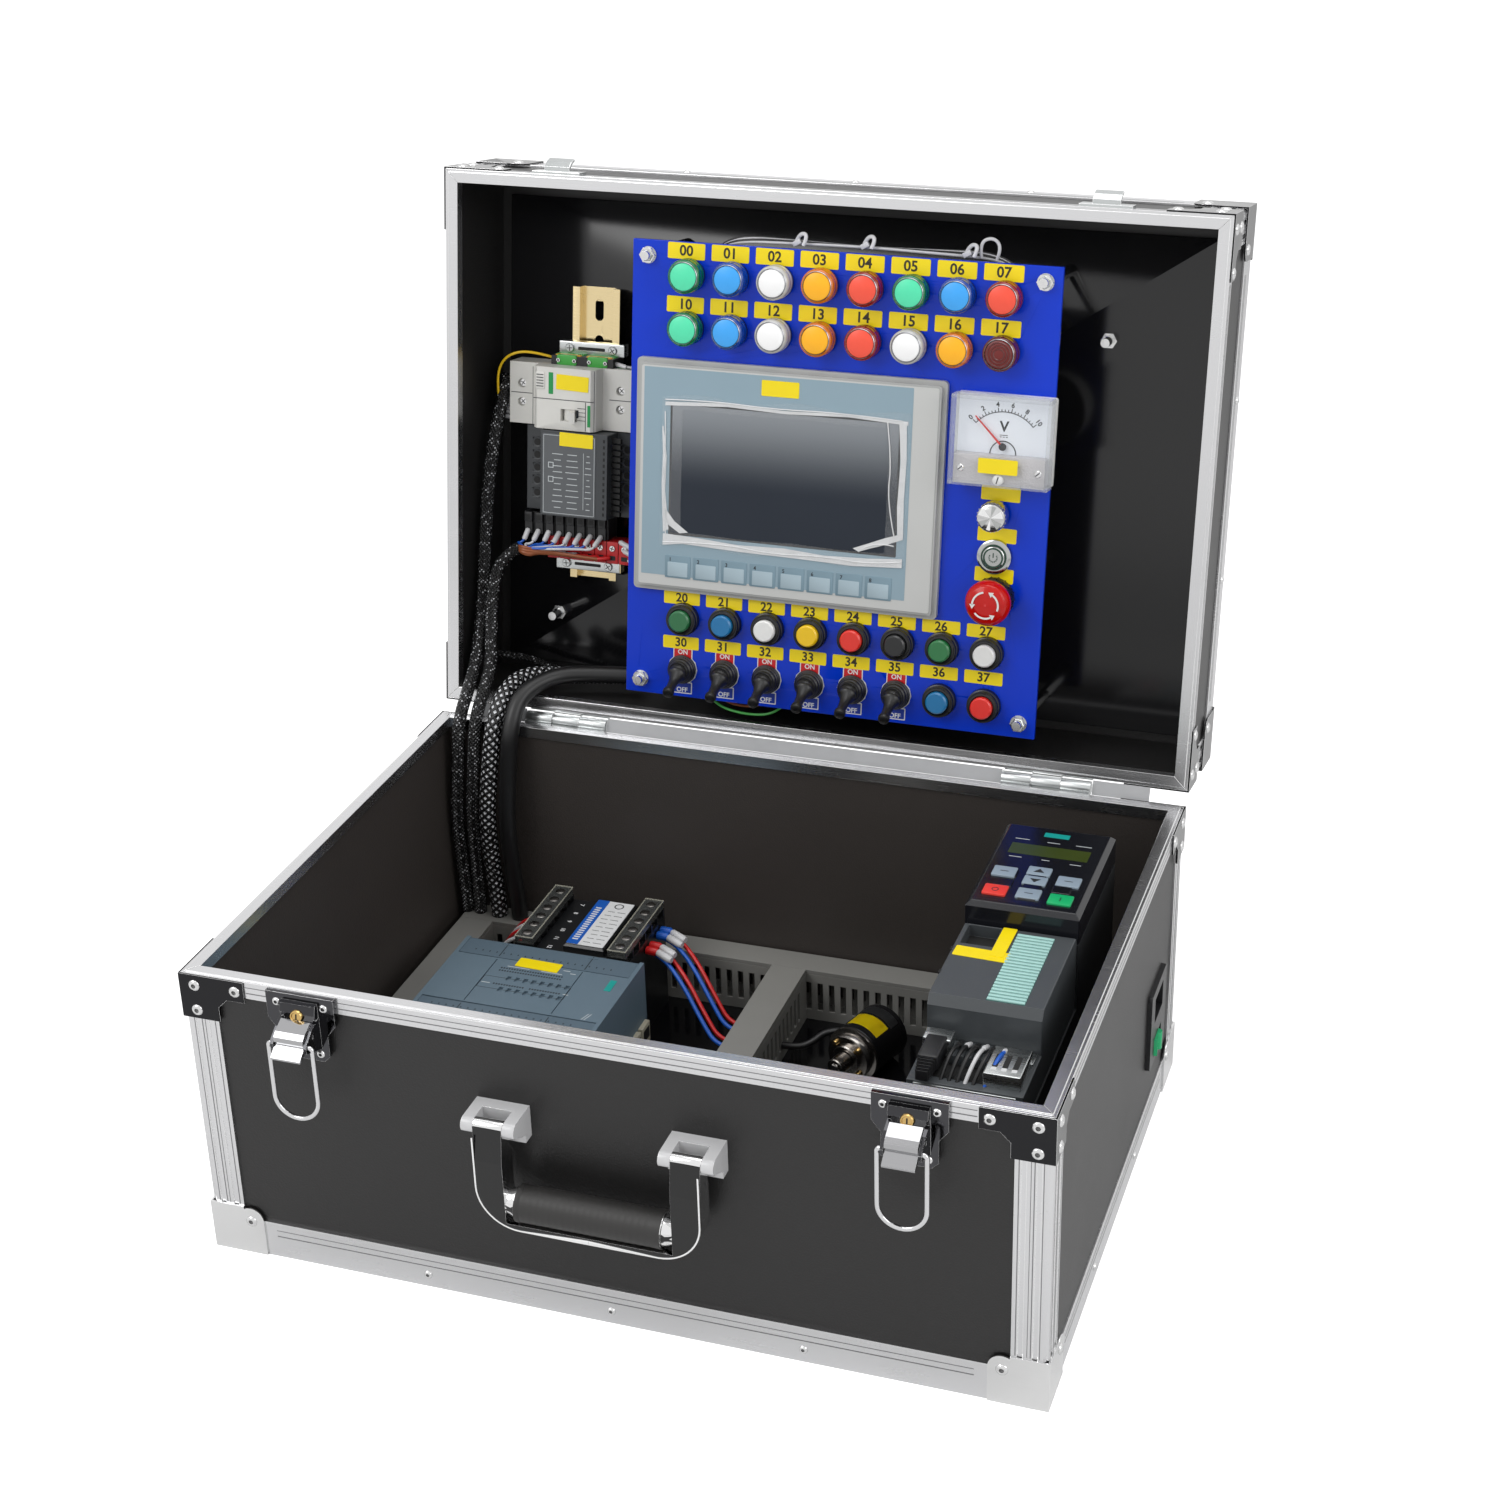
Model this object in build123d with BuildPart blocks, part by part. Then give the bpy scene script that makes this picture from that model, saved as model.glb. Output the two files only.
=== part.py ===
from build123d import *
import os
from math import cos, pi, radians, sin, tan

os.makedirs("parts", exist_ok=True)

# Controller trainer in an aluminium-edged case, in millimetres. X points right, Y back
# and Z up, with the origin under the middle of the base. The lid stands open.
CASE_W = 530.0
CASE_D = 370.0
BASE_H = 200.0
LID_H = 86.0
RIM_GAP = 2.0
OPEN_ANGLE = 100.0
HINGE_OFFSET = 6.0

# Clearance between neighbouring pieces, and of a pin in its bore
FIT = 0.2
RUN_FIT = 0.05

# Boards and the aluminium profiles that hold them
BOARD_T = 6.0
FLOOR_T = 8.0
LINER_T = 2.0
SKIN_T = 1.5
RIM_LEG = 12.0
RIM_WEB = 2.0
RIM_STEP = 0.8
LIP_T = 1.2
LIP_LEG = 8.0
EDGE_LEG = 25.0
FOOT_LEG = 22.0
POST_LEG = 22.0
CORNER_R = 3.0
GROOVE_W = 3.0
GROOVE_T = 0.6

# Stamped corner fittings
PLATE_T = 1.2
BRACE_W = 42.0
BRACE_H = 30.0
BRACE_ARM_H = 14.0
BRACE_LEG_W = 24.0
CAP_W = 35.0
CAP_H = 34.0
LUG_R = 8.5

BOARD_X = CASE_W / 2 - SKIN_T
BOARD_Y = CASE_D / 2 - SKIN_T
HINGE_Y = CASE_D / 2 + HINGE_OFFSET
HINGE_Z = BASE_H + RIM_GAP / 2


def in_frame(plane, origin, x_dir, z_dir):
    """A plane that is stated in the local frame of another plane."""
    return Plane(plane.location * Plane(origin=origin, x_dir=x_dir, z_dir=z_dir).location)


# The lid's rim plane: local X runs right, local Y from the hinge side to the free side and
# local Z out of the lid. It is stated with the lid closed and swung open about the hinge.
OPENING = (
    Location((0, HINGE_Y, HINGE_Z))
    * Location((0, 0, 0), (-OPEN_ANGLE, 0, 0))
    * Location((0, -HINGE_Y, -HINGE_Z))
)
CLOSED_LID = Plane(origin=(0, CASE_D / 2, BASE_H + RIM_GAP), x_dir=(1, 0, 0), z_dir=(0, 0, -1))
LID = Plane(OPENING * CLOSED_LID.location)
LID_TOP = in_frame(LID, (0, CASE_D / 2, -LID_H), (1, 0, 0), (0, 0, 1))
FRONT = Plane(origin=(0, -CASE_D / 2, 0), x_dir=(1, 0, 0), z_dir=(0, -1, 0))
BACK = Plane(origin=(0, CASE_D / 2, 0), x_dir=(-1, 0, 0), z_dir=(0, 1, 0))
LID_SIDE = in_frame(LID, (0, 0, 0), (0, 1, 0), (1, 0, 0))


def lid_section(u, v):
    """The plane through a device's own axis, square to the hinge side of the lid."""
    return in_frame(LID, (u, v, 0), (1, 0, 0), (0, -1, 0))


# Boards of a case half: the outer board is rebated for the profile's foot, and four wall
# boards stand on it.
def case_boards(plane, depth, outer_t):
    with BuildPart() as boards:
        with BuildSketch(plane):
            Rectangle(CASE_W - 2 * FOOT_LEG, CASE_D - 2 * FOOT_LEG)
        extrude(amount=SKIN_T)
        with BuildSketch(plane.offset(SKIN_T)):
            Rectangle(2 * BOARD_X, 2 * BOARD_Y)
        extrude(amount=outer_t - SKIN_T)
        with BuildSketch(plane.offset(outer_t + FIT)):
            with GridLocations(0, 2 * BOARD_Y - BOARD_T, 1, 2):
                Rectangle(2 * BOARD_X, BOARD_T)
            with GridLocations(2 * BOARD_X - BOARD_T, 0, 2, 1):
                Rectangle(BOARD_T, 2 * (BOARD_Y - BOARD_T - FIT))
        extrude(amount=depth - RIM_WEB - outer_t - 2 * FIT)
    return boards


# Profiles of a case half: an angle round the outer board, ribbed corner posts and a
# channel on the rim, mitred at the corners.
def mitres(length):
    for x, y, turn in ((1, 1, 45), (-1, -1, 45), (1, -1, -45), (-1, 1, -45)):
        with Locations((x * CASE_W / 2, y * CASE_D / 2)):
            Rectangle(3 * length, FIT, rotation=turn)


def ring(width, outer=0.0):
    Rectangle(CASE_W - 2 * outer, CASE_D - 2 * outer)
    Rectangle(CASE_W - 2 * (outer + width), CASE_D - 2 * (outer + width), mode=Mode.SUBTRACT)


def case_profiles(plane, depth):
    with BuildPart() as edges:
        with BuildSketch(plane):
            ring(SKIN_T)
        extrude(amount=EDGE_LEG)
        with BuildSketch(plane):
            ring(FOOT_LEG - FIT)
        extrude(amount=SKIN_T)
        with BuildSketch(plane):
            with GridLocations(CASE_W - CAP_W, CASE_D - CAP_W, 2, 2):
                Rectangle(CAP_W + 2 * FIT, CAP_W + 2 * FIT)
        extrude(amount=SKIN_T + FIT, mode=Mode.SUBTRACT)
        with BuildSketch(plane):
            mitres(FOOT_LEG)
        extrude(amount=EDGE_LEG, mode=Mode.SUBTRACT)
    with BuildPart() as posts:
        with BuildSketch(plane.offset(EDGE_LEG + FIT)):
            RectangleRounded(CASE_W, CASE_D, CORNER_R)
            Rectangle(CASE_W - 2 * SKIN_T, CASE_D - 2 * SKIN_T, mode=Mode.SUBTRACT)
            Rectangle(CASE_W - 2 * POST_LEG, CASE_D, mode=Mode.SUBTRACT)
            Rectangle(CASE_W, CASE_D - 2 * POST_LEG, mode=Mode.SUBTRACT)
            for share in (0.36, 0.76):
                inset = share * POST_LEG
                with GridLocations(CASE_W - 2 * inset, CASE_D, 2, 2):
                    Rectangle(GROOVE_W, 2 * GROOVE_T, mode=Mode.SUBTRACT)
                with GridLocations(CASE_W, CASE_D - 2 * inset, 2, 2):
                    Rectangle(2 * GROOVE_T, GROOVE_W, mode=Mode.SUBTRACT)
        extrude(amount=depth - RIM_LEG - EDGE_LEG - 2 * FIT)
    with BuildPart() as rims:
        with BuildSketch(plane.offset(depth - RIM_LEG)):
            ring(SKIN_T - FIT)
        extrude(amount=RIM_LEG)
        with BuildSketch(plane.offset(depth - LIP_LEG)):
            ring(LIP_T, SKIN_T + BOARD_T + FIT)
        extrude(amount=LIP_LEG)
        with BuildSketch(plane.offset(depth - RIM_WEB)):
            ring(SKIN_T + BOARD_T + FIT + LIP_T)
        extrude(amount=RIM_WEB)
        with BuildSketch(plane.offset(depth - RIM_STEP)):
            ring(RIM_WEB)
        extrude(amount=RIM_STEP, mode=Mode.SUBTRACT)
        with BuildSketch(plane.offset(depth - RIM_LEG)):
            mitres(SKIN_T + BOARD_T + LIP_T + FIT)
        extrude(amount=RIM_LEG, mode=Mode.SUBTRACT)
    with BuildPart() as profiles:
        add(edges.part)
        add(posts.part)
        add(rims.part)
    return profiles


# Corner fittings of a case half: a stepped brace bent round each rim corner and a
# three-sided cap with a riveted lug at each outer corner.
def brace_outline(corner, inward, top):
    with BuildLine() as outline:
        Polyline(
            (corner, top),
            (corner + inward * BRACE_W, top),
            (corner + inward * BRACE_W, top - BRACE_ARM_H),
            (corner + inward * (BRACE_LEG_W + 6), top - BRACE_ARM_H),
            (corner + inward * BRACE_LEG_W, top - BRACE_ARM_H - 6),
            (corner + inward * BRACE_LEG_W, top - BRACE_H),
            (corner, top - BRACE_H),
            close=True,
        )
    make_face(outline.edges())


def cap_outline(corner, inward):
    with BuildLine() as outline:
        Polyline(
            (corner, 0),
            (corner + inward * CAP_W, 0),
            (corner + inward * CAP_W, EDGE_LEG),
            (corner + inward * POST_LEG, EDGE_LEG),
            (corner + inward * POST_LEG, CAP_H),
            (corner, CAP_H),
            close=True,
        )
    make_face(outline.edges())
    with Locations((corner + inward * (CAP_W - LUG_R), EDGE_LEG)):
        Circle(LUG_R)


def corner_fittings(plane, depth):
    near = in_frame(plane, (0, -CASE_D / 2, 0), (1, 0, 0), (0, -1, 0))
    side = in_frame(plane, (CASE_W / 2, 0, 0), (0, 1, 0), (1, 0, 0))
    middle = in_frame(plane, (0, 0, 0), (0, 1, 0), (1, 0, 0))
    across = in_frame(plane, (0, 0, 0), (1, 0, 0), (0, -1, 0))
    top = depth - RIM_STEP
    with BuildPart() as fittings:
        with BuildSketch(near):
            brace_outline(CASE_W / 2, -1, top)
        extrude(amount=PLATE_T)
        with BuildSketch(side):
            brace_outline(-CASE_D / 2 - PLATE_T, 1, top)
        extrude(amount=PLATE_T)
        with BuildSketch(near):
            cap_outline(CASE_W / 2, -1)
        extrude(amount=PLATE_T)
        with BuildSketch(side):
            cap_outline(-CASE_D / 2 - PLATE_T, 1)
        extrude(amount=PLATE_T)
        with BuildSketch(plane):
            with Locations((CASE_W / 2 + PLATE_T, -CASE_D / 2 - PLATE_T)):
                Rectangle(CAP_W + PLATE_T, CAP_W + PLATE_T, align=(Align.MAX, Align.MIN))
            Rectangle(
                CASE_W - 2 * (FOOT_LEG - FIT), CASE_D - 2 * (FOOT_LEG - FIT), mode=Mode.SUBTRACT
            )
        extrude(amount=SKIN_T)
        mirror(about=middle)
        mirror(about=across)
    return fittings


# Mains inlet in the right wall: its cut-out is needed by the boards
INLET_Y = CASE_D / 2 - 69
INLET_Z = 80.0
INLET_W = 48.0
INLET_H = 56.0
INLET_FLANGE = 2.5
INLET_PLATE = 3.0
INLET_DEPTH = 24.0
RIGHT = Plane(origin=(BOARD_X, 0, 0), x_dir=(0, 1, 0), z_dir=(1, 0, 0))

base_shell = case_boards(Plane.XY, BASE_H, FLOOR_T)
with BuildPart() as base_boards:
    add(base_shell.part)
    with BuildSketch(RIGHT):
        with Locations((INLET_Y, INLET_Z)):
            Rectangle(INLET_W - 2 * INLET_FLANGE, INLET_H - 2 * INLET_FLANGE)
    extrude(amount=-BOARD_T, mode=Mode.SUBTRACT)
    with BuildSketch(Plane.XY.offset(FLOOR_T + FIT)):
        Rectangle(2 * (BOARD_X - BOARD_T - FIT), 2 * (BOARD_Y - BOARD_T - FIT))
    extrude(amount=LINER_T - FIT)
base_boards.part.label = "base_boards"
export_step(base_boards.part, "parts/base_boards.step")

base_profiles = case_profiles(Plane.XY, BASE_H)
base_profiles.part.label = "base_profiles"
export_step(base_profiles.part, "parts/base_profiles.step")

base_corner_fittings = corner_fittings(Plane.XY, BASE_H)
base_corner_fittings.part.label = "base_corner_fittings"
export_step(base_corner_fittings.part, "parts/base_corner_fittings.step")

lid_boards = case_boards(LID_TOP, LID_H, BOARD_T)
lid_boards.part.label = "lid_boards"
export_step(lid_boards.part, "parts/lid_boards.step")

lid_profiles = case_profiles(LID_TOP, LID_H)
lid_profiles.part.label = "lid_profiles"
export_step(lid_profiles.part, "parts/lid_profiles.step")

lid_corner_fittings = corner_fittings(LID_TOP, LID_H)
lid_corner_fittings.part.label = "lid_corner_fittings"
export_step(lid_corner_fittings.part, "parts/lid_corner_fittings.step")

DECK_Z = FLOOR_T + LINER_T

# Butt hinges behind the rim: outer knuckles and the pin belong to the base leaf, the
# middle knuckle to the lid leaf.
HINGE_X = CASE_W / 2 - 93
LEAF_W = 60.0
LEAF_T = 2.0
LEAF_H = 31.0
LEAF_SET = 5.0
KNUCKLE_R = 4.5
KNUCKLE_W = 20.0
HINGE_PIN_R = 2.0


with BuildPart() as hinge_base_leaves:
    for side in (-1, 1):
        start = side * HINGE_X - LEAF_W / 2
        with BuildSketch(Plane.YZ.offset(start)):
            with Locations((CASE_D / 2, HINGE_Z - LEAF_SET)):
                Rectangle(LEAF_T, LEAF_H, align=(Align.MIN, Align.MAX))
            with Locations((CASE_D / 2 - SKIN_T, BASE_H - RIM_LEG - FIT)):
                Rectangle(SKIN_T, LEAF_H - RIM_LEG, align=(Align.MIN, Align.MAX))
        extrude(amount=LEAF_W)
        for knuckle in (start, start + LEAF_W - KNUCKLE_W + FIT):
            with BuildSketch(Plane.YZ.offset(knuckle)):
                with Locations((HINGE_Y, HINGE_Z)):
                    Circle(KNUCKLE_R)
                with Locations((CASE_D / 2, HINGE_Z - LEAF_SET)):
                    Rectangle(LEAF_T, LEAF_SET, align=(Align.MIN, Align.MIN))
            extrude(amount=KNUCKLE_W - FIT)
        with BuildSketch(Plane.YZ.offset(start)):
            with Locations((HINGE_Y, HINGE_Z)):
                Circle(HINGE_PIN_R)
        extrude(amount=LEAF_W)
hinge_base_leaves.part.label = "hinge_base_leaves"
export_step(hinge_base_leaves.part, "parts/hinge_base_leaves.step")

# Lid leaves of the hinges, and the keepers that the latch bails hook over
KEEPER_X = CASE_W / 2 - 80
KEEPER_W = 34.0
KEEPER_HOOK_W = 18.0
AXIS_N = RIM_GAP / 2

with BuildPart() as lid_hardware:
    for side in (-1, 1):
        start = side * HINGE_X - LEAF_W / 2
        with BuildSketch(LID_SIDE.offset(start)):
            with Locations((0, AXIS_N - LEAF_SET)):
                Rectangle(LEAF_T, LEAF_H, align=(Align.MAX, Align.MAX))
        extrude(amount=LEAF_W)
        with BuildSketch(LID_SIDE.offset(start + KNUCKLE_W)):
            with Locations((-HINGE_OFFSET, AXIS_N)):
                Circle(KNUCKLE_R)
            with Locations((0, AXIS_N - LEAF_SET)):
                Rectangle(LEAF_T, LEAF_SET, align=(Align.MAX, Align.MIN))
            with Locations((-HINGE_OFFSET, AXIS_N)):
                Circle(HINGE_PIN_R + RUN_FIT, mode=Mode.SUBTRACT)
        extrude(amount=LEAF_W - 2 * KNUCKLE_W)
        with BuildSketch(LID_SIDE.offset(side * KEEPER_X - KEEPER_W / 2)):
            with Locations((CASE_D, -RIM_STEP)):
                Rectangle(LEAF_T, RIM_LEG, align=(Align.MIN, Align.MAX))
        extrude(amount=KEEPER_W)
        with BuildSketch(LID_SIDE.offset(side * KEEPER_X - KEEPER_HOOK_W / 2)):
            with BuildLine():
                Polyline(
                    (CASE_D + 1, -3), (CASE_D + 5, -3), (CASE_D + 8, -6.5), (CASE_D + 10, -12),
                    (CASE_D + 8.5, -13), (CASE_D + 6.5, -8), (CASE_D + 4.5, -6), (CASE_D + 1, -6),
                    close=True,
                )
            make_face()
        extrude(amount=KEEPER_HOOK_W)
lid_hardware.part.label = "lid_hardware"
export_step(lid_hardware.part, "parts/lid_hardware.step")

# Carry handle: cast arms on two pins, joined by a bar under a rubber grip
HANDLE_X = 60.5
ARM_W = 18.0
EAR_W = 7.4
HANDLE_PIN_R = 3.0
HANDLE_PIN_Z = 141.5
HANDLE_PIN_OUT = 18.5
HANDLE_BARREL_R = 4.8
HANDLE_BOTTOM = 76.5
HANDLE_T = 15.0
HANDLE_BEND_R = 27.0
HANDLE_BAR_T = 4.0
HANDLE_TAPER = 20.0
GRIP_R = 11.0
GRIP_SET = 6.0
BRACKET_BAR = 7.0
BRACKET_FOOT = 11.0
BRACKET_W = ARM_W + 2 * (EAR_W + FIT)
PIN_Y = -CASE_D / 2 - HANDLE_PIN_OUT

with BuildPart() as handle_brackets:
    for side in (-1, 1):
        with BuildSketch(FRONT.offset(-SKIN_T)):
            with Locations((side * HANDLE_X, HANDLE_PIN_Z + HANDLE_BARREL_R)):
                Rectangle(
                    BRACKET_W, 2 * HANDLE_BARREL_R + BRACKET_FOOT, align=(Align.CENTER, Align.MAX)
                )
        extrude(amount=SKIN_T + BRACKET_BAR)
        for edge in (-BRACKET_W / 2, BRACKET_W / 2 - EAR_W):
            with BuildSketch(Plane.YZ.offset(side * HANDLE_X + edge)):
                with Locations((PIN_Y, HANDLE_PIN_Z)):
                    Circle(HANDLE_BARREL_R)
                with BuildLine():
                    Polyline(
                        (-CASE_D / 2, HANDLE_PIN_Z + HANDLE_BARREL_R),
                        (PIN_Y, HANDLE_PIN_Z + HANDLE_BARREL_R),
                        (PIN_Y, HANDLE_PIN_Z - HANDLE_BARREL_R),
                        (-CASE_D / 2, HANDLE_PIN_Z - HANDLE_BARREL_R - BRACKET_FOOT + 1),
                        close=True,
                    )
                make_face()
            extrude(amount=EAR_W)
        with BuildSketch(Plane.YZ.offset(side * HANDLE_X - BRACKET_W / 2)):
            with Locations((PIN_Y, HANDLE_PIN_Z)):
                Circle(HANDLE_PIN_R)
        extrude(amount=BRACKET_W)
HANDLE_OUT_X = HANDLE_X + ARM_W / 2
HANDLE_IN_X = HANDLE_X - ARM_W / 2
GRIP_HALF = HANDLE_IN_X - GRIP_SET
GRIP_Z = HANDLE_BOTTOM + HANDLE_BAR_T + FIT + GRIP_R
with BuildPart() as carry_handle:
    with BuildSketch(FRONT.offset(HANDLE_PIN_OUT - HANDLE_T / 2)) as handle_outline:
        with Locations((0, HANDLE_BOTTOM)):
            Rectangle(
                2 * HANDLE_OUT_X, HANDLE_PIN_Z + HANDLE_BARREL_R - HANDLE_BOTTOM,
                align=(Align.CENTER, Align.MIN),
            )
        fillet(handle_outline.vertices().group_by(Axis.Y)[0], HANDLE_BEND_R)
        with Locations((0, HANDLE_BOTTOM + HANDLE_BAR_T)):
            Rectangle(
                2 * HANDLE_IN_X, HANDLE_PIN_Z, align=(Align.CENTER, Align.MIN), mode=Mode.SUBTRACT
            )
    extrude(amount=HANDLE_T)
    with BuildSketch(Plane.YZ):
        with Locations((PIN_Y, HANDLE_PIN_Z)):
            Circle(HANDLE_BARREL_R)
        with BuildLine():
            Polyline(
                (PIN_Y - HANDLE_BARREL_R, HANDLE_PIN_Z), (PIN_Y + HANDLE_BARREL_R, HANDLE_PIN_Z),
                (PIN_Y + HANDLE_T / 2, HANDLE_PIN_Z - HANDLE_TAPER),
                (PIN_Y + HANDLE_T / 2, HANDLE_BOTTOM - 1),
                (PIN_Y - HANDLE_T / 2, HANDLE_BOTTOM - 1),
                (PIN_Y - HANDLE_T / 2, HANDLE_PIN_Z - HANDLE_TAPER),
                close=True,
            )
        make_face()
    extrude(amount=HANDLE_OUT_X, both=True, mode=Mode.INTERSECT)
    for side in (-1, 1):
        with BuildSketch(Plane.XY.offset(GRIP_Z)):
            with BuildLine():
                Polyline(
                    (side * GRIP_HALF, PIN_Y), (side * GRIP_HALF, PIN_Y - GRIP_R + 1.5),
                    (side * HANDLE_IN_X, PIN_Y - HANDLE_T / 2), (side * HANDLE_IN_X, PIN_Y),
                    close=True,
                )
            make_face()
        revolve(axis=Axis((0, PIN_Y, GRIP_Z), (1, 0, 0)))
    with BuildSketch(Plane.YZ):
        with Locations((PIN_Y, HANDLE_PIN_Z)):
            Circle(HANDLE_PIN_R + RUN_FIT)
    extrude(amount=HANDLE_OUT_X, both=True, mode=Mode.SUBTRACT)
    with BuildSketch(Plane.YZ.offset(-GRIP_HALF + FIT)):
        with Locations((PIN_Y, GRIP_Z)):
            Circle(GRIP_R)
    extrude(amount=2 * (GRIP_HALF - FIT))
carry_handle.part.label = "carry_handle"
export_step(carry_handle.part, "parts/carry_handle.step")

# Draw latches: a pressed plate with a lock housing and two ears, a lever and a wire bail
LATCH_X = KEEPER_X
LATCH_PLATE_T = 3.0
LATCH_TOP = BASE_H - 1.5
LATCH_BOTTOM = 155.0
LATCH_W = 44.0
LATCH_NECK_W = 33.0
LEVER_OUT = 13.0
LEVER_PIN_Z = 178.0
BAIL_OUT = 18.5
BAIL_PIN_Z = 174.0
LATCH_PIN_R = 1.5
LEVER_HALF = 9.5
EAR_T = 2.0
BAIL_HALF = 14.2
BAIL_BOTTOM = 123.0
LEVER_Y = -CASE_D / 2 - LEVER_OUT
BAIL_Y = -CASE_D / 2 - BAIL_OUT
PLATE_Y = -CASE_D / 2 - LATCH_PLATE_T

with BuildPart() as latch_plates:
    for side in (-1, 1):
        middle = side * LATCH_X
        with BuildSketch(FRONT):
            with BuildLine():
                Polyline(
                    (middle - LATCH_NECK_W / 2 + 4, LATCH_BOTTOM),
                    (middle - LATCH_NECK_W / 2, LATCH_BOTTOM + 4),
                    (middle - LATCH_NECK_W / 2, LATCH_TOP - 25),
                    (middle - LATCH_W / 2, LATCH_TOP - 18),
                    (middle - LATCH_W / 2, LATCH_TOP), (middle + LATCH_W / 2, LATCH_TOP),
                    (middle + LATCH_W / 2, LATCH_TOP - 18),
                    (middle + LATCH_NECK_W / 2, LATCH_TOP - 25),
                    (middle + LATCH_NECK_W / 2, LATCH_BOTTOM + 4),
                    (middle + LATCH_NECK_W / 2 - 4, LATCH_BOTTOM),
                    close=True,
                )
            make_face()
        extrude(amount=LATCH_PLATE_T)
        with BuildSketch(FRONT.offset(-SKIN_T)):
            with Locations((middle, LATCH_BOTTOM)):
                Rectangle(
                    LATCH_NECK_W - 8, BASE_H - RIM_LEG - FIT - LATCH_BOTTOM,
                    align=(Align.CENTER, Align.MIN),
                )
        extrude(amount=SKIN_T)
        with BuildSketch(Plane.YZ.offset(middle - LEVER_HALF - EAR_T)):
            with BuildLine():
                Polyline(
                    (PLATE_Y, LATCH_TOP - 4), (PLATE_Y - 3, LATCH_TOP - 4.5),
                    (PLATE_Y - 4.5, LEVER_PIN_Z + 10.5), (PLATE_Y - 1.5, LEVER_PIN_Z + 4.5),
                    (PLATE_Y, LEVER_PIN_Z + 4.5),
                    close=True,
                )
            make_face()
        extrude(amount=2 * (LEVER_HALF + EAR_T))
        for edge in (-LEVER_HALF - 0.3 - EAR_T, LEVER_HALF + 0.3):
            with BuildSketch(Plane.YZ.offset(middle + edge)):
                with BuildLine():
                    Polyline(
                        (PLATE_Y, LEVER_PIN_Z + 8), (LEVER_Y, LEVER_PIN_Z + 4),
                        (BAIL_Y - 1.5, BAIL_PIN_Z + 3), (BAIL_Y - 3, BAIL_PIN_Z + 1),
                        (BAIL_Y - 2.5, BAIL_PIN_Z - 3), (PLATE_Y, LEVER_PIN_Z - 14),
                        close=True,
                    )
                make_face()
                for out, height in ((LEVER_Y, LEVER_PIN_Z), (BAIL_Y, BAIL_PIN_Z)):
                    with Locations((out, height)):
                        Circle(LATCH_PIN_R + RUN_FIT, mode=Mode.SUBTRACT)
            extrude(amount=EAR_T)
with BuildPart() as front_fittings:
    add(handle_brackets.part)
    add(latch_plates.part)
front_fittings.part.label = "front_fittings"
export_step(front_fittings.part, "parts/front_fittings.step")

for side, name in ((-1, "left"), (1, "right")):
    middle = side * LATCH_X
    with BuildPart() as latch_lever:
        with BuildSketch(Plane.YZ.offset(middle - LEVER_HALF)):
            with BuildLine():
                Polyline(
                    (LEVER_Y + 5, LEVER_PIN_Z + 6.5), (LEVER_Y + 3.5, LEVER_PIN_Z + 7.5),
                    (LEVER_Y - 4.5, LEVER_PIN_Z + 3.5), (LEVER_Y - 7.5, LEVER_PIN_Z + 1),
                    (LEVER_Y - 7.8, LEVER_PIN_Z - 2), (LEVER_Y - 6.2, LEVER_PIN_Z - 4),
                    (LEVER_Y - 9.5, LEVER_PIN_Z - 6.5), (LEVER_Y - 13.5, LEVER_PIN_Z - 9.5),
                    (LEVER_Y - 13, LEVER_PIN_Z - 11), (LEVER_Y - 7, LEVER_PIN_Z - 8.8),
                    (LEVER_Y - 2, LEVER_PIN_Z - 5), (LEVER_Y + 2.5, LEVER_PIN_Z - 2.5),
                    (LEVER_Y + 3, LEVER_PIN_Z + 2),
                    close=True,
                )
            make_face()
        extrude(amount=2 * LEVER_HALF)
        with BuildSketch(Plane.YZ.offset(middle - LEVER_HALF - EAR_T)):
            with Locations((LEVER_Y, LEVER_PIN_Z)):
                Circle(LATCH_PIN_R)
        extrude(amount=2 * (LEVER_HALF + EAR_T))
    latch_lever.part.label = f"{name}_latch_lever"
    export_step(latch_lever.part, f"parts/{name}_latch_lever.step")

    stub = LEVER_HALF + 0.4
    with BuildPart() as latch_bail:
        with BuildLine() as bail_wire:
            FilletPolyline(
                (middle - stub, BAIL_Y, BAIL_PIN_Z),
                (middle - BAIL_HALF, BAIL_Y, BAIL_PIN_Z),
                (middle - BAIL_HALF, BAIL_Y, BAIL_BOTTOM),
                (middle + BAIL_HALF, BAIL_Y, BAIL_BOTTOM),
                (middle + BAIL_HALF, BAIL_Y, BAIL_PIN_Z),
                (middle + stub, BAIL_Y, BAIL_PIN_Z),
                radius=[2.1, BAIL_HALF - 0.1, BAIL_HALF - 0.1, 2.1],
            )
        with BuildSketch(Plane.YZ.offset(middle - stub)):
            with Locations((BAIL_Y, BAIL_PIN_Z)):
                Circle(LATCH_PIN_R)
        sweep()
    latch_bail.part.label = f"{name}_latch_bail"
    export_step(latch_bail.part, f"parts/{name}_latch_bail.step")

# Slotted wiring ducts on the deck: U-shaped troughs with snap-on covers
DUCT_H = 40.0
DUCT_WALL = 1.6
DUCT_TOP_T = 3.0
BACK_DUCT_Y = CASE_D / 2 - 19.5
BACK_DUCT_W = 21.0
BACK_DUCT_LEFT = -CASE_W / 2 + 15
BACK_DUCT_RIGHT = CASE_W / 2 - 145
MIDDLE_DUCT_W = 25.0
MIDDLE_DUCT_X = BACK_DUCT_LEFT + 250.5
LEFT_DUCT_W = 25.0
LEFT_DUCT_X = BACK_DUCT_LEFT + LEFT_DUCT_W / 2
DUCT_FRONT = -CASE_D / 2 + 13
SLOT_PITCH = 8.4
SLOT_W = 4.0
SLOT_H = 22.0
BRANCH_END = BACK_DUCT_Y - BACK_DUCT_W / 2 - FIT


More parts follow.
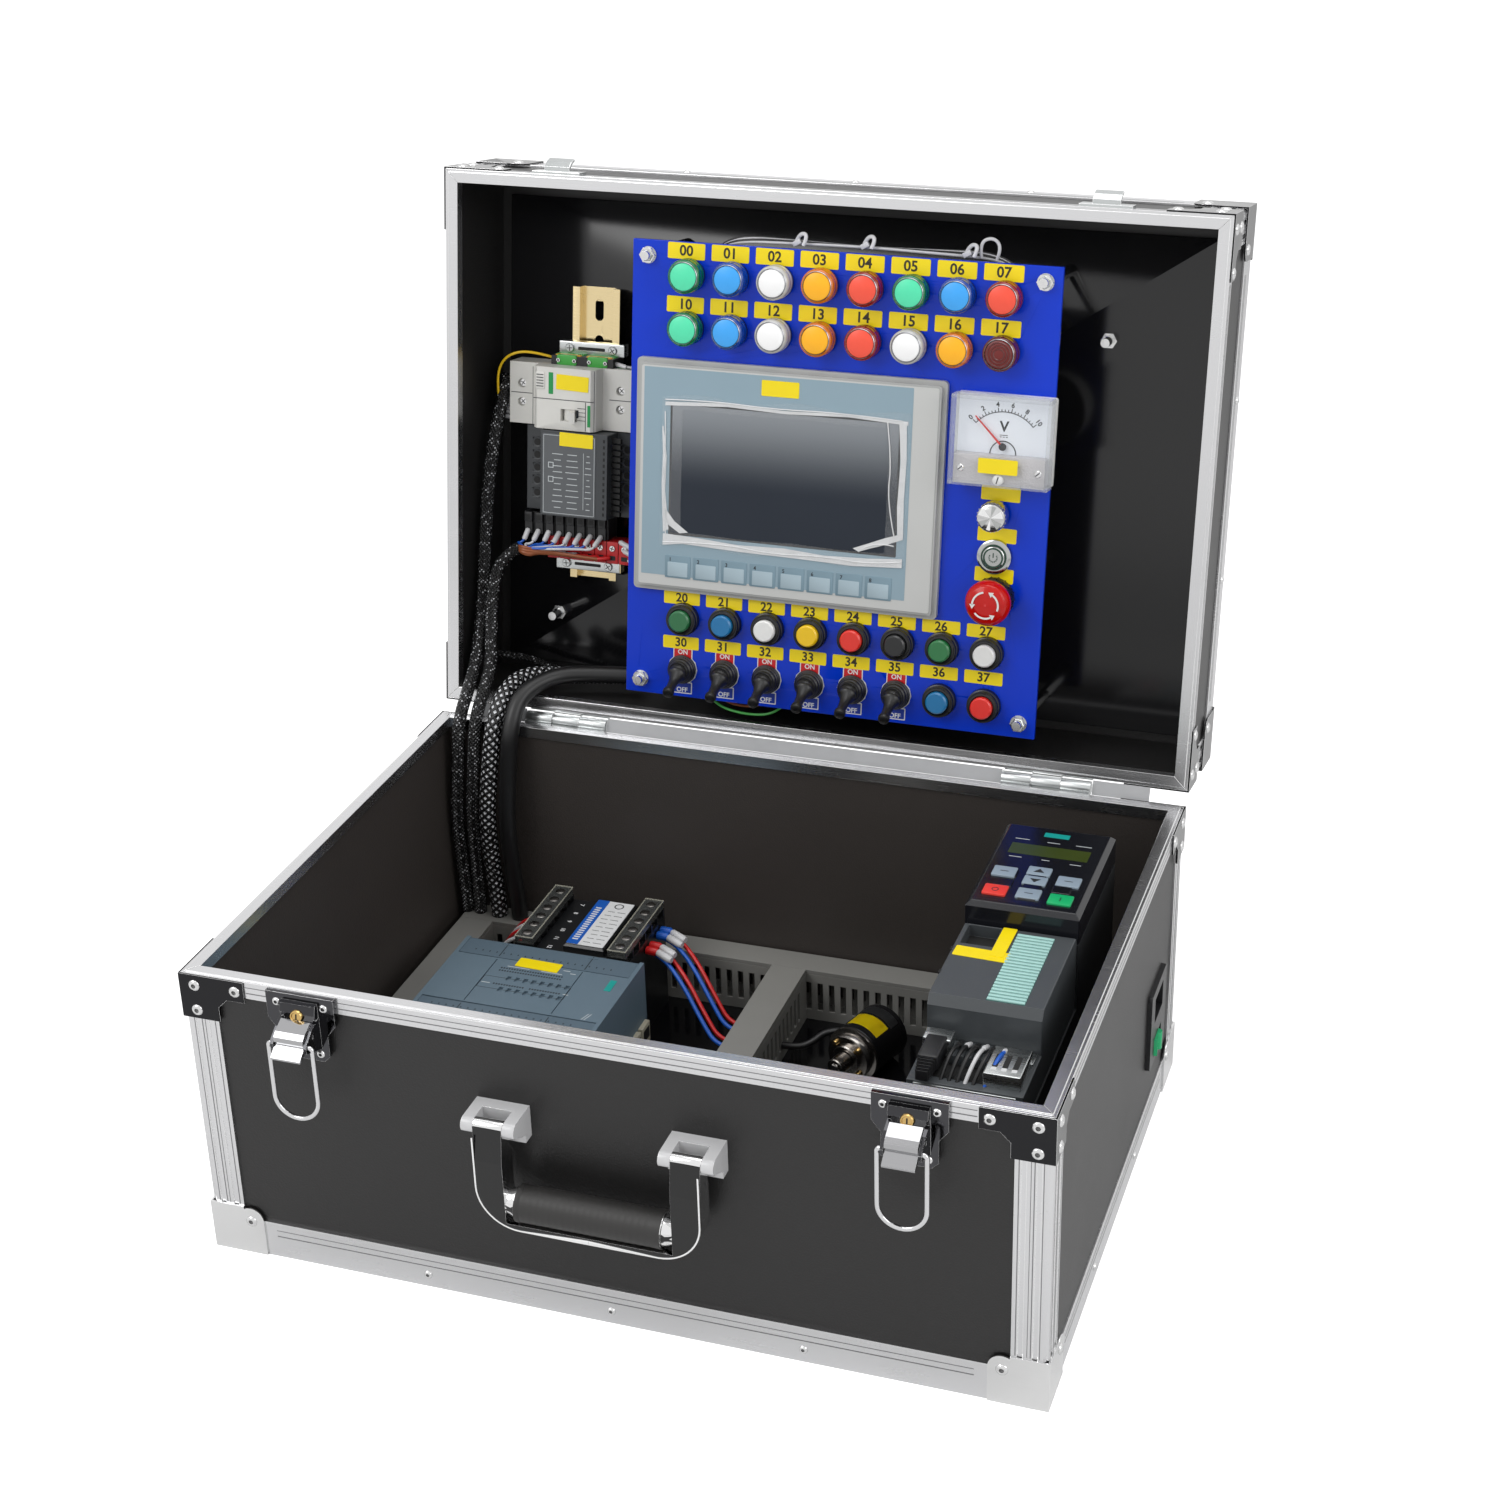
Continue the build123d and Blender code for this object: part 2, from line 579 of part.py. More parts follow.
def duct(start, end, width, plane):
    """A trough and its cover along the local X of a plane through the duct's middle."""
    length = end - start
    with BuildPart() as trough:
        with BuildSketch(plane):
            with Locations(((start + end) / 2, 0)):
                Rectangle(length, width)
        extrude(amount=DUCT_H - DUCT_TOP_T - FIT)
        with BuildSketch(plane.offset(DUCT_WALL)):
            with Locations(((start + end) / 2, 0)):
                Rectangle(length, width - 2 * DUCT_WALL)
        extrude(amount=DUCT_H, mode=Mode.SUBTRACT)
        count = int((length - 2 * SLOT_PITCH) / SLOT_PITCH)
        wall = in_frame(plane, ((start + end) / 2, 0, 8 + SLOT_H / 2), (1, 0, 0), (0, -1, 0))
        with BuildSketch(wall):
            with GridLocations(SLOT_PITCH, 0, count, 1):
                Rectangle(SLOT_W, SLOT_H)
        extrude(amount=width, both=True, mode=Mode.SUBTRACT)
        with BuildSketch(plane.offset(DUCT_H - DUCT_TOP_T)):
            with Locations(((start + end) / 2, 0)):
                Rectangle(length, width)
        extrude(amount=DUCT_TOP_T)
    return trough.part


with BuildPart() as wiring_ducts:
    add(duct(BACK_DUCT_LEFT, BACK_DUCT_RIGHT, BACK_DUCT_W,
             Plane(origin=(0, BACK_DUCT_Y, DECK_Z), x_dir=(1, 0, 0), z_dir=(0, 0, 1))))
    add(duct(DUCT_FRONT, BRANCH_END, MIDDLE_DUCT_W,
             Plane(origin=(MIDDLE_DUCT_X, 0, DECK_Z), x_dir=(0, 1, 0), z_dir=(0, 0, 1))))
    add(duct(DUCT_FRONT, BRANCH_END, LEFT_DUCT_W,
             Plane(origin=(LEFT_DUCT_X, 0, DECK_Z), x_dir=(0, 1, 0), z_dir=(0, 0, 1))))
wiring_ducts.part.label = "wiring_ducts"
export_step(wiring_ducts.part, "parts/wiring_ducts.step")

# Controller module: moulded housing with a flap over the terminals at each end
PLC_LEFT = LEFT_DUCT_X + 34.5
PLC_W = 130.0
PLC_FRONT = -30.0
PLC_L = 100.0
PLC_TOP = 90.0
PLC_CHAMFER = 7.0
FLAP_L = 21.0
FLAP_T = 3.4
FLAP_SIDE = 3.0
FLAP_PIN_R = 1.2
PLC_X = PLC_LEFT + PLC_W / 2
PLC_Y = PLC_FRONT + PLC_L / 2
FLAP_Z = PLC_TOP - 0.2 - FLAP_T / 2
FLAP_W = PLC_W - 2 * (FLAP_SIDE + FIT)
FLAP_OUT = PLC_L / 2 - FLAP_T / 2 - 0.3

with BuildPart() as plc_housing:
    with BuildSketch(Plane.XY.offset(DECK_Z)):
        with Locations((PLC_X, PLC_Y)):
            Rectangle(PLC_W, PLC_L)
    extrude(amount=PLC_TOP - DECK_Z)
    for end in (-1, 1):
        with BuildSketch(Plane.XY.offset(PLC_TOP - FLAP_T - 0.5)):
            with Locations((PLC_X, PLC_Y + end * PLC_L / 2)):
                Rectangle(
                    PLC_W - 2 * FLAP_SIDE, FLAP_L + 0.5,
                    align=(Align.CENTER, Align.MAX if end > 0 else Align.MIN),
                )
        extrude(amount=FLAP_T + 1, mode=Mode.SUBTRACT)
        with BuildSketch(Plane.YZ.offset(PLC_LEFT + 1)):
            with Locations((PLC_Y + end * FLAP_OUT, FLAP_Z)):
                Circle(FLAP_PIN_R + RUN_FIT)
        extrude(amount=PLC_W - 2, mode=Mode.SUBTRACT)
        with BuildSketch(Plane.XY.offset(DECK_Z + 36)):
            with Locations((PLC_X, PLC_Y + end * PLC_L / 2)):
                Rectangle(PLC_W - 16, 12)
        extrude(amount=18, mode=Mode.SUBTRACT)
    with BuildSketch(Plane.XY.offset(PLC_TOP - 1)):
        with Locations((PLC_X - PLC_W / 4, PLC_Y), (PLC_X + PLC_W / 4 - 3, PLC_Y)):
            Rectangle(0.8, PLC_L - 2 * FLAP_L - 4)
    extrude(amount=2, mode=Mode.SUBTRACT)
    with BuildSketch(Plane.XY.offset(PLC_TOP - 1.5)):
        with Locations((PLC_X + 6, PLC_Y + 6), (PLC_X + 6, PLC_Y - 8)):
            with GridLocations(6, 0, 8, 1):
                Rectangle(3, 5)
    extrude(amount=2, mode=Mode.SUBTRACT)
plc_housing.part.label = "plc_housing"
export_step(plc_housing.part, "parts/plc_housing.step")

for end, name in ((-1, "front"), (1, "rear")):
    pivot = PLC_Y + end * FLAP_OUT
    with BuildPart() as flap:
        with BuildSketch(Plane.YZ.offset(PLC_X - FLAP_W / 2)):
            with Locations((pivot, FLAP_Z)):
                Circle(FLAP_T / 2)
                Rectangle(
                    FLAP_L - 2.5, FLAP_T,
                    align=(Align.MAX if end > 0 else Align.MIN, Align.CENTER),
                )
        extrude(amount=FLAP_W)
        with BuildSketch(Plane.YZ.offset(PLC_X - FLAP_W / 2 - FLAP_SIDE + 1.4)):
            with Locations((pivot, FLAP_Z)):
                Circle(FLAP_PIN_R)
        extrude(amount=FLAP_W + 2 * (FLAP_SIDE - 1.4))
    flap.part.label = f"plc_{name}_flap"
    export_step(flap.part, f"parts/plc_{name}_flap.step")

# Signal isolator behind the controller: a module between two screw terminal strips
ISOLATOR_X = PLC_LEFT + 73
ISOLATOR_W = 54.0
ISOLATOR_Y = BACK_DUCT_Y - 52
ISOLATOR_L = 73.0
ISOLATOR_TOP = 82.0
LABEL_TOP = 88.0
STRIP_W = 14.0
STRIP_TOP = 80.0
STRIP_GUARD_TOP = 91.0
STRIP_WAYS = 6

with BuildPart() as signal_isolator:
    with BuildSketch(Plane.XY.offset(DECK_Z)):
        with Locations((ISOLATOR_X, ISOLATOR_Y)):
            Rectangle(ISOLATOR_W, ISOLATOR_L)
    extrude(amount=ISOLATOR_TOP - DECK_Z)
    with BuildSketch(Plane.XY.offset(ISOLATOR_TOP)):
        with Locations((ISOLATOR_X + 8, ISOLATOR_Y)):
            Rectangle(30, ISOLATOR_L - 8)
    extrude(amount=LABEL_TOP - ISOLATOR_TOP)
    chamfer(signal_isolator.faces().sort_by(Axis.Z)[-1].edges(), 1.5)
with BuildPart() as isolator_strips:
    for side in (-1, 1):
        middle = ISOLATOR_X + side * (ISOLATOR_W / 2 + STRIP_W / 2 + FIT)
        with BuildSketch(Plane.XY.offset(DECK_Z)):
            with Locations((middle, ISOLATOR_Y)):
                Rectangle(STRIP_W, ISOLATOR_L)
        extrude(amount=STRIP_TOP - DECK_Z)
        with BuildSketch(Plane.XY.offset(STRIP_TOP)):
            with Locations((middle, ISOLATOR_Y)):
                with GridLocations(0, (ISOLATOR_L - 2) / STRIP_WAYS, 1, STRIP_WAYS + 1):
                    Rectangle(STRIP_W, 2)
        extrude(amount=6)
        with BuildSketch(Plane.XZ.offset(-ISOLATOR_Y - ISOLATOR_L / 2)):
            with Locations((middle, STRIP_TOP + 6 + FIT)):
                Rectangle(STRIP_W - 1, STRIP_GUARD_TOP - STRIP_TOP - 6 - FIT, align=(Align.CENTER, Align.MIN))
            with Locations((middle, STRIP_TOP)):
                Rectangle(STRIP_W - 4, 9, align=(Align.CENTER, Align.MIN), mode=Mode.SUBTRACT)
        extrude(amount=ISOLATOR_L)
with BuildPart() as isolator_group:
    add(signal_isolator.part)
    add(isolator_strips.part)
isolator_group.part.label = "signal_isolator"
export_step(isolator_group.part, "parts/signal_isolator.step")

# Rotary encoder lying on the deck, shaft towards the front left
ENCODER_R = 19.0
ENCODER_L = 36.0
ENCODER_X = MIDDLE_DUCT_X + 71.5
ENCODER_Y = BACK_DUCT_Y - 53.5
ENCODER_TURN = 18.0
ENCODER_FLANGE_R = 16.0
ENCODER_FLANGE_L = 8.0
ENCODER_PILOT_R = 10.0
ENCODER_PILOT_L = 3.0
ENCODER_SHAFT_R = 3.0
ENCODER_SHAFT_L = 13.0
ENCODER_AXIS = Vector(-sin(radians(ENCODER_TURN)), -cos(radians(ENCODER_TURN)), 0)
ENCODER_FACE = Plane(
    origin=Vector(ENCODER_X, ENCODER_Y, DECK_Z + ENCODER_R) + ENCODER_AXIS * (ENCODER_L / 2),
    x_dir=(cos(radians(ENCODER_TURN)), -sin(radians(ENCODER_TURN)), 0),
    z_dir=ENCODER_AXIS,
)

with BuildPart() as encoder_housing:
    with BuildSketch(ENCODER_FACE):
        Circle(ENCODER_R)
    extrude(amount=-ENCODER_L)
    fillet(encoder_housing.edges().filter_by(GeomType.CIRCLE), 1.2)
    with BuildSketch(ENCODER_FACE):
        Circle(ENCODER_FLANGE_R)
    extrude(amount=ENCODER_FLANGE_L)
    with BuildSketch(ENCODER_FACE.offset(ENCODER_FLANGE_L)):
        Circle(ENCODER_PILOT_R)
    extrude(amount=ENCODER_PILOT_L)
    with BuildSketch(ENCODER_FACE.offset(ENCODER_FLANGE_L + ENCODER_PILOT_L)):
        Circle(ENCODER_SHAFT_R + RUN_FIT)
    extrude(amount=-12, mode=Mode.SUBTRACT)
encoder_housing.part.label = "encoder_housing"
export_step(encoder_housing.part, "parts/encoder_housing.step")

with BuildPart() as encoder_shaft:
    with BuildSketch(ENCODER_FACE.offset(ENCODER_FLANGE_L + ENCODER_PILOT_L - 11.5)):
        Circle(ENCODER_SHAFT_R)
    extrude(amount=ENCODER_SHAFT_L + 11.5)
    with BuildSketch(ENCODER_FACE.offset(ENCODER_FLANGE_L + ENCODER_PILOT_L + 3)):
        with Locations((0, ENCODER_SHAFT_R)):
            Rectangle(2 * ENCODER_SHAFT_R, 1)
    extrude(amount=ENCODER_SHAFT_L, mode=Mode.SUBTRACT)
encoder_shaft.part.label = "encoder_shaft"
export_step(encoder_shaft.part, "parts/encoder_shaft.step")

# Frequency inverter: power unit on its finned heat sink, control unit and keypad on top
DRIVE_X = CASE_W / 2 - 64
DRIVE_W = 70.0
DRIVE_FRONT = -132.0
DRIVE_BACK = 107.0
DRIVE_SINK_TOP = 62.0
DRIVE_BODY_TOP = 150.0
DRIVE_STEP_Y = 1.0
DRIVE_HEAD_TOP = 195.0
DRIVE_TOP = 214.5
FIN_T = 2.4
FIN_COUNT = 8
CONTROL_TOP = 201.0
CONTROL_LEDGE_Y = -88.0
CONTROL_LEDGE_TOP = 172.0
DRIVE_L = DRIVE_BACK - DRIVE_FRONT
FIN_PITCH = (DRIVE_W - FIN_T) / (FIN_COUNT - 1)
DRIVE_FACE = Plane.XZ.offset(-DRIVE_BACK)

with BuildPart() as inverter_power_unit:
    with BuildSketch(DRIVE_FACE):
        with Locations((DRIVE_X, DRIVE_SINK_TOP - 6)):
            Rectangle(DRIVE_W, 6, align=(Align.CENTER, Align.MIN))
        with Locations((DRIVE_X, (DECK_Z + DRIVE_SINK_TOP - 6) / 2)):
            with GridLocations(FIN_PITCH, 0, FIN_COUNT, 1):
                Rectangle(FIN_T, DRIVE_SINK_TOP - 6 - DECK_Z)
    extrude(amount=DRIVE_L)
    with BuildSketch(Plane.YZ.offset(DRIVE_X - DRIVE_W / 2)):
        with BuildLine():
            Polyline(
                (DRIVE_FRONT, DRIVE_SINK_TOP), (DRIVE_BACK, DRIVE_SINK_TOP),
                (DRIVE_BACK, DRIVE_HEAD_TOP), (DRIVE_STEP_Y, DRIVE_HEAD_TOP),
                (DRIVE_STEP_Y, DRIVE_BODY_TOP), (DRIVE_FRONT, DRIVE_BODY_TOP),
                close=True,
            )
        make_face()
    extrude(amount=DRIVE_W)
    with BuildSketch(Plane.YZ.offset(DRIVE_X + DRIVE_W / 2 - 1.5)):
        with Locations((DRIVE_FRONT + DRIVE_L / 2, DRIVE_SINK_TOP + 30)):
            with GridLocations(9, 0, 20, 1):
                Rectangle(3.5, 34)
    extrude(amount=1.5, mode=Mode.SUBTRACT)
inverter_power_unit.part.label = "inverter_power_unit"
export_step(inverter_power_unit.part, "parts/inverter_power_unit.step")

with BuildPart() as inverter_control_unit:
    with BuildSketch(Plane.YZ.offset(DRIVE_X - DRIVE_W / 2 + 1)):
        with BuildLine():
            Polyline(
                (DRIVE_FRONT, DRIVE_BODY_TOP), (DRIVE_STEP_Y - FIT, DRIVE_BODY_TOP),
                (DRIVE_STEP_Y - FIT, CONTROL_TOP - 3), (DRIVE_STEP_Y - 3, CONTROL_TOP),
                (CONTROL_LEDGE_Y + 4, CONTROL_TOP), (CONTROL_LEDGE_Y, CONTROL_TOP - 6),
                (CONTROL_LEDGE_Y, CONTROL_LEDGE_TOP), (DRIVE_FRONT, CONTROL_LEDGE_TOP),
                close=True,
            )
        make_face()
    extrude(amount=DRIVE_W - 2)
    with BuildSketch(Plane.XY.offset(CONTROL_TOP - 1.2)):
        with Locations((DRIVE_X + 11, -44)):
            with GridLocations(0, 6, 1, 12):
                Rectangle(22, 2)
    extrude(amount=2, mode=Mode.SUBTRACT)
    with BuildSketch(Plane.XY.offset(CONTROL_TOP - 8)):
        with Locations((DRIVE_X - 21, -14)):
            Rectangle(20, 22)
    extrude(amount=10, mode=Mode.SUBTRACT)
    with BuildSketch(Plane.XY.offset(CONTROL_LEDGE_TOP - 12)):
        with Locations((DRIVE_X - 4, (DRIVE_FRONT + CONTROL_LEDGE_Y) / 2)):
            Rectangle(48, 30)
    extrude(amount=14, mode=Mode.SUBTRACT)
inverter_control_unit.part.label = "inverter_control_unit"
export_step(inverter_control_unit.part, "parts/inverter_control_unit.step")

KEY_W = 11.0
KEY_L = 9.0
KEY_RISE = 1.0
with BuildPart() as inverter_keypad:
    with BuildSketch(Plane.XY.offset(DRIVE_HEAD_TOP + FIT)):
        with Locations((DRIVE_X, (DRIVE_STEP_Y + DRIVE_BACK) / 2)):
            Rectangle(DRIVE_W, DRIVE_BACK - DRIVE_STEP_Y)
    extrude(amount=DRIVE_TOP - DRIVE_HEAD_TOP - FIT)
    chamfer(inverter_keypad.faces().sort_by(Axis.Z)[-1].edges(), 3)
    with BuildSketch(Plane.XY.offset(DRIVE_TOP - 0.8)):
        with Locations((DRIVE_X, DRIVE_BACK - 34)):
            Rectangle(46, 15)
    extrude(amount=2, mode=Mode.SUBTRACT)
    with BuildSketch(Plane.XY.offset(DRIVE_TOP)):
        for x, y in ((-18, 52), (0, 52), (18, 52), (0, 65), (-18, 65), (18, 65)):
            with Locations((DRIVE_X + x, DRIVE_BACK - y - 14)):
                Rectangle(KEY_W, KEY_L)
        with Locations((DRIVE_X, DRIVE_BACK - 91)):
            Rectangle(KEY_W, KEY_L)
    extrude(amount=KEY_RISE)
inverter_keypad.part.label = "inverter_keypad"
export_step(inverter_keypad.part, "parts/inverter_keypad.step")

# Mains inlet with its rocker switch, clipped into the right wall
SOCKET_W = 26.0
SOCKET_H = 18.0
SOCKET_Z = INLET_Z + 12.0
ROCKER_W = 21.0
ROCKER_H = 13.0
ROCKER_Z = INLET_Z - 17.0
ROCKER_PIN_R = 1.5
ROCKER_PIVOT_X = BOARD_X - 1.5
ROCKER_TILT = 9.0

with BuildPart() as power_inlet:
    with BuildSketch(RIGHT):
        with Locations((INLET_Y, INLET_Z)):
            RectangleRounded(INLET_W, INLET_H, 3)
    extrude(amount=INLET_PLATE)
    with BuildSketch(RIGHT):
        with Locations((INLET_Y, INLET_Z)):
            Rectangle(INLET_W - 2 * INLET_FLANGE - 2 * FIT, INLET_H - 2 * INLET_FLANGE - 2 * FIT)
    extrude(amount=-INLET_DEPTH)
    with BuildSketch(RIGHT.offset(INLET_PLATE)):
        with Locations((INLET_Y, SOCKET_Z)):
            Rectangle(SOCKET_W, SOCKET_H)
    extrude(amount=-18, mode=Mode.SUBTRACT)
    with BuildSketch(RIGHT.offset(INLET_PLATE)):
        with Locations((INLET_Y, ROCKER_Z)):
            Rectangle(ROCKER_W + 2, ROCKER_H + 0.6)
    extrude(amount=-13, mode=Mode.SUBTRACT)
    with BuildSketch(Plane.XY.offset(ROCKER_Z - ROCKER_H / 2 - 2)):
        with Locations((ROCKER_PIVOT_X, INLET_Y)):
            Circle(ROCKER_PIN_R + RUN_FIT)
    extrude(amount=ROCKER_H + 4, mode=Mode.SUBTRACT)
power_inlet.part.label = "power_inlet"
export_step(power_inlet.part, "parts/power_inlet.step")

with BuildPart() as inlet_rocker:
    with BuildSketch(Plane.XY.offset(ROCKER_Z - ROCKER_H / 2)):
        with Locations(Location((ROCKER_PIVOT_X, INLET_Y), ROCKER_TILT)):
            with Locations((1.5, 0)):
                Rectangle(7, ROCKER_W)
            with Locations((5, 0)):
                Circle(2.6)
    extrude(amount=ROCKER_H)
    with BuildSketch(Plane.XY.offset(ROCKER_Z - ROCKER_H / 2 - 1.8)):
        with Locations((ROCKER_PIVOT_X, INLET_Y)):
            Circle(ROCKER_PIN_R)
    extrude(amount=ROCKER_H + 3.6)
inlet_rocker.part.label = "inlet_rocker"
export_step(inlet_rocker.part, "parts/inlet_rocker.step")

# Black mounting board in the lid, and the standoffs that carry the control panel
BACKBOARD_LEFT = -CASE_W / 2 + 15
BACKBOARD_RIGHT = CASE_W / 2 - 18
BACKBOARD_LOW = 14.0
BACKBOARD_HIGH = CASE_D - 22
BACKBOARD_W = 76.0
PANEL_U = BACKBOARD_LEFT + 266.5
PANEL_V = (BACKBOARD_LOW + BACKBOARD_HIGH) / 2 - 4
PANEL_W = 290.0
PANEL_H = 310.0
PANEL_T = 3.0
BOLT_SPAN_U = 268.0
BOLT_SPAN_V = 290.0
BOLT_R = 3.0
STANDOFF_R = 4.0
NUT_R = 5.5
NUT_T = 3.5
BACKBOARD_T = LID_H - BOARD_T - BACKBOARD_W
STUD_PLACES = ((PANEL_U + 162.5, PANEL_V + 101), (PANEL_U - 226.5, PANEL_V - 125))

with BuildPart() as mounting_board:
    with BuildSketch(LID.offset(-BACKBOARD_W)):
        with Locations(((BACKBOARD_LEFT + BACKBOARD_RIGHT) / 2, (BACKBOARD_LOW + BACKBOARD_HIGH) / 2)):
            Rectangle(BACKBOARD_RIGHT - BACKBOARD_LEFT, BACKBOARD_HIGH - BACKBOARD_LOW)
    extrude(amount=-BACKBOARD_T)
mounting_board.part.label = "mounting_board"
export_step(mounting_board.part, "parts/mounting_board.step")

with BuildPart() as panel_standoffs:
    with BuildSketch(LID.offset(-BACKBOARD_W)):
        with Locations((PANEL_U, PANEL_V)):
            with GridLocations(BOLT_SPAN_U, BOLT_SPAN_V, 2, 2):
                Circle(STANDOFF_R)
    extrude(amount=BACKBOARD_W - PANEL_T)
    with BuildSketch(LID.offset(-PANEL_T)):
        with Locations((PANEL_U, PANEL_V)):
            with GridLocations(BOLT_SPAN_U, BOLT_SPAN_V, 2, 2):
                Circle(BOLT_R)
    extrude(amount=PANEL_T + 8)
    with BuildSketch(LID):
        with Locations((PANEL_U, PANEL_V)):
            with GridLocations(BOLT_SPAN_U, BOLT_SPAN_V, 2, 2):
                RegularPolygon(NUT_R, 6)
    extrude(amount=NUT_T)
    with BuildSketch(LID.offset(-BACKBOARD_W)):
        with Locations(*STUD_PLACES):
            RegularPolygon(NUT_R, 6)
    extrude(amount=NUT_T)
    with BuildSketch(LID.offset(-BACKBOARD_W)):
        with Locations(*STUD_PLACES):
            Circle(BOLT_R)
    extrude(amount=16)
panel_standoffs.part.label = "panel_standoffs"
export_step(panel_standoffs.part, "parts/panel_standoffs.step")

# Places of the operators on the control panel
LAMP_PITCH = 30.6
LAMP_FIRST_U = PANEL_U - 105
LAMP_ROWS = (PANEL_V + 133.5, PANEL_V + 99)
BUTTON_PITCH = 30.5
BUTTON_FIRST_U = PANEL_U - 103.5
BUTTON_ROW_V = PANEL_V - 99.5
TOGGLE_ROW_V = PANEL_V - 135.2
TOGGLE_COUNT = 6
LAMP_PLACES = [(LAMP_FIRST_U + i * LAMP_PITCH, v) for v in LAMP_ROWS for i in range(8)]
BUTTON_PLACES = [(BUTTON_FIRST_U + i * BUTTON_PITCH, BUTTON_ROW_V) for i in range(8)]
BUTTON_PLACES += [(BUTTON_FIRST_U + i * BUTTON_PITCH, TOGGLE_ROW_V) for i in (6, 7)]
TOGGLE_PLACES = [(BUTTON_FIRST_U + i * BUTTON_PITCH, TOGGLE_ROW_V) for i in range(TOGGLE_COUNT)]
METER_U, METER_V = PANEL_U + 114.5, PANEL_V + 44
KNOB_U, KNOB_V = PANEL_U + 110.5, PANEL_V - 6
POWER_U, POWER_V = PANEL_U + 111.5, PANEL_V - 34
STOP_U, STOP_V = PANEL_U + 112.5, PANEL_V - 61.5

# Bodies of the operators where they pass through the panel
LAMP_BODY_R = 7.5
TOGGLE_BODY_R = 6.0
METER_BODY_R = 24.0
KNOB_BUSH_R = 4.5
POWER_BODY_R = 8.0
STOP_BODY_R = 9.0
TERMINAL_U, TERMINAL_V = PANEL_U - 32, PANEL_V - 1
TERMINAL_W, TERMINAL_H = 214.0, 158.0
TERMINAL_BODY_W, TERMINAL_BODY_H = 198.0, 142.0
TERMINAL_BODY_DEPTH = 38.0

with BuildPart() as control_panel:
    with BuildSketch(LID.offset(-PANEL_T)):
        with Locations((PANEL_U, PANEL_V)):
            Rectangle(PANEL_W, PANEL_H)
            with GridLocations(BOLT_SPAN_U, BOLT_SPAN_V, 2, 2):
                Circle(BOLT_R + FIT, mode=Mode.SUBTRACT)
        with Locations((TERMINAL_U, TERMINAL_V)):
            Rectangle(TERMINAL_BODY_W + 2 * FIT, TERMINAL_BODY_H + 2 * FIT, mode=Mode.SUBTRACT)
        for places, hole_r in (
            (LAMP_PLACES + BUTTON_PLACES, LAMP_BODY_R), (TOGGLE_PLACES, TOGGLE_BODY_R),
            ([(METER_U, METER_V)], METER_BODY_R), ([(KNOB_U, KNOB_V)], KNOB_BUSH_R),
            ([(POWER_U, POWER_V)], POWER_BODY_R), ([(STOP_U, STOP_V)], STOP_BODY_R),
        ):
            with Locations(*places):
                Circle(hole_r + FIT, mode=Mode.SUBTRACT)
    extrude(amount=PANEL_T)
control_panel.part.label = "control_panel"
export_step(control_panel.part, "parts/control_panel.step")


def turned(points):
    """A turned piece on the lid's axis, from a half section of radius and height."""
    with BuildPart() as piece:
        with BuildSketch(lid_section(0, 0)):
            with BuildLine():
                Polyline(*points, close=True)
            make_face()
        revolve(axis=Axis(LID.origin, LID.z_dir))
    return piece.part


def on_panel(piece, u, v):
    """A piece made on the lid's origin, moved to its place on the panel."""
    return piece.moved(Location(LID.from_local_coords(Vector(u, v, 0)) - LID.origin))


# Pilot lamps and the buzzer: bezel, domed lens and lamp holder behind the panel
LAMP_HEAD_R = 11.0
LENS_R = 9.0
LAMP_OUT = 13.0
HOLDER_DEPTH = 38.0
lamp = turned([
    (0, LAMP_OUT), (5.5, LAMP_OUT - 0.8), (LENS_R, LAMP_OUT - 3.2), (LENS_R, 4.5),
    (LAMP_HEAD_R, 3.8), (LAMP_HEAD_R, 0), (LAMP_BODY_R, 0), (LAMP_BODY_R, -HOLDER_DEPTH),
    (0, -HOLDER_DEPTH),
])
with BuildPart() as pilot_lamps:
    for u, v in LAMP_PLACES:
        add(on_panel(lamp, u, v))
pilot_lamps.part.label = "pilot_lamps"
export_step(pilot_lamps.part, "parts/pilot_lamps.step")

# Collars of the push buttons, toggle bushes, and the bases of knob, switch and stop button
COLLAR_R = 10.5
COLLAR_H = 7.0
COLLAR_BORE = 7.5
POCKET_FLOOR = 0.5
CAP_R = 7.4
CAP_LOW = 4.0
CAP_HIGH = 11.0
TOGGLE_NUT_R = 8.2
TOGGLE_NUT_H = 4.0
TOGGLE_BORE = 6.9
TOGGLE_BALL_R = 6.5
TOGGLE_PIVOT = 7.2
TOGGLE_LENGTH = 25.0
TOGGLE_TILT = 25.0
KNOB_SHAFT_R = 3.0
KNOB_R = 9.5
POWER_RING_R = 11.0
POWER_RING_H = 3.0
POWER_CAP_R = 7.4
STOP_COLLAR_R = 13.0
STOP_COLLAR_H = 8.0
STOP_STEM_R = 7.0
STOP_R = 15.0

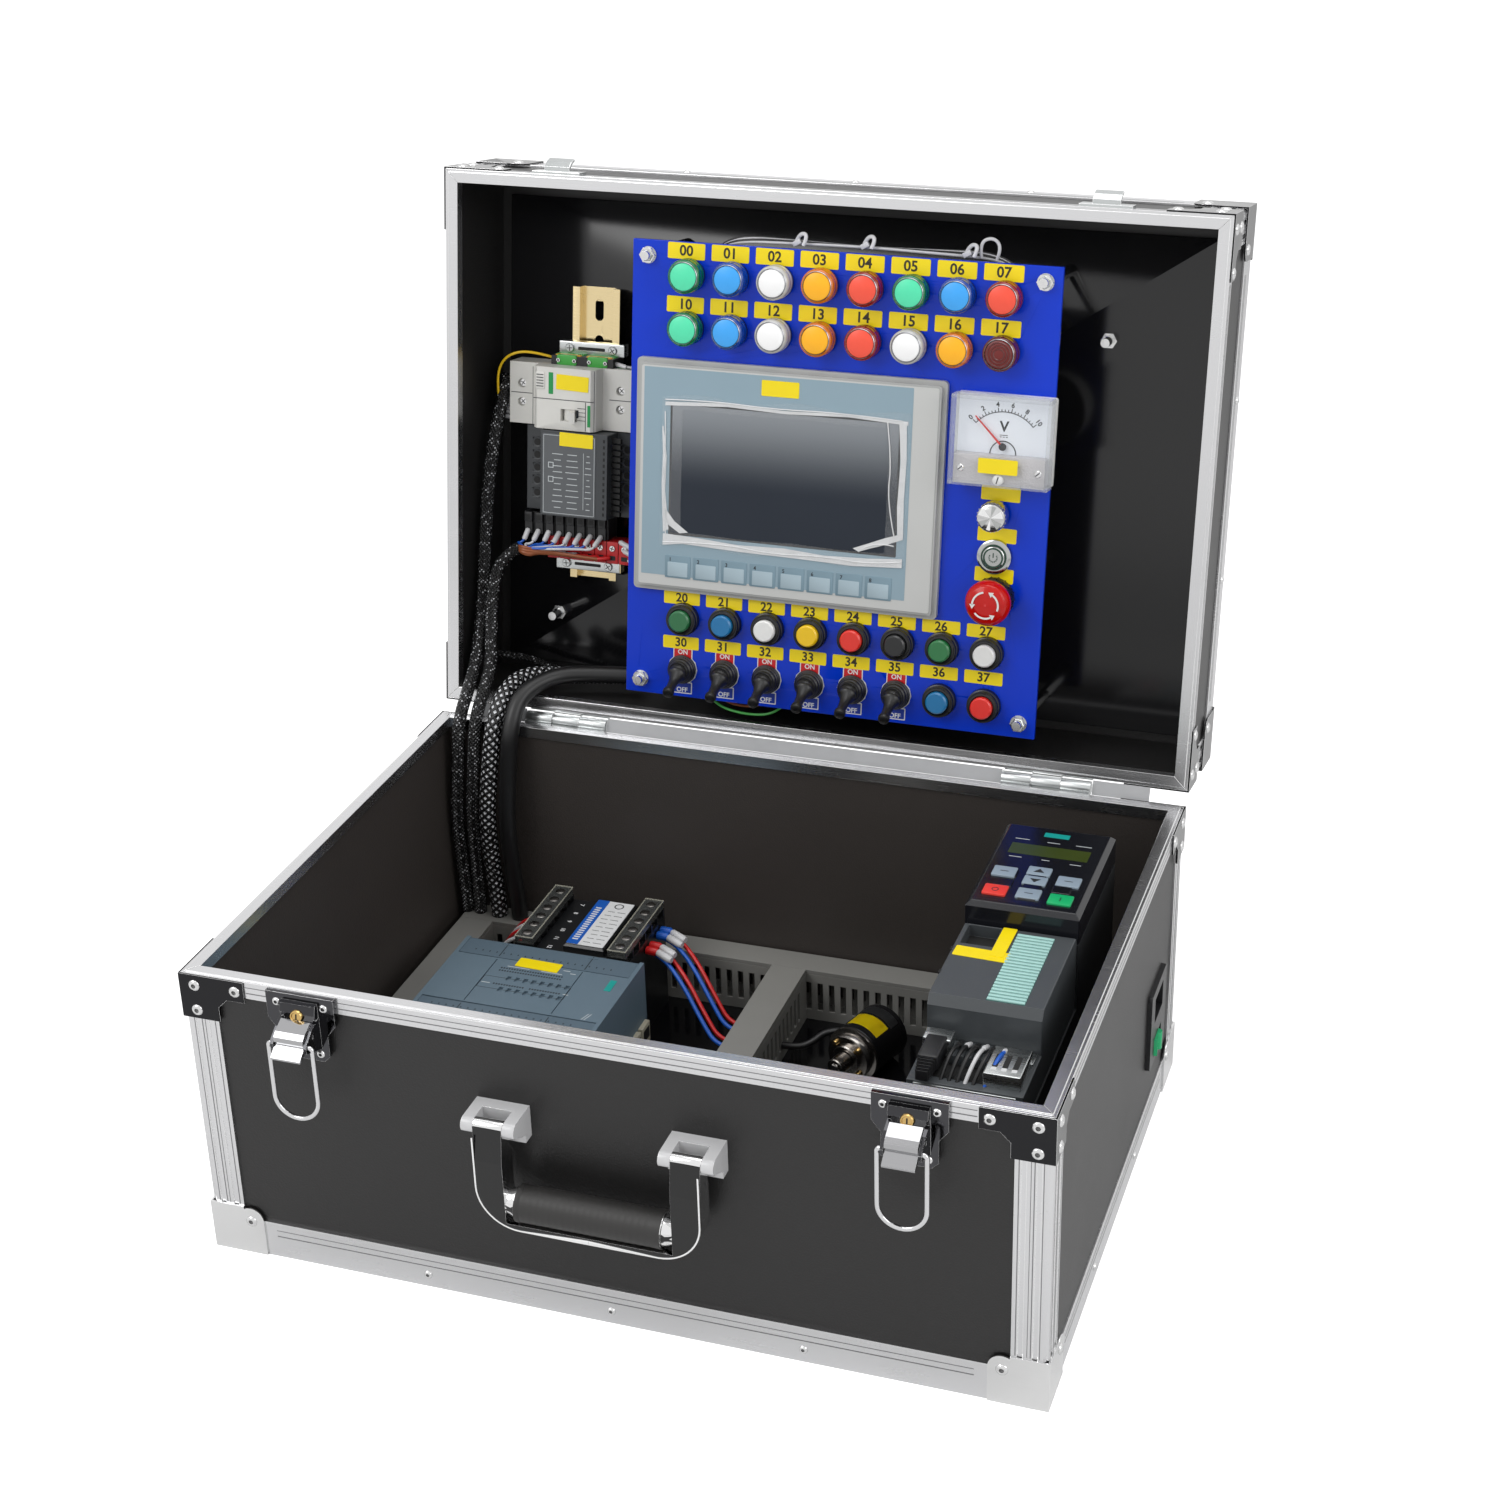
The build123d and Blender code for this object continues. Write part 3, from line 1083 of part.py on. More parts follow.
button_collar = turned([
    (0, POCKET_FLOOR), (COLLAR_BORE, POCKET_FLOOR), (COLLAR_BORE, COLLAR_H), (COLLAR_R, COLLAR_H),
    (COLLAR_R, 0), (LAMP_BODY_R, 0), (LAMP_BODY_R, -HOLDER_DEPTH), (0, -HOLDER_DEPTH),
])
toggle_bush = turned([
    (0, POCKET_FLOOR), (TOGGLE_BORE, POCKET_FLOOR), (TOGGLE_BORE, TOGGLE_NUT_H),
    (TOGGLE_NUT_R, TOGGLE_NUT_H), (TOGGLE_NUT_R, 0), (TOGGLE_BODY_R, 0),
    (TOGGLE_BODY_R, -25), (0, -25),
])
knob_base = turned([
    (KNOB_SHAFT_R + RUN_FIT, 2.5), (KNOB_BUSH_R + 2, 2.5), (KNOB_BUSH_R + 2, 0), (KNOB_BUSH_R, 0),
    (KNOB_BUSH_R, -PANEL_T - FIT), (8.5, -PANEL_T - FIT), (8.5, -18), (0, -18), (0, -11),
    (KNOB_SHAFT_R + RUN_FIT, -11),
])
power_base = turned([
    (0, -2), (COLLAR_BORE, -2), (COLLAR_BORE, POWER_RING_H), (POWER_RING_R, POWER_RING_H),
    (POWER_RING_R, 0), (POWER_BODY_R, 0), (POWER_BODY_R, -30), (0, -30),
])
stop_base = turned([
    (0, POCKET_FLOOR), (STOP_STEM_R + 0.1, POCKET_FLOOR), (STOP_STEM_R + 0.1, STOP_COLLAR_H),
    (STOP_COLLAR_R, STOP_COLLAR_H), (STOP_COLLAR_R, 0), (STOP_BODY_R, 0),
    (STOP_BODY_R, -HOLDER_DEPTH), (0, -HOLDER_DEPTH),
])
with BuildPart() as operator_collars:
    for u, v in BUTTON_PLACES:
        add(on_panel(button_collar, u, v))
    for u, v in TOGGLE_PLACES:
        add(on_panel(toggle_bush, u, v))
    add(on_panel(knob_base, KNOB_U, KNOB_V))
    add(on_panel(power_base, POWER_U, POWER_V))
    add(on_panel(stop_base, STOP_U, STOP_V))
operator_collars.part.label = "operator_collars"
export_step(operator_collars.part, "parts/operator_collars.step")

# Push button caps
cap = turned([(0, CAP_LOW), (CAP_R, CAP_LOW), (CAP_R, CAP_HIGH - 1), (CAP_R - 1, CAP_HIGH), (0, CAP_HIGH)])
for number, (u, v) in enumerate(BUTTON_PLACES, start=1):
    with BuildPart() as push_button:
        add(on_panel(cap, u, v))
    push_button.part.label = f"push_button_{number}"
    export_step(push_button.part, f"parts/push_button_{number}.step")

# Toggle levers under their ribbed rubber boots, tipped down
TOGGLE_DIR = Vector(0, -sin(radians(TOGGLE_TILT)), cos(radians(TOGGLE_TILT)))
for number, (u, v) in enumerate(TOGGLE_PLACES, start=1):
    pivot = in_frame(LID, (u, v, TOGGLE_PIVOT), (1, 0, 0), TOGGLE_DIR)
    section = in_frame(pivot, (0, 0, 0), (1, 0, 0), (0, -1, 0))
    with BuildPart() as toggle_lever:
        with BuildSketch(section):
            with BuildLine():
                Polyline((0, 6), (5.6, 4.6), (6.2, 5.6), (6.2, 6.6), (5.0, 7.4), (5.6, 8.4), (5.6, 9.4),
                         (4.6, 10.2), (5.0, 11.2), (5.0, 12.2), (4.1, 13), (3.6, TOGGLE_LENGTH - 1.5),
                         (2.4, TOGGLE_LENGTH), (0, TOGGLE_LENGTH), close=True)
            make_face()
        revolve(axis=Axis(pivot.origin, pivot.z_dir))
        with Locations(Location(pivot.origin)):
            Sphere(TOGGLE_BALL_R)
    toggle_lever.part.label = f"toggle_lever_{number}"
    export_step(toggle_lever.part, f"parts/toggle_lever_{number}.step")

# Potentiometer knob, metal power button and mushroom stop button
knob = turned([
    (0, -8), (KNOB_SHAFT_R, -8), (KNOB_SHAFT_R, 3), (KNOB_R, 3), (KNOB_R, 13.5), (KNOB_R - 1.2, 15),
    (0, 15),
])
with BuildPart() as analogue_knob:
    add(on_panel(knob, KNOB_U, KNOB_V))
analogue_knob.part.label = "analogue_knob"
export_step(analogue_knob.part, "parts/analogue_knob.step")

with BuildPart() as power_button:
    add(on_panel(turned([(0, 1.2), (POWER_CAP_R, 1.2), (POWER_CAP_R, 5), (POWER_CAP_R - 1, 5.6), (0, 5.6)]),
                 POWER_U, POWER_V))
power_button.part.label = "power_button"
export_step(power_button.part, "parts/power_button.step")

stop_head = turned([
    (0, 5), (STOP_STEM_R, 5), (STOP_STEM_R, 14), (STOP_R - 1, 13.5), (STOP_R, 15), (STOP_R, 18.5),
    (12.5, 22.5), (7.5, 24.5), (0, 25),
])
with BuildPart() as emergency_stop:
    add(on_panel(stop_head, STOP_U, STOP_V))
emergency_stop.part.label = "emergency_stop"
export_step(emergency_stop.part, "parts/emergency_stop.step")

# Operator terminal: stepped bezel, display pane and the housing behind the panel
BEZEL_T = 4.2
TERMINAL_OUT = 7.0
SCREEN_U, SCREEN_V = TERMINAL_U - 1.5, TERMINAL_V + 6
SCREEN_W, SCREEN_H = 158.0, 88.0
SCREEN_DEPTH = 1.6

with BuildPart() as operator_terminal:
    with BuildSketch(LID):
        with Locations((TERMINAL_U, TERMINAL_V)):
            RectangleRounded(TERMINAL_W, TERMINAL_H, 3)
    extrude(amount=BEZEL_T)
    with BuildSketch(LID.offset(BEZEL_T)):
        with Locations((TERMINAL_U, TERMINAL_V)):
            RectangleRounded(TERMINAL_W - 6, TERMINAL_H - 6, 2)
    extrude(amount=TERMINAL_OUT - BEZEL_T)
    with BuildSketch(LID):
        with Locations((TERMINAL_U, TERMINAL_V)):
            Rectangle(TERMINAL_BODY_W, TERMINAL_BODY_H)
    extrude(amount=-TERMINAL_BODY_DEPTH)
    with BuildSketch(LID.offset(TERMINAL_OUT)):
        with Locations((SCREEN_U, SCREEN_V)):
            Rectangle(SCREEN_W, SCREEN_H)
    extrude(amount=-SCREEN_DEPTH, mode=Mode.SUBTRACT)
    with BuildSketch(LID.offset(TERMINAL_OUT - SCREEN_DEPTH + FIT)):
        with Locations((SCREEN_U, SCREEN_V)):
            Rectangle(SCREEN_W - 2 * FIT, SCREEN_H - 2 * FIT)
    extrude(amount=SCREEN_DEPTH - 2 * FIT)
operator_terminal.part.label = "operator_terminal"
export_step(operator_terminal.part, "parts/operator_terminal.step")

# Panel voltmeter: case with a dial chamber behind a window, and its needle
METER_W, METER_H = 66.0, 58.5
METER_OUT = 20.0
WINDOW_T = 1.8
METER_WALL = 2.5
DIAL_N = 8.0
DIAL_LOW = METER_V - 9.0
DIAL_HIGH = METER_V + METER_H / 2 - METER_WALL
NEEDLE_V = METER_V - 4.0
NEEDLE_L = 27.0
NEEDLE_REST = 45.0
DIAL_H = DIAL_HIGH - DIAL_LOW

with BuildPart() as panel_meter:
    with BuildSketch(LID):
        with Locations((METER_U, METER_V)):
            Rectangle(METER_W, METER_H)
    extrude(amount=METER_OUT)
    with BuildSketch(LID):
        with Locations((METER_U, METER_V)):
            Circle(METER_BODY_R)
    extrude(amount=-30)
    with BuildSketch(LID.offset(DIAL_N)):
        with Locations((METER_U, DIAL_LOW + DIAL_H / 2)):
            Rectangle(METER_W - 2 * METER_WALL, DIAL_H)
    extrude(amount=METER_OUT, mode=Mode.SUBTRACT)
    with BuildSketch(LID.offset(DIAL_N)):
        with Locations((METER_U, NEEDLE_V)):
            Circle(1 + RUN_FIT)
    extrude(amount=-4, mode=Mode.SUBTRACT)
    with BuildSketch(LID.offset(METER_OUT - WINDOW_T)):
        with Locations((METER_U, DIAL_LOW + DIAL_H / 2)):
            Rectangle(METER_W - 2 * METER_WALL - 2 * FIT, DIAL_H - 2 * FIT)
    extrude(amount=WINDOW_T - FIT)
panel_meter.part.label = "panel_meter"
export_step(panel_meter.part, "parts/panel_meter.step")

NEEDLE_PLANE = in_frame(LID, (METER_U, NEEDLE_V, 0), (1, 0, 0), (0, 0, 1))
with BuildPart() as meter_needle:
    with BuildSketch(NEEDLE_PLANE.offset(DIAL_N + 2)):
        Circle(2.5)
        with Locations(Location((0, 0), NEEDLE_REST)):
            with BuildLine():
                Polyline((-0.7, 0), (0.7, 0), (0.3, NEEDLE_L), (-0.3, NEEDLE_L), close=True)
            make_face()
    extrude(amount=0.8)
    with BuildSketch(NEEDLE_PLANE.offset(DIAL_N - 3.5)):
        Circle(1)
    extrude(amount=6)
meter_needle.part.label = "meter_needle"
export_step(meter_needle.part, "parts/meter_needle.step")

# Slotted mounting rail with its two end clamps
RAIL_U = BACKBOARD_LEFT + 70
RAIL_W = 35.0
RAIL_LOW = 82.0
RAIL_HIGH = 289.0
RAIL_T = 1.2
RAIL_DEPTH = 7.5
RAIL_FLANGE = 4.0
RAIL_LIFT = 5.0
CLAMP_VS = (94.0, 247.5)
RAIL_FRONT = BACKBOARD_W - RAIL_LIFT - RAIL_DEPTH
RAIL_END = in_frame(LID, (RAIL_U, RAIL_LOW, 0), (1, 0, 0), (0, -1, 0))

with BuildPart() as din_rail:
    with BuildSketch(RAIL_END):
        with BuildLine():
            half = RAIL_W / 2
            neck = half - RAIL_FLANGE
            Polyline(
                (-half, -RAIL_FRONT), (-neck + RAIL_T, -RAIL_FRONT),
                (-neck + RAIL_T, -RAIL_FRONT - RAIL_DEPTH + RAIL_T),
                (neck - RAIL_T, -RAIL_FRONT - RAIL_DEPTH + RAIL_T), (neck - RAIL_T, -RAIL_FRONT),
                (half, -RAIL_FRONT), (half, -RAIL_FRONT - RAIL_T), (neck, -RAIL_FRONT - RAIL_T),
                (neck, -RAIL_FRONT - RAIL_DEPTH), (-neck, -RAIL_FRONT - RAIL_DEPTH),
                (-neck, -RAIL_FRONT - RAIL_T), (-half, -RAIL_FRONT - RAIL_T),
                close=True,
            )
        make_face()
    extrude(amount=-(RAIL_HIGH - RAIL_LOW))
    with BuildSketch(LID.offset(-RAIL_FRONT - RAIL_DEPTH)):
        with Locations((RAIL_U, (RAIL_LOW + RAIL_HIGH) / 2)):
            with GridLocations(0, 25, 1, 8):
                SlotOverall(15, 6.2, rotation=90)
    extrude(amount=RAIL_DEPTH, mode=Mode.SUBTRACT)
    with BuildSketch(LID.offset(-BACKBOARD_W)):
        with Locations((RAIL_U, RAIL_LOW + 6), (RAIL_U, RAIL_HIGH - 6)):
            Rectangle(12, 8)
    extrude(amount=RAIL_LIFT)
    with BuildSketch(LID.offset(-RAIL_FRONT + FIT)):
        with Locations(*[(RAIL_U, v) for v in CLAMP_VS]):
            Rectangle(48, 8)
    extrude(amount=7)
din_rail.part.label = "din_rail"
export_step(din_rail.part, "parts/din_rail.step")

# Two-pole breaker on the rail, its long side across the rail, and its lever
BREAKER_U, BREAKER_V = RAIL_U - 10, 215.5
BREAKER_W, BREAKER_H = 92.0, 43.0
BREAKER_OUT = 30.0
BREAKER_SHOULDER = 43.0
BREAKER_NOSE_W = 46.0
LEVER_U = BREAKER_U + 4
LEVER_V = BREAKER_V - 11.0
LEVER_W = 8.0
LEVER_AXIS_N = -37.0
LEVER_BARREL_R = 6.0
LEVER_TILT = 20.0

with BuildPart() as breaker_body:
    with BuildSketch(in_frame(LID, (BREAKER_U, BREAKER_V - BREAKER_H / 2, 0), (1, 0, 0), (0, -1, 0))):
        with BuildLine():
            half, nose = BREAKER_W / 2, BREAKER_NOSE_W / 2
            Polyline(
                (-half, -RAIL_FRONT), (-half, -BREAKER_SHOULDER), (-nose - 1, -BREAKER_SHOULDER),
                (-nose, -BREAKER_OUT - 3), (-nose + 3, -BREAKER_OUT), (nose - 3, -BREAKER_OUT),
                (nose, -BREAKER_OUT - 3), (nose + 1, -BREAKER_SHOULDER), (half, -BREAKER_SHOULDER),
                (half, -RAIL_FRONT),
                close=True,
            )
        make_face()
    extrude(amount=-BREAKER_H)
    with BuildSketch(LID.offset(-BREAKER_OUT)):
        with Locations((LEVER_U, LEVER_V)):
            Rectangle(2 * (LEVER_BARREL_R + FIT), LEVER_W + 0.4)
    extrude(amount=BREAKER_OUT + LEVER_AXIS_N - LEVER_BARREL_R - FIT, mode=Mode.SUBTRACT)
    with BuildSketch(LID.offset(-BREAKER_SHOULDER)):
        for end in (-1, 1):
            with Locations((BREAKER_U + end * (BREAKER_W / 2 - 9), BREAKER_V)):
                with GridLocations(0, 13, 1, 2):
                    Circle(3.2)
    extrude(amount=-6, mode=Mode.SUBTRACT)
breaker_body.part.label = "breaker_body"
export_step(breaker_body.part, "parts/breaker_body.step")

BREAKER_PIVOT = in_frame(LID, (LEVER_U, LEVER_V + LEVER_W / 2, LEVER_AXIS_N), (1, 0, 0), (0, 1, 0))
with BuildPart() as breaker_lever:
    with BuildSketch(BREAKER_PIVOT):
        Circle(LEVER_BARREL_R)
        with Locations(Location((0, 0), LEVER_TILT)):
            with Locations((0, -8)):
                Rectangle(4, 16)
    extrude(amount=-LEVER_W)
breaker_lever.part.label = "breaker_lever"
export_step(breaker_lever.part, "parts/breaker_lever.step")

# Power supply under the breaker
SUPPLY_U, SUPPLY_V = RAIL_U - 2, 163.0
SUPPLY_W, SUPPLY_H = 84.0, 60.0
SUPPLY_NOSE_W = 50.0
with BuildPart() as power_supply:
    with BuildSketch(in_frame(LID, (SUPPLY_U, SUPPLY_V - SUPPLY_H / 2, 0), (1, 0, 0), (0, -1, 0))):
        with BuildLine():
            half, nose = SUPPLY_W / 2, SUPPLY_NOSE_W / 2
            Polyline(
                (-half, -RAIL_FRONT), (-half, -46), (-nose - 2, -46), (-nose, -30), (nose, -30),
                (nose + 2, -46), (half, -46), (half, -RAIL_FRONT),
                close=True,
            )
        make_face()
    extrude(amount=-SUPPLY_H)
    with BuildSketch(LID.offset(-46)):
        for end in (-1, 1):
            with Locations((SUPPLY_U + end * (SUPPLY_W / 2 - 8), SUPPLY_V)):
                with GridLocations(0, 9, 1, 5):
                    Rectangle(7, 6)
    extrude(amount=-5, mode=Mode.SUBTRACT)
power_supply.part.label = "power_supply"
export_step(power_supply.part, "parts/power_supply.step")

# Terminal blocks on the rail: ground terminal above the breaker, black and red rows below
with BuildPart() as terminal_blocks:
    with BuildSketch(LID.offset(-RAIL_FRONT)):
        with Locations((RAIL_U - 2, 240.3)):
            Rectangle(46, 6)
    extrude(amount=20)
    with BuildSketch(LID.offset(-RAIL_FRONT)):
        with Locations((RAIL_U - 14, 123)):
            Rectangle(64, 15)
    extrude(amount=16)
    with BuildSketch(LID.offset(-RAIL_FRONT + 16)):
        with Locations((RAIL_U - 14, 123)):
            with GridLocations(8, 0, 8, 1):
                Rectangle(5.5, 15)
    extrude(amount=3)
    with BuildSketch(LID.offset(-RAIL_FRONT)):
        with Locations((RAIL_U + 4, 107)):
            Rectangle(62, 15)
    extrude(amount=18)
    with BuildSketch(LID.offset(-RAIL_FRONT + 12)):
        with Locations((RAIL_U + 4, 107)):
            with GridLocations(9, 0, 6, 1):
                Circle(2.8)
    extrude(amount=8, mode=Mode.SUBTRACT)
terminal_blocks.part.label = "terminal_blocks"
export_step(terminal_blocks.part, "parts/terminal_blocks.step")


# Cords: straight runs joined by tangent arcs, each arc as large as its two runs allow
def cord(points, diameter):
    corners = [Vector(*p) for p in points]
    radii = []
    for a, b, c in zip(corners, corners[1:], corners[2:]):
        turn = radians((b - a).get_angle(c - b))
        radii.append(0.45 * min((b - a).length, (c - b).length) / tan(turn / 2))
    with BuildPart() as tube:
        with BuildLine() as route:
            FilletPolyline(*corners, radius=radii)
        with BuildSketch(Plane(origin=corners[0], z_dir=corners[1] - corners[0])):
            Circle(diameter / 2)
        sweep()
    section = pi * diameter ** 2 / 4
    length = sum(edge.length for edge in route.edges())
    print(f"cord {diameter} mm: {length:.0f} mm long, radii {min(radii):.0f} to {max(radii):.0f} mm, "
          f"volume ratio {tube.part.volume / (section * length):.4f}")
    return tube.part


def lid_point(u, v, w):
    """A point of the lid from the board's left edge, the hinge side and down from the rim."""
    return tuple(LID.from_local_coords(Vector(BACKBOARD_LEFT + u, v, -w)))


def base_point(x, y, z):
    """A point of the base from the back duct's left end and the case's back."""
    return (BACK_DUCT_LEFT + x, CASE_D / 2 + y, z)


SLEEVE_D = 9.0
MAIN_LOOM_D = 12.0
THIN_LOOM_D = 5.0
LEAD_D = 3.0

# Braided looms from the rail and from behind the panel, over the hinge into the base
LOOM_END = DECK_Z + DUCT_H + 0.3
with BuildPart() as wiring_harness:
    add(cord([
        lid_point(8.8, 226, 52), lid_point(7, 206, 44), lid_point(3, 172, 36),
        lid_point(1, 132, 32), lid_point(0, 92, 30), lid_point(1, 54, 24),
        lid_point(3, 24, 9), base_point(5, 1, 217.5), base_point(5, -16, 204),
        base_point(3, -18, 178), base_point(0, -22, 136), base_point(0, -20, 92),
        base_point(1, -19, 64), base_point(1, -19, LOOM_END),
    ], SLEEVE_D))
    add(cord([
        lid_point(24, 106, 38), lid_point(14, 100, 32), lid_point(10, 80, 22),
        lid_point(11, 50, 18), lid_point(15, 24, 9), base_point(17, 1, 217.5),
        base_point(17, -16, 204), base_point(15, -18, 176), base_point(12, -23, 134),
        base_point(11, -20, 92), base_point(11, -19, 64), base_point(11, -19, LOOM_END),
    ], SLEEVE_D))
    add(cord([
        lid_point(116, 18, 50), lid_point(86, 17.5, 43), lid_point(58, 18, 28),
        lid_point(40, 21, 10), base_point(34, -1.5, 221), base_point(32, -18, 204),
        base_point(29, -21, 176), base_point(25, -26, 134), base_point(25, -22, 92),
        base_point(26, -19, 64), base_point(26, -19, LOOM_END),
    ], MAIN_LOOM_D))
    add(cord([
        lid_point(117, 24, 30), lid_point(86, 24, 22), lid_point(63, 23, 10),
        base_point(47, -1, 222), base_point(45, -18, 204), base_point(43, -21, 176),
        base_point(40, -25, 134), base_point(40, -22, 92), base_point(42, -19, 64),
        base_point(42, -19, LOOM_END),
    ], MAIN_LOOM_D))
    add(cord([
        lid_point(-4.6, 20, 58), lid_point(21, 20, 60), lid_point(44, 13, 58),
        lid_point(68, 10.4, 57),
    ], THIN_LOOM_D))
wiring_harness.part.label = "wiring_harness"
export_step(wiring_harness.part, "parts/wiring_harness.step")

# Leads inside the base: isolator to middle duct, controller, encoder and inverter leads
DUCT_LEFT_FACE = MIDDLE_DUCT_X - MIDDLE_DUCT_W / 2
DUCT_RIGHT_FACE = MIDDLE_DUCT_X + MIDDLE_DUCT_W / 2
STRIP_FACE = ISOLATOR_X + ISOLATOR_W / 2 + STRIP_W + FIT
PLC_FACE = PLC_LEFT + PLC_W
PLUG_Y = DRIVE_FRONT - 6.3
PLUG_X = DRIVE_X - 27
with BuildPart() as base_leads:
    for i, y in enumerate((140, 133, 119, 112)):
        add(cord([
            (STRIP_FACE + 0.3, y, 72), (STRIP_FACE + 10, y, 72),
            (STRIP_FACE + 30, y - 14, 66 - i), (STRIP_FACE + 52, y - 32, 46 - i),
            (DUCT_LEFT_FACE - 12, y - 40, 32), (DUCT_LEFT_FACE - 0.3, y - 40, 32),
        ], LEAD_D))
    for i, y in enumerate((26, 14, 2, -10)):
        add(cord([
            (PLC_FACE + 0.3, y, 40), (PLC_FACE + 10, y, 40), (PLC_FACE + 30, y - 12, 30 - i),
            (DUCT_LEFT_FACE - 14, y - 20, 24), (DUCT_LEFT_FACE - 0.3, y - 20, 24),
        ], LEAD_D + 1))
    add(cord([
        (ENCODER_X - 20.3, ENCODER_Y + 6.5, 29), (ENCODER_X - 32, ENCODER_Y + 6, 28),
        (ENCODER_X - 40, ENCODER_Y - 8, 24), (DUCT_RIGHT_FACE + 10, ENCODER_Y - 12, 22),
        (DUCT_RIGHT_FACE + 0.3, ENCODER_Y - 12, 22),
    ], 5.0))
    for i, x in enumerate(DRIVE_X + step for step in (-15, -9, -3, 5, 12)):
        add(cord([
            (x, DRIVE_FRONT - 0.3, 166 - i), (x, DRIVE_FRONT - 10, 164 - i),
            (x - 2, DRIVE_FRONT - 15, 136), (x - 6, DRIVE_FRONT - 17, 92),
            (x - 8, DRIVE_FRONT - 14, 52), (x - 8, DRIVE_FRONT - 10, DECK_Z + 0.3),
        ], LEAD_D))
    with BuildSketch(Plane.XY.offset(158)):
        with Locations((PLUG_X, PLUG_Y)):
            RectangleRounded(13, 12, 2)
    extrude(amount=24)
    with BuildSketch(Plane.XY.offset(158)):
        with Locations((PLUG_X, PLUG_Y)):
            Circle(5)
    extrude(amount=-16, taper=6)
    add(cord([
        (PLUG_X, PLUG_Y, 143), (PLUG_X, PLUG_Y, 128), (PLUG_X - 4, PLUG_Y - 5, 96),
        (PLUG_X - 6, PLUG_Y - 6, 58), (PLUG_X - 4, PLUG_Y - 2, 30),
        (PLUG_X - 4, PLUG_Y, DECK_Z + 0.3),
    ], 6.0))
base_leads.part.label = "base_leads"
export_step(base_leads.part, "parts/base_leads.step")
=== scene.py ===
from math import cos, pi, radians, sin

import bmesh
import bpy
from mathutils import Matrix, Vector


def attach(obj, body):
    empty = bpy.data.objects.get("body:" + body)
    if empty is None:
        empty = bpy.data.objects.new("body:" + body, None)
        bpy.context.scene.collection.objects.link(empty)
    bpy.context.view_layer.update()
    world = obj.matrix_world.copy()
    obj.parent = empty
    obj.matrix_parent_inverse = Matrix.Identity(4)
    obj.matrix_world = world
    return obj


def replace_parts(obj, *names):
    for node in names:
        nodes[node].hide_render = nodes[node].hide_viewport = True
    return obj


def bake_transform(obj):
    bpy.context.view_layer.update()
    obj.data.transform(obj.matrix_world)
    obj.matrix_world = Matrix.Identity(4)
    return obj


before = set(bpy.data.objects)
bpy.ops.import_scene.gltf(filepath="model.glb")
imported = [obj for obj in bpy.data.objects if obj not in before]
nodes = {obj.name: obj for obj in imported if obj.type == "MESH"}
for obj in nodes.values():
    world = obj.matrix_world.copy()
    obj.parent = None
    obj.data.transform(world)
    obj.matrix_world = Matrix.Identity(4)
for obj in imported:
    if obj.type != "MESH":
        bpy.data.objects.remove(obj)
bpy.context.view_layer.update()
scene = bpy.context.scene

# Camera
# The photograph was taken from the front and a little right of the middle, looking down
# into the base, with a lens a little longer than normal.
camera_data = bpy.data.cameras.new("photo_camera")
camera_data.lens = 62.96
camera_data.sensor_width = 36
camera_turn, camera_rise, camera_roll = radians(19.686), radians(26.485), radians(-1.733)
towards = Vector((
    sin(camera_turn) * cos(camera_rise), -cos(camera_turn) * cos(camera_rise), sin(camera_rise),
))
level = Vector((0, 0, 1)).cross(towards).normalized()
upright = towards.cross(level)
camera_frame = Matrix((
    level * cos(camera_roll) + upright * sin(camera_roll),
    upright * cos(camera_roll) - level * sin(camera_roll),
    towards,
)).transposed().to_4x4()
camera_frame.translation = (0.50828, -1.3309, 1.00219)
camera = bpy.data.objects.new("photo_camera", camera_data)
camera.matrix_world = camera_frame
scene.collection.objects.link(camera)
scene.camera = camera
scene.view_settings.view_transform = "Standard"

# Studio
# A white sweep under large softboxes: the floor and the background are white to the
# camera and in reflections, and the object is lit at a plain level.

def wired(tree, kind, operation=None, inputs=(), **settings):
    """A node in a tree: inputs are (socket, value or output) pairs."""
    node = tree.nodes.new(kind)
    if operation:
        node.operation = operation
    for key, value in settings.items():
        setattr(node, key, value)
    for socket, value in inputs:
        if isinstance(value, bpy.types.NodeSocket):
            tree.links.new(value, node.inputs[socket])
        else:
            node.inputs[socket].default_value = value
    return node


def calculated(tree, operation, *values):
    """The output of a math node for values or outputs."""
    return wired(tree, "ShaderNodeMath", operation, list(enumerate(values))).outputs[0]


AMBIENT_LIGHT, SWEEP_WHITE, SWEEP_GLOW = 0.55, 0.93, 0.62
world = bpy.data.worlds.new("studio")
scene.world = world
world.use_nodes = True
tree = world.node_tree
tree.nodes.clear()
ray = wired(tree, "ShaderNodeLightPath")
direct = calculated(tree, "MAXIMUM", ray.outputs["Is Camera Ray"], ray.outputs["Is Transmission Ray"])
sharp = calculated(tree, "MAXIMUM", direct, ray.outputs["Is Glossy Ray"])
ambient = wired(tree, "ShaderNodeBackground", None, [("Color", (1, 1, 1, 1)), ("Strength", AMBIENT_LIGHT)])
backdrop = wired(tree, "ShaderNodeBackground", None, [("Color", (1, 1, 1, 1)), ("Strength", 1.0)])
choose = wired(tree, "ShaderNodeMixShader", None, [
    (0, sharp), (1, ambient.outputs[0]), (2, backdrop.outputs[0]),
])
wired(tree, "ShaderNodeOutputWorld", None, [("Surface", choose.outputs[0])])


def new_shader(name):
    """A new material, with its node tree and its shader."""
    material = bpy.data.materials.new(name)
    material.use_nodes = True
    return material, material.node_tree, material.node_tree.nodes["Principled BSDF"]


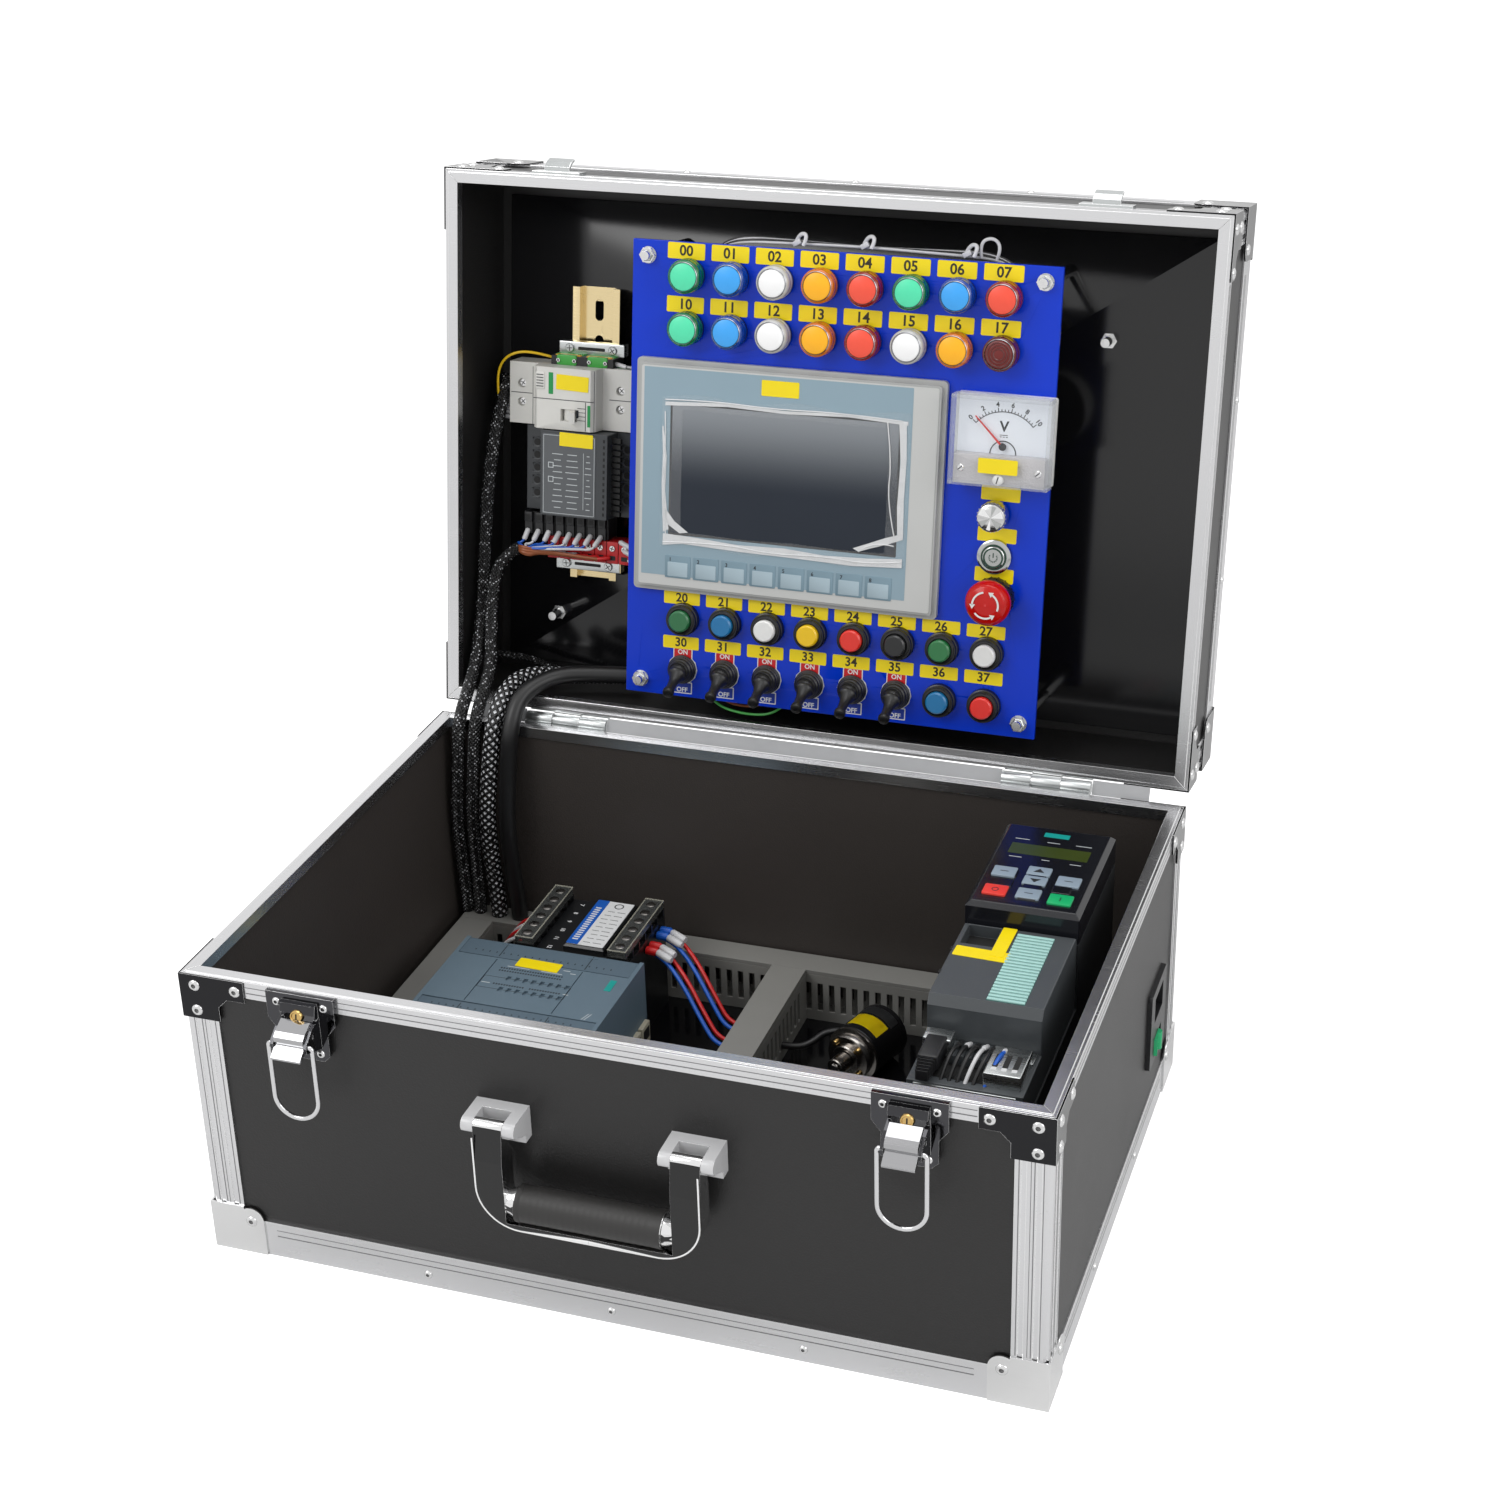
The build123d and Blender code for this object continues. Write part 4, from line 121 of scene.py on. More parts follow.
floor_material, tree, shader = new_shader("white_sweep")
for socket, value in (
    ("Base Color", (SWEEP_WHITE, SWEEP_WHITE, SWEEP_WHITE, 1)), ("Roughness", 0.9), ("Specular IOR Level", 0.0),
    ("Emission Color", (1, 1, 1, 1)),
):
    shader.inputs[socket].default_value = value
ray = wired(tree, "ShaderNodeLightPath")
glow = calculated(tree, "MULTIPLY", ray.outputs["Is Camera Ray"], SWEEP_GLOW)
tree.links.new(glow, shader.inputs["Emission Strength"])
floor_mesh = bmesh.new()
bmesh.ops.create_grid(floor_mesh, x_segments=1, y_segments=1, size=6)
floor_data = bpy.data.meshes.new("floor")
floor_mesh.to_mesh(floor_data)
floor_mesh.free()
floor_data.materials.append(floor_material)
floor = bpy.data.objects.new("floor", floor_data)
scene.collection.objects.link(floor)

for name, place, aim, size, power in (
    ("key_softbox", (-1.5, -1.5, 2.2), (0, 0.0, 0.2), 1.5, 26),
    ("side_softbox", (2.2, -0.7, 1.5), (0, 0.1, 0.2), 1.4, 14),
    ("top_softbox", (0.2, 0.3, 2.6), (0, 0, 0.1), 1.6, 16),
):
    lamp_data = bpy.data.lights.new(name, "AREA")
    lamp_data.shape = "SQUARE"
    lamp_data.size = size
    lamp_data.energy = power
    lamp = bpy.data.objects.new(name, lamp_data)
    lamp.location = place
    lamp.rotation_euler = (Vector(place) - Vector(aim)).to_track_quat("Z", "Y").to_euler()
    scene.collection.objects.link(lamp)

# Boards of the case
# Plywood boards faced outside with a black laminate of fine leather grain, and lined
# inside with a plain dark paper. The base and the lid are made alike.
MM = 0.001
CASE_W, CASE_D, BASE_H, LID_H = 530, 370, 200, 86
LID_ORIGIN = Vector((0, 193.0267, 206.7352)) * MM
LID_TILT = radians(80)
LID_FRAME = Matrix.Translation(LID_ORIGIN) @ Matrix.Rotation(LID_TILT, 4, "X")


def srgb(red, green, blue):
    """A colour as it is seen, 0 to 255, as the shader's linear colour."""
    return tuple(((c / 255 + 0.055) / 1.055) ** 2.4 if c > 10 else c / 3295 for c in (red, green, blue))


def group_tree(name, inputs, outputs):
    """A new shader node group with named sockets, and its input and output nodes."""
    tree = bpy.data.node_groups.new(name, "ShaderNodeTree")
    for socket, kind, value in inputs:
        made = tree.interface.new_socket(socket, in_out="INPUT", socket_type=kind)
        if value is not None:
            made.default_value = value
    for socket, kind in outputs:
        tree.interface.new_socket(socket, in_out="OUTPUT", socket_type=kind)
    return tree, tree.nodes.new("NodeGroupInput"), tree.nodes.new("NodeGroupOutput")


# uneven colour and sheen of a moulded, painted or rolled surface, in cells of a given size
mottle, given, result = group_tree("surface_mottle", [
    ("Colour", "NodeSocketColor", (0.5, 0.5, 0.5, 1)), ("Roughness", "NodeSocketFloat", 0.5),
    ("Patch Size", "NodeSocketFloat", 0.02), ("Amount", "NodeSocketFloat", 0.1),
], [("Colour", "NodeSocketColor"), ("Roughness", "NodeSocketFloat"), ("Cloud", "NodeSocketFloat")])
place = wired(mottle, "ShaderNodeTexCoord")
patch = calculated(mottle, "DIVIDE", 1.0, given.outputs["Patch Size"])
cloud = wired(mottle, "ShaderNodeTexNoise", None, [
    ("Vector", place.outputs["Object"]), ("Scale", patch), ("Detail", 5.0), ("Roughness", 0.6),
])
centred = calculated(mottle, "SUBTRACT", cloud.outputs["Fac"], 0.5)
swing = calculated(mottle, "MULTIPLY", centred, given.outputs["Amount"])
shade = calculated(mottle, "MULTIPLY_ADD", swing, 2.0, 1.0)
tinted = wired(mottle, "ShaderNodeVectorMath", "SCALE", [(0, given.outputs["Colour"]), ("Scale", shade)])
rough = wired(mottle, "ShaderNodeMath", "MULTIPLY_ADD", [
    (0, swing), (1, 0.8), (2, given.outputs["Roughness"]),
], use_clamp=True)
mottle.links.new(tinted.outputs[0], result.inputs["Colour"])
mottle.links.new(rough.outputs[0], result.inputs["Roughness"])
mottle.links.new(cloud.outputs["Fac"], result.inputs["Cloud"])

# height of a pebbled grain, as on laminate, leathercloth or spark-eroded mouldings
grain, given, result = group_tree("pebble_grain", [
    ("Pebble Size", "NodeSocketFloat", 0.001), ("Depth", "NodeSocketFloat", 1.0),
], [("Height", "NodeSocketFloat")])
place = wired(grain, "ShaderNodeTexCoord")
density = calculated(grain, "DIVIDE", 1.0, given.outputs["Pebble Size"])
pebbles = wired(grain, "ShaderNodeTexVoronoi", None, [
    ("Vector", place.outputs["Object"]), ("Scale", density), ("Smoothness", 0.6),
], feature="SMOOTH_F1")
fine = wired(grain, "ShaderNodeTexNoise", None, [
    ("Vector", place.outputs["Object"]), ("Scale", density), ("Detail", 3.0),
])
mixed = calculated(grain, "MULTIPLY_ADD", fine.outputs["Fac"], 0.5, pebbles.outputs["Distance"])
scaled = calculated(grain, "MULTIPLY", mixed, given.outputs["Depth"])
grain.links.new(scaled, result.inputs["Height"])


def look_of(tree, group, colour, roughness, **values):
    """A look's group in a tree, with its colour, its roughness and its other values."""
    look = wired(tree, "ShaderNodeGroup", None, node_tree=group)
    look.inputs["Colour"].default_value = (*colour, 1)
    look.inputs["Roughness"].default_value = roughness
    for socket, value in values.items():
        look.inputs[socket.replace("_", " ")].default_value = value
    return look


MIX_SOCKETS = {"RGBA": (6, 7, 2), "FLOAT": (2, 3, 0)}
LOOK_SOCKETS = (("Base Color", "Colour", "RGBA"), ("Roughness", "Roughness", "FLOAT"))


def mixed_by(tree, kind, mask, first, second):
    """A mix's output: the first value or output where a mask is 0, and the second where it is 1."""
    first_in, second_in, out = MIX_SOCKETS[kind]
    mix = wired(tree, "ShaderNodeMix", None, [(0, mask), (first_in, first), (second_in, second)], data_type=kind)
    return mix.outputs[out]


def surface(name, colour, roughness, patch=0.02, uneven=0.08, pebble=0.0, bump=0.2, **sockets):
    """A material with uneven colour and sheen, and a pebbled grain where it has a size."""
    material, tree, shader = new_shader(name)
    look = look_of(tree, mottle, colour, roughness, Patch_Size=patch, Amount=uneven)
    for socket, source, kind in LOOK_SOCKETS:
        tree.links.new(look.outputs[source], shader.inputs[socket])
    if pebble:
        relief = wired(tree, "ShaderNodeGroup", None, node_tree=grain)
        relief.inputs["Pebble Size"].default_value = pebble
        pressed = wired(tree, "ShaderNodeBump", None, [
            ("Strength", bump), ("Distance", pebble * 0.3), ("Height", relief.outputs["Height"]),
        ])
        tree.links.new(pressed.outputs["Normal"], shader.inputs["Normal"])
    for socket, value in sockets.items():
        shader.inputs[socket.replace("_", " ")].default_value = value
    return material


def in_case_half(material, lid=False):
    """Position in a case half's own frame: across, from its middle, and up from its back."""
    tree = material.node_tree
    place = wired(tree, "ShaderNodeTexCoord")
    if not lid:
        return place.outputs["Object"]
    back = LID_FRAME.inverted()
    shift = back.translation + Vector((0, -CASE_D / 2, LID_H)) * MM
    turned = wired(tree, "ShaderNodeMapping", None, [
        ("Vector", place.outputs["Object"]), ("Location", shift), ("Rotation", (-LID_TILT, 0, 0)),
    ])
    return turned.outputs["Vector"]


# 1 on a case half's inner faces, from the position in its own frame
inner_mask, given, result = group_tree("inner_faces", [
    ("Position", "NodeSocketVector", None), ("Half Width", "NodeSocketFloat", 0.2576),
    ("Half Depth", "NodeSocketFloat", 0.1776), ("Above", "NodeSocketFloat", 0.0055),
], [("Mask", "NodeSocketFloat")])
whole = wired(inner_mask, "ShaderNodeVectorMath", "ABSOLUTE", [(0, given.outputs["Position"])])
parts = wired(inner_mask, "ShaderNodeSeparateXYZ", None, [(0, whole.outputs[0])])
heights = wired(inner_mask, "ShaderNodeSeparateXYZ", None, [(0, given.outputs["Position"])])
near_x = calculated(inner_mask, "LESS_THAN", parts.outputs[0], given.outputs["Half Width"])
near_y = calculated(inner_mask, "LESS_THAN", parts.outputs[1], given.outputs["Half Depth"])
over = calculated(inner_mask, "GREATER_THAN", heights.outputs[2], given.outputs["Above"])
both = calculated(inner_mask, "MULTIPLY", near_x, near_y)
within = calculated(inner_mask, "MULTIPLY", both, over)
inner_mask.links.new(within, result.inputs["Mask"])


def board_material(name, lining, lining_roughness, lid):
    """Black grained laminate outside and the lining's colour on the inner faces."""
    material = surface(name, srgb(26, 25, 25), 0.42, patch=0.05, uneven=0.06, pebble=0.0011, bump=0.35)
    tree = material.node_tree
    shader = tree.nodes["Principled BSDF"]
    mask = wired(tree, "ShaderNodeGroup", None, node_tree=inner_mask)
    tree.links.new(in_case_half(material, lid), mask.inputs["Position"])
    outside = shader.inputs["Base Color"].links[0].from_node
    paper = look_of(tree, mottle, lining, lining_roughness, Patch_Size=0.12, Amount=0.12)
    for socket, source, kind in LOOK_SOCKETS:
        mix = mixed_by(tree, kind, mask.outputs["Mask"], outside.outputs[source], paper.outputs[source])
        tree.links.new(mix, shader.inputs[socket])
    return material


def finish(name, *materials, edge=0.0, segments=2, rim=None):
    """Gives a CAD node its material, and rounds its sharp edges, which can have their own look, here a brighter
    metal as a painted highlight.
    """
    piece = nodes[name]
    piece.data.materials.clear()
    for material in materials:
        piece.data.materials.append(material)
    if edge:
        weld = piece.modifiers.new("joined", "WELD")
        weld.merge_threshold = 0.00001
        rounding = piece.modifiers.new("rounded_edges", "BEVEL")
        rounding.width = edge * MM
        rounding.segments = segments
        rounding.limit_method = "ANGLE"
        rounding.angle_limit = radians(40)
        if rim:
            piece.data.materials.append(rim)
            rounding.material = len(piece.data.materials) - 1
    return piece


base_board = board_material("base_board_laminate", srgb(58, 53, 50), 0.55, False)

# the floor inside the base is a gloss black panel
BELOW_DECK = 0.02
tree = base_board.node_tree
shader = tree.nodes["Principled BSDF"]
place = wired(tree, "ShaderNodeTexCoord")
level = wired(tree, "ShaderNodeSeparateXYZ", None, [(0, place.outputs["Object"])])
upward = wired(tree, "ShaderNodeSeparateXYZ", None, [(0, place.outputs["Normal"])])
low = calculated(tree, "LESS_THAN", level.outputs[2], BELOW_DECK)
flat = calculated(tree, "GREATER_THAN", upward.outputs[2], 0.9)
deck = calculated(tree, "MULTIPLY", low, flat)
for (socket, source, kind), value in zip(LOOK_SOCKETS, ((*srgb(16, 16, 18), 1), 0.1)):
    under = shader.inputs[socket].links[0].from_socket
    tree.links.new(mixed_by(tree, kind, deck, under, value), shader.inputs[socket])
grained = calculated(tree, "MULTIPLY_ADD", deck, -0.33, 0.35)
tree.links.new(grained, shader.inputs["Normal"].links[0].from_node.inputs["Strength"])
finish("base_boards", base_board)
finish("lid_boards", board_material("lid_board_laminate", srgb(24, 23, 23), 0.45, True))

# Aluminium profiles
# Extruded angles and channels, bright anodised, with ribbed corner posts. They clamp the
# boards and are fixed with small domed rivets. Their grooves and ribs are dark lines of
# painted shade.
drawn, given, result = group_tree("drawn_metal", [
    ("Colour", "NodeSocketColor", (0.8, 0.8, 0.8, 1)), ("Roughness", "NodeSocketFloat", 0.25),
    ("Line Size", "NodeSocketFloat", 0.0006), ("Amount", "NodeSocketFloat", 0.3),
], [("Colour", "NodeSocketColor"), ("Roughness", "NodeSocketFloat"), ("Height", "NodeSocketFloat")])
place = wired(drawn, "ShaderNodeTexCoord")
density = calculated(drawn, "DIVIDE", 1.0, given.outputs["Line Size"])
stretched = wired(drawn, "ShaderNodeMapping", None, [("Vector", place.outputs["Object"]), ("Scale", (0.02, 1, 1))])
lines = wired(drawn, "ShaderNodeTexNoise", None, [
    ("Vector", stretched.outputs["Vector"]), ("Scale", density), ("Detail", 2.0),
])
haze = wired(drawn, "ShaderNodeTexNoise", None, [
    ("Vector", place.outputs["Object"]), ("Scale", 35.0), ("Detail", 6.0),
])
middle = calculated(drawn, "SUBTRACT", lines.outputs["Fac"], 0.5)
soiled = calculated(drawn, "SUBTRACT", haze.outputs["Fac"], 0.5)
total = calculated(drawn, "ADD", middle, soiled)
swing = calculated(drawn, "MULTIPLY", total, given.outputs["Amount"])
rough = wired(drawn, "ShaderNodeMath", "ADD", [
    (0, swing), (1, given.outputs["Roughness"]),
], use_clamp=True)
shade = calculated(drawn, "MULTIPLY_ADD", swing, 0.3, 1.0)
tinted = wired(drawn, "ShaderNodeVectorMath", "SCALE", [(0, given.outputs["Colour"]), ("Scale", shade)])
drawn.links.new(tinted.outputs[0], result.inputs["Colour"])
drawn.links.new(rough.outputs[0], result.inputs["Roughness"])
drawn.links.new(lines.outputs["Fac"], result.inputs["Height"])


def bare_metal(name, colour, roughness, line=0.0006, amount=0.25, bump=0.05):
    """Bare or plated metal with drawing lines and an uneven sheen."""
    material, tree, shader = new_shader(name)
    look = look_of(tree, drawn, colour, roughness, Line_Size=line, Amount=amount)
    for socket, source, kind in LOOK_SOCKETS:
        tree.links.new(look.outputs[source], shader.inputs[socket])
    relief = wired(tree, "ShaderNodeBump", None, [
        ("Strength", bump), ("Distance", 0.00005), ("Height", look.outputs["Height"]),
    ])
    tree.links.new(relief.outputs["Normal"], shader.inputs["Normal"])
    shader.inputs["Metallic"].default_value = 1.0
    return material


aluminium = bare_metal("bright_aluminium", (0.68, 0.68, 0.69), 0.26, line=0.0009, amount=0.06)
# a brighter metal for rounded edges, rims and marks: a painted highlight
painted_highlight_metal = bare_metal("edge_painted_highlight", (0.92, 0.92, 0.92), 0.2, amount=0.05)
finish("base_profiles", aluminium, edge=0.45, rim=painted_highlight_metal)
finish("lid_profiles", aluminium, edge=0.45, rim=painted_highlight_metal)


def lathe(bm, outline, at=Matrix(), steps=32, material=0):
    """Spins (radius, height) points round Z into a closed piece of a mesh, at a place."""
    part = bmesh.new()
    ring = [part.verts.new((radius, 0, height)) for radius, height in outline]
    edges = [part.edges.new(pair) for pair in zip(ring, ring[1:])]
    bmesh.ops.spin(
        part, geom=ring + edges, axis=(0, 0, 1), cent=(0, 0, 0), angle=2 * pi, steps=steps, use_merge=True
    )
    bmesh.ops.remove_doubles(part, verts=part.verts, dist=0.0005)
    settle(bm, part, at, material, True)


def settle(bm, part, at, material, smooth):
    """Turns a new part's faces outwards, and adds it to a mesh at its place."""
    bmesh.ops.recalc_face_normals(part, faces=part.faces)
    for face in part.faces:
        face.material_index = material
        face.smooth = smooth
    bmesh.ops.transform(part, matrix=at, verts=part.verts)
    passing = bpy.data.meshes.new("passing")
    part.to_mesh(passing)
    part.free()
    bm.from_mesh(passing)
    bpy.data.meshes.remove(passing)


def bevelled(bm, geometry, width, segments, affect="EDGES"):
    """Bevels edges or corners as the editor does."""
    return bmesh.ops.bevel(
        bm, geom=geometry, offset=width, offset_type="OFFSET", segments=segments, profile=0.5,
        affect=affect, material=-1, clamp_overlap=True,
    )


def raised(bm, part, thick, at, edge, material):
    """Raises a flat part along Z with its upper rim rounded, and adds it to a mesh."""
    grown = bmesh.ops.extrude_face_region(part, geom=part.faces[:])["geom"]
    top = [item for item in grown if isinstance(item, bmesh.types.BMVert)]
    bmesh.ops.translate(part, verts=top, vec=(0, 0, thick))
    if edge:
        part.normal_update()
        rims = [
            e for e in part.edges
            if all(abs(v.co.z - thick) < 1e-6 for v in e.verts) and e.calc_face_angle(0) > 0.5
        ]
        bevelled(part, rims, edge, 2)
    settle(bm, part, at, material, False)


def slab(bm, width, height, thick, at=Matrix(), corner=0.0, edge=0.0, material=0, segments=3):
    """A plate centred on its place's XY and standing on it, with round corners and edges."""
    part = bmesh.new()
    base = bmesh.ops.create_grid(
        part, x_segments=1, y_segments=1, size=0.5, matrix=Matrix.Diagonal((width, height, 1, 1))
    )["verts"]
    if corner:
        bevelled(part, base, corner, segments, "VERTICES")
    raised(bm, part, thick, at, edge, material)


def plate(bm, outline, thick, at=Matrix(), edge=0.0, material=0):
    """A plate of an outline of (x, y) points, standing on its place."""
    part = bmesh.new()
    part.faces.new([part.verts.new((x, y, 0)) for x, y in outline])
    raised(bm, part, thick, at, edge, material)


def made(name, bm, body, materials, at=LID_FRAME, soft=40):
    """Makes a mesh in millimetres into a piece of the object that rides on a body."""
    bmesh.ops.transform(bm, matrix=at @ Matrix.Scale(MM, 4), verts=bm.verts)
    data = bpy.data.meshes.new(name)
    bm.to_mesh(data)
    bm.free()
    for material in materials:
        data.materials.append(material)
    data.shade_smooth()
    data.set_sharp_from_angle(angle=radians(soft))
    piece = bpy.data.objects.new(name, data)
    scene.collection.objects.link(piece)
    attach(piece, body)
    return piece


def facing(x, y, z, normal, up=(0, 0, 1)):
    """A place whose Z looks along a normal and whose Y is as near up as it can be."""
    out = Vector(normal).normalized()
    right = Vector(up).cross(out).normalized()
    turned = Matrix((right, out.cross(right), out)).transposed().to_4x4()
    turned.translation = (x, y, z)
    return turned


def shifted(at, x, y, z):
    """A place moved in its own frame."""
    return at @ Matrix.Translation((x, y, z))


HALF_W, HALF_D = CASE_W / 2, CASE_D / 2
RIVET = [(1.0, 0.2), (1.1, 1.1), (1.6, 1.3), (2.1, 1.0), (2.6, 0.5), (2.8, 0), (2.8, -0.6)]
RIVET_EYE = [(0, 0.9), (0.35, 0.6), (0.7, 0.45), (1.05, 0.3), (1.1, -0.3), (0, -0.3)]
steel = bare_metal("bright_steel", (0.70, 0.70, 0.70), 0.18)
# a dark disc in each rivet's eye: painted shade in the hole
rivet_hole_shade = bare_metal("rivet_eye_painted_shade", (0.12, 0.12, 0.12), 0.3)
# a dark grey for thin lines on the profiles: painted shade in their grooves and between the posts' ribs
painted_groove_shade = bare_metal("profile_groove_shade", (0.22, 0.22, 0.225), 0.35, amount=0.1)
WORLD = Matrix()
LID_OUTSIDE = LID_FRAME @ Matrix.Translation(Vector((0, HALF_D, -LID_H)) * MM)
CASE_HALVES = (("base", BASE_H, "case_base", WORLD), ("lid", LID_H, "case_lid", LID_OUTSIDE))
CORNER_REACH, LINE_T = 86, 0.08


def rivet(bm, at, size=1.0):
    """A blind rivet with the eye that its mandrel left, its hollow a dark disc of painted shade."""
    for outline, material in ((RIVET, 0), (RIVET_EYE, 1)):
        lathe(bm, [(radius * size, height) for radius, height in outline], at, 16, material)


for half, height, body, at in CASE_HALVES:
    rivets, lines = bmesh.new(), bmesh.new()
    for side in (-1, 1):
        for x in (-120, 0, 120):
            rivet(rivets, facing(x, side * HALF_D, 9, (0, side, 0)))
        for y in (-60, 60):
            rivet(rivets, facing(side * HALF_W, y, 9, (side, 0, 0)))
        # lines along the rims: painted shade in the profiles' grooves
        for z, thick in ((15.4, 0.7), (19.6, 0.5), (height - 4.3, 0.5), (height - 8.2, 0.7)):
            slab(lines, CASE_W - CORNER_REACH, thick, LINE_T, facing(0, side * HALF_D, z, (0, side, 0)))
            slab(lines, CASE_D - CORNER_REACH, thick, LINE_T, facing(side * HALF_W, 0, z, (side, 0, 0)))
        low, high = 35, height - 31
        middle, long = (low + high) / 2, high - low
        # lines down the ribbed corner posts: painted shade between the ribs
        for inset, thick in ((5.4, 0.5), (10.6, 0.6), (12.6, 0.4), (19.4, 0.6)):
            for end in (-1, 1):
                x, y = end * (HALF_W - inset), end * (HALF_D - inset)
                slab(lines, thick, long, LINE_T, facing(x, side * HALF_D, middle, (0, side, 0)))
                slab(lines, thick, long, LINE_T, facing(side * HALF_W, y, middle, (side, 0, 0)))
    made(f"{half}_profile_rivets", rivets, body, [steel, rivet_hole_shade], at)
    made(f"{half}_profile_lines", lines, body, [painted_groove_shade], at)

# Corner fittings
# Stamped chrome corners: braces bent round the rim's corners, and caps on the outer
# corners, each held by blind rivets. The braces and the lid's caps are painted black, a
# painted dark reflection; the base's caps are bright.
BRACE_PAINTED_REFLECTION = (0.03, 0.03, 0.032)


def chrome_painted_by_height(name, lower, upper, split, lid):
    """One chrome colour below a height of the case half, and another above it; the dark ones are painted dark
    reflections.
    """
    material = bare_metal(name, lower, 0.15, amount=0.15)
    tree = material.node_tree
    base = tree.nodes["Principled BSDF"].inputs["Base Color"]
    dark = look_of(tree, drawn, upper, 0.16, Amount=0.15)
    heights = wired(tree, "ShaderNodeSeparateXYZ", None, [(0, in_case_half(material, lid))])
    above = calculated(tree, "GREATER_THAN", heights.outputs[2], split)
    mix = mixed_by(tree, "RGBA", above, base.links[0].from_socket, dark.outputs["Colour"])
    tree.links.new(mix, base)
    return material


# the base's caps bright below 0.1 m and the braces above it black, and on the lid all black: painted dark
# reflections
base_plating = chrome_painted_by_height("base_corner_plating", (0.74, 0.74, 0.74), BRACE_PAINTED_REFLECTION, 0.1, False)
lid_plating = chrome_painted_by_height("lid_corner_plating", (0.04, 0.04, 0.042), BRACE_PAINTED_REFLECTION, 0.04, True)
finish("base_corner_fittings", base_plating, edge=0.5, rim=painted_highlight_metal)
finish("lid_corner_fittings", lid_plating, edge=0.5, rim=painted_highlight_metal)

BRACE_RIVETS, CAP_RIVET = ((36, 8), (9, 8), (9, 25)), (26.5, 24)
BRACE_T, BIG_RIVET = 1.2, 1.35
for half, height, body, at in CASE_HALVES:
    rivets = bmesh.new()
    for sx in (-1, 1):
        for sy in (-1, 1):
            spots = [(inset, height - drop) for inset, drop in BRACE_RIVETS] + [CAP_RIVET]
            for inset, z in spots:
                rivet(rivets, facing(sx * (HALF_W - inset), sy * (HALF_D + BRACE_T), z, (0, sy, 0)), BIG_RIVET)
                rivet(rivets, facing(sx * (HALF_W + BRACE_T), sy * (HALF_D - inset), z, (sx, 0, 0)), BIG_RIVET)
    made(f"{half}_corner_rivets", rivets, body, [steel, rivet_hole_shade], at)

# Carry handle
# A cast chrome handle with polished sides and a ribbed rubber grip, held by two plated
# brackets that are riveted to the front. Its front is painted gloss black, a painted dark
# reflection, and a bright rim round the front is a painted highlight.
chrome = bare_metal("polished_chrome", (0.66, 0.66, 0.67), 0.13, amount=0.1)
grip_rubber = surface("grip_rubber", srgb(44, 43, 42), 0.5, patch=0.01, uneven=0.1, pebble=0.0007, bump=0.25)


def blended(name, first, second, mask_of):
    """One look (group, colour, roughness) to a size of a coordinate's axis, and another beyond it.

    The mask is (coordinate, axis, size). The sizes count on both sides of the middle.
    """
    material, tree, shader = new_shader(name)
    coordinate, axis, limit = mask_of
    place = wired(tree, "ShaderNodeTexCoord")
    parts = wired(tree, "ShaderNodeSeparateXYZ", None, [(0, place.outputs[coordinate])])
    size = calculated(tree, "ABSOLUTE", parts.outputs[axis])
    mask = calculated(tree, "GREATER_THAN", size, limit)
    looks = [look_of(tree, *look, Amount=0.1) for look in (first, second)]
    for socket, source, kind in LOOK_SOCKETS:
        mix = mixed_by(tree, kind, mask, *(look.outputs[source] for look in looks))
        tree.links.new(mix, shader.inputs[socket])
    metal = [float(look[0] == drawn) for look in (first, second)]
    tree.links.new(mixed_by(tree, "FLOAT", mask, *metal), shader.inputs["Metallic"])
    return material


# polished chrome on its sides; its front painted gloss black, a painted dark reflection
handle_chrome_painted_reflection = blended(
    "handle_chrome_painted_reflection", (drawn, (0.80, 0.80, 0.80), 0.08), (mottle, srgb(15, 15, 16), 0.1), ("Normal", 1, 0.93)
)
# one chrome with painted reflections: pale on the handle's brackets, a painted bright reflection, and dark on the
# latches' plates, a painted dark reflection
fittings = blended(
    "front_plating", (mottle, (0.66, 0.66, 0.67), 0.16), (drawn, (0.07, 0.07, 0.075), 0.1), ("Object", 0, 0.12)
)
finish("carry_handle", handle_chrome_painted_reflection, edge=0.9, segments=3, rim=painted_highlight_metal)
finish("front_fittings", fittings, edge=0.9, segments=3, rim=painted_highlight_metal)

# a ribbed rubber sleeve round the grip, between two turned end rings
GRIP_Z, GRIP_HALF, GRIP_R, GRIP_Y = 91.7, 45.3, 11, -203.5
sleeve = bmesh.new()
RIB_COUNT = 20
sleeve_line = [(GRIP_R - 1, -GRIP_HALF + 0.3), (GRIP_R + 0.5, -GRIP_HALF + 0.3), (GRIP_R + 0.5, -GRIP_HALF + 3)]
for rib in range(RIB_COUNT):
    start = -GRIP_HALF + 3.5 + rib * (2 * GRIP_HALF - 7) / RIB_COUNT
    sleeve_line += [(GRIP_R + 0.15, start), (GRIP_R + 0.35, start + 1.2), (GRIP_R + 0.35, start + 2.6)]
sleeve_line += [(GRIP_R + 0.5, GRIP_HALF - 3), (GRIP_R + 0.5, GRIP_HALF - 0.3), (GRIP_R - 1, GRIP_HALF - 0.3)]
lathe(sleeve, sleeve_line, facing(0, GRIP_Y, GRIP_Z, (1, 0, 0)), 40)
made("handle_grip_sleeve", sleeve, "carry_handle", [grip_rubber], WORLD)

# a bright rim round the handle's black front: a painted highlight
HANDLE_OUT_X, HANDLE_BOTTOM, HANDLE_BEND_R, HANDLE_FRONT_Y = 69.5, 76.5, 27, -211


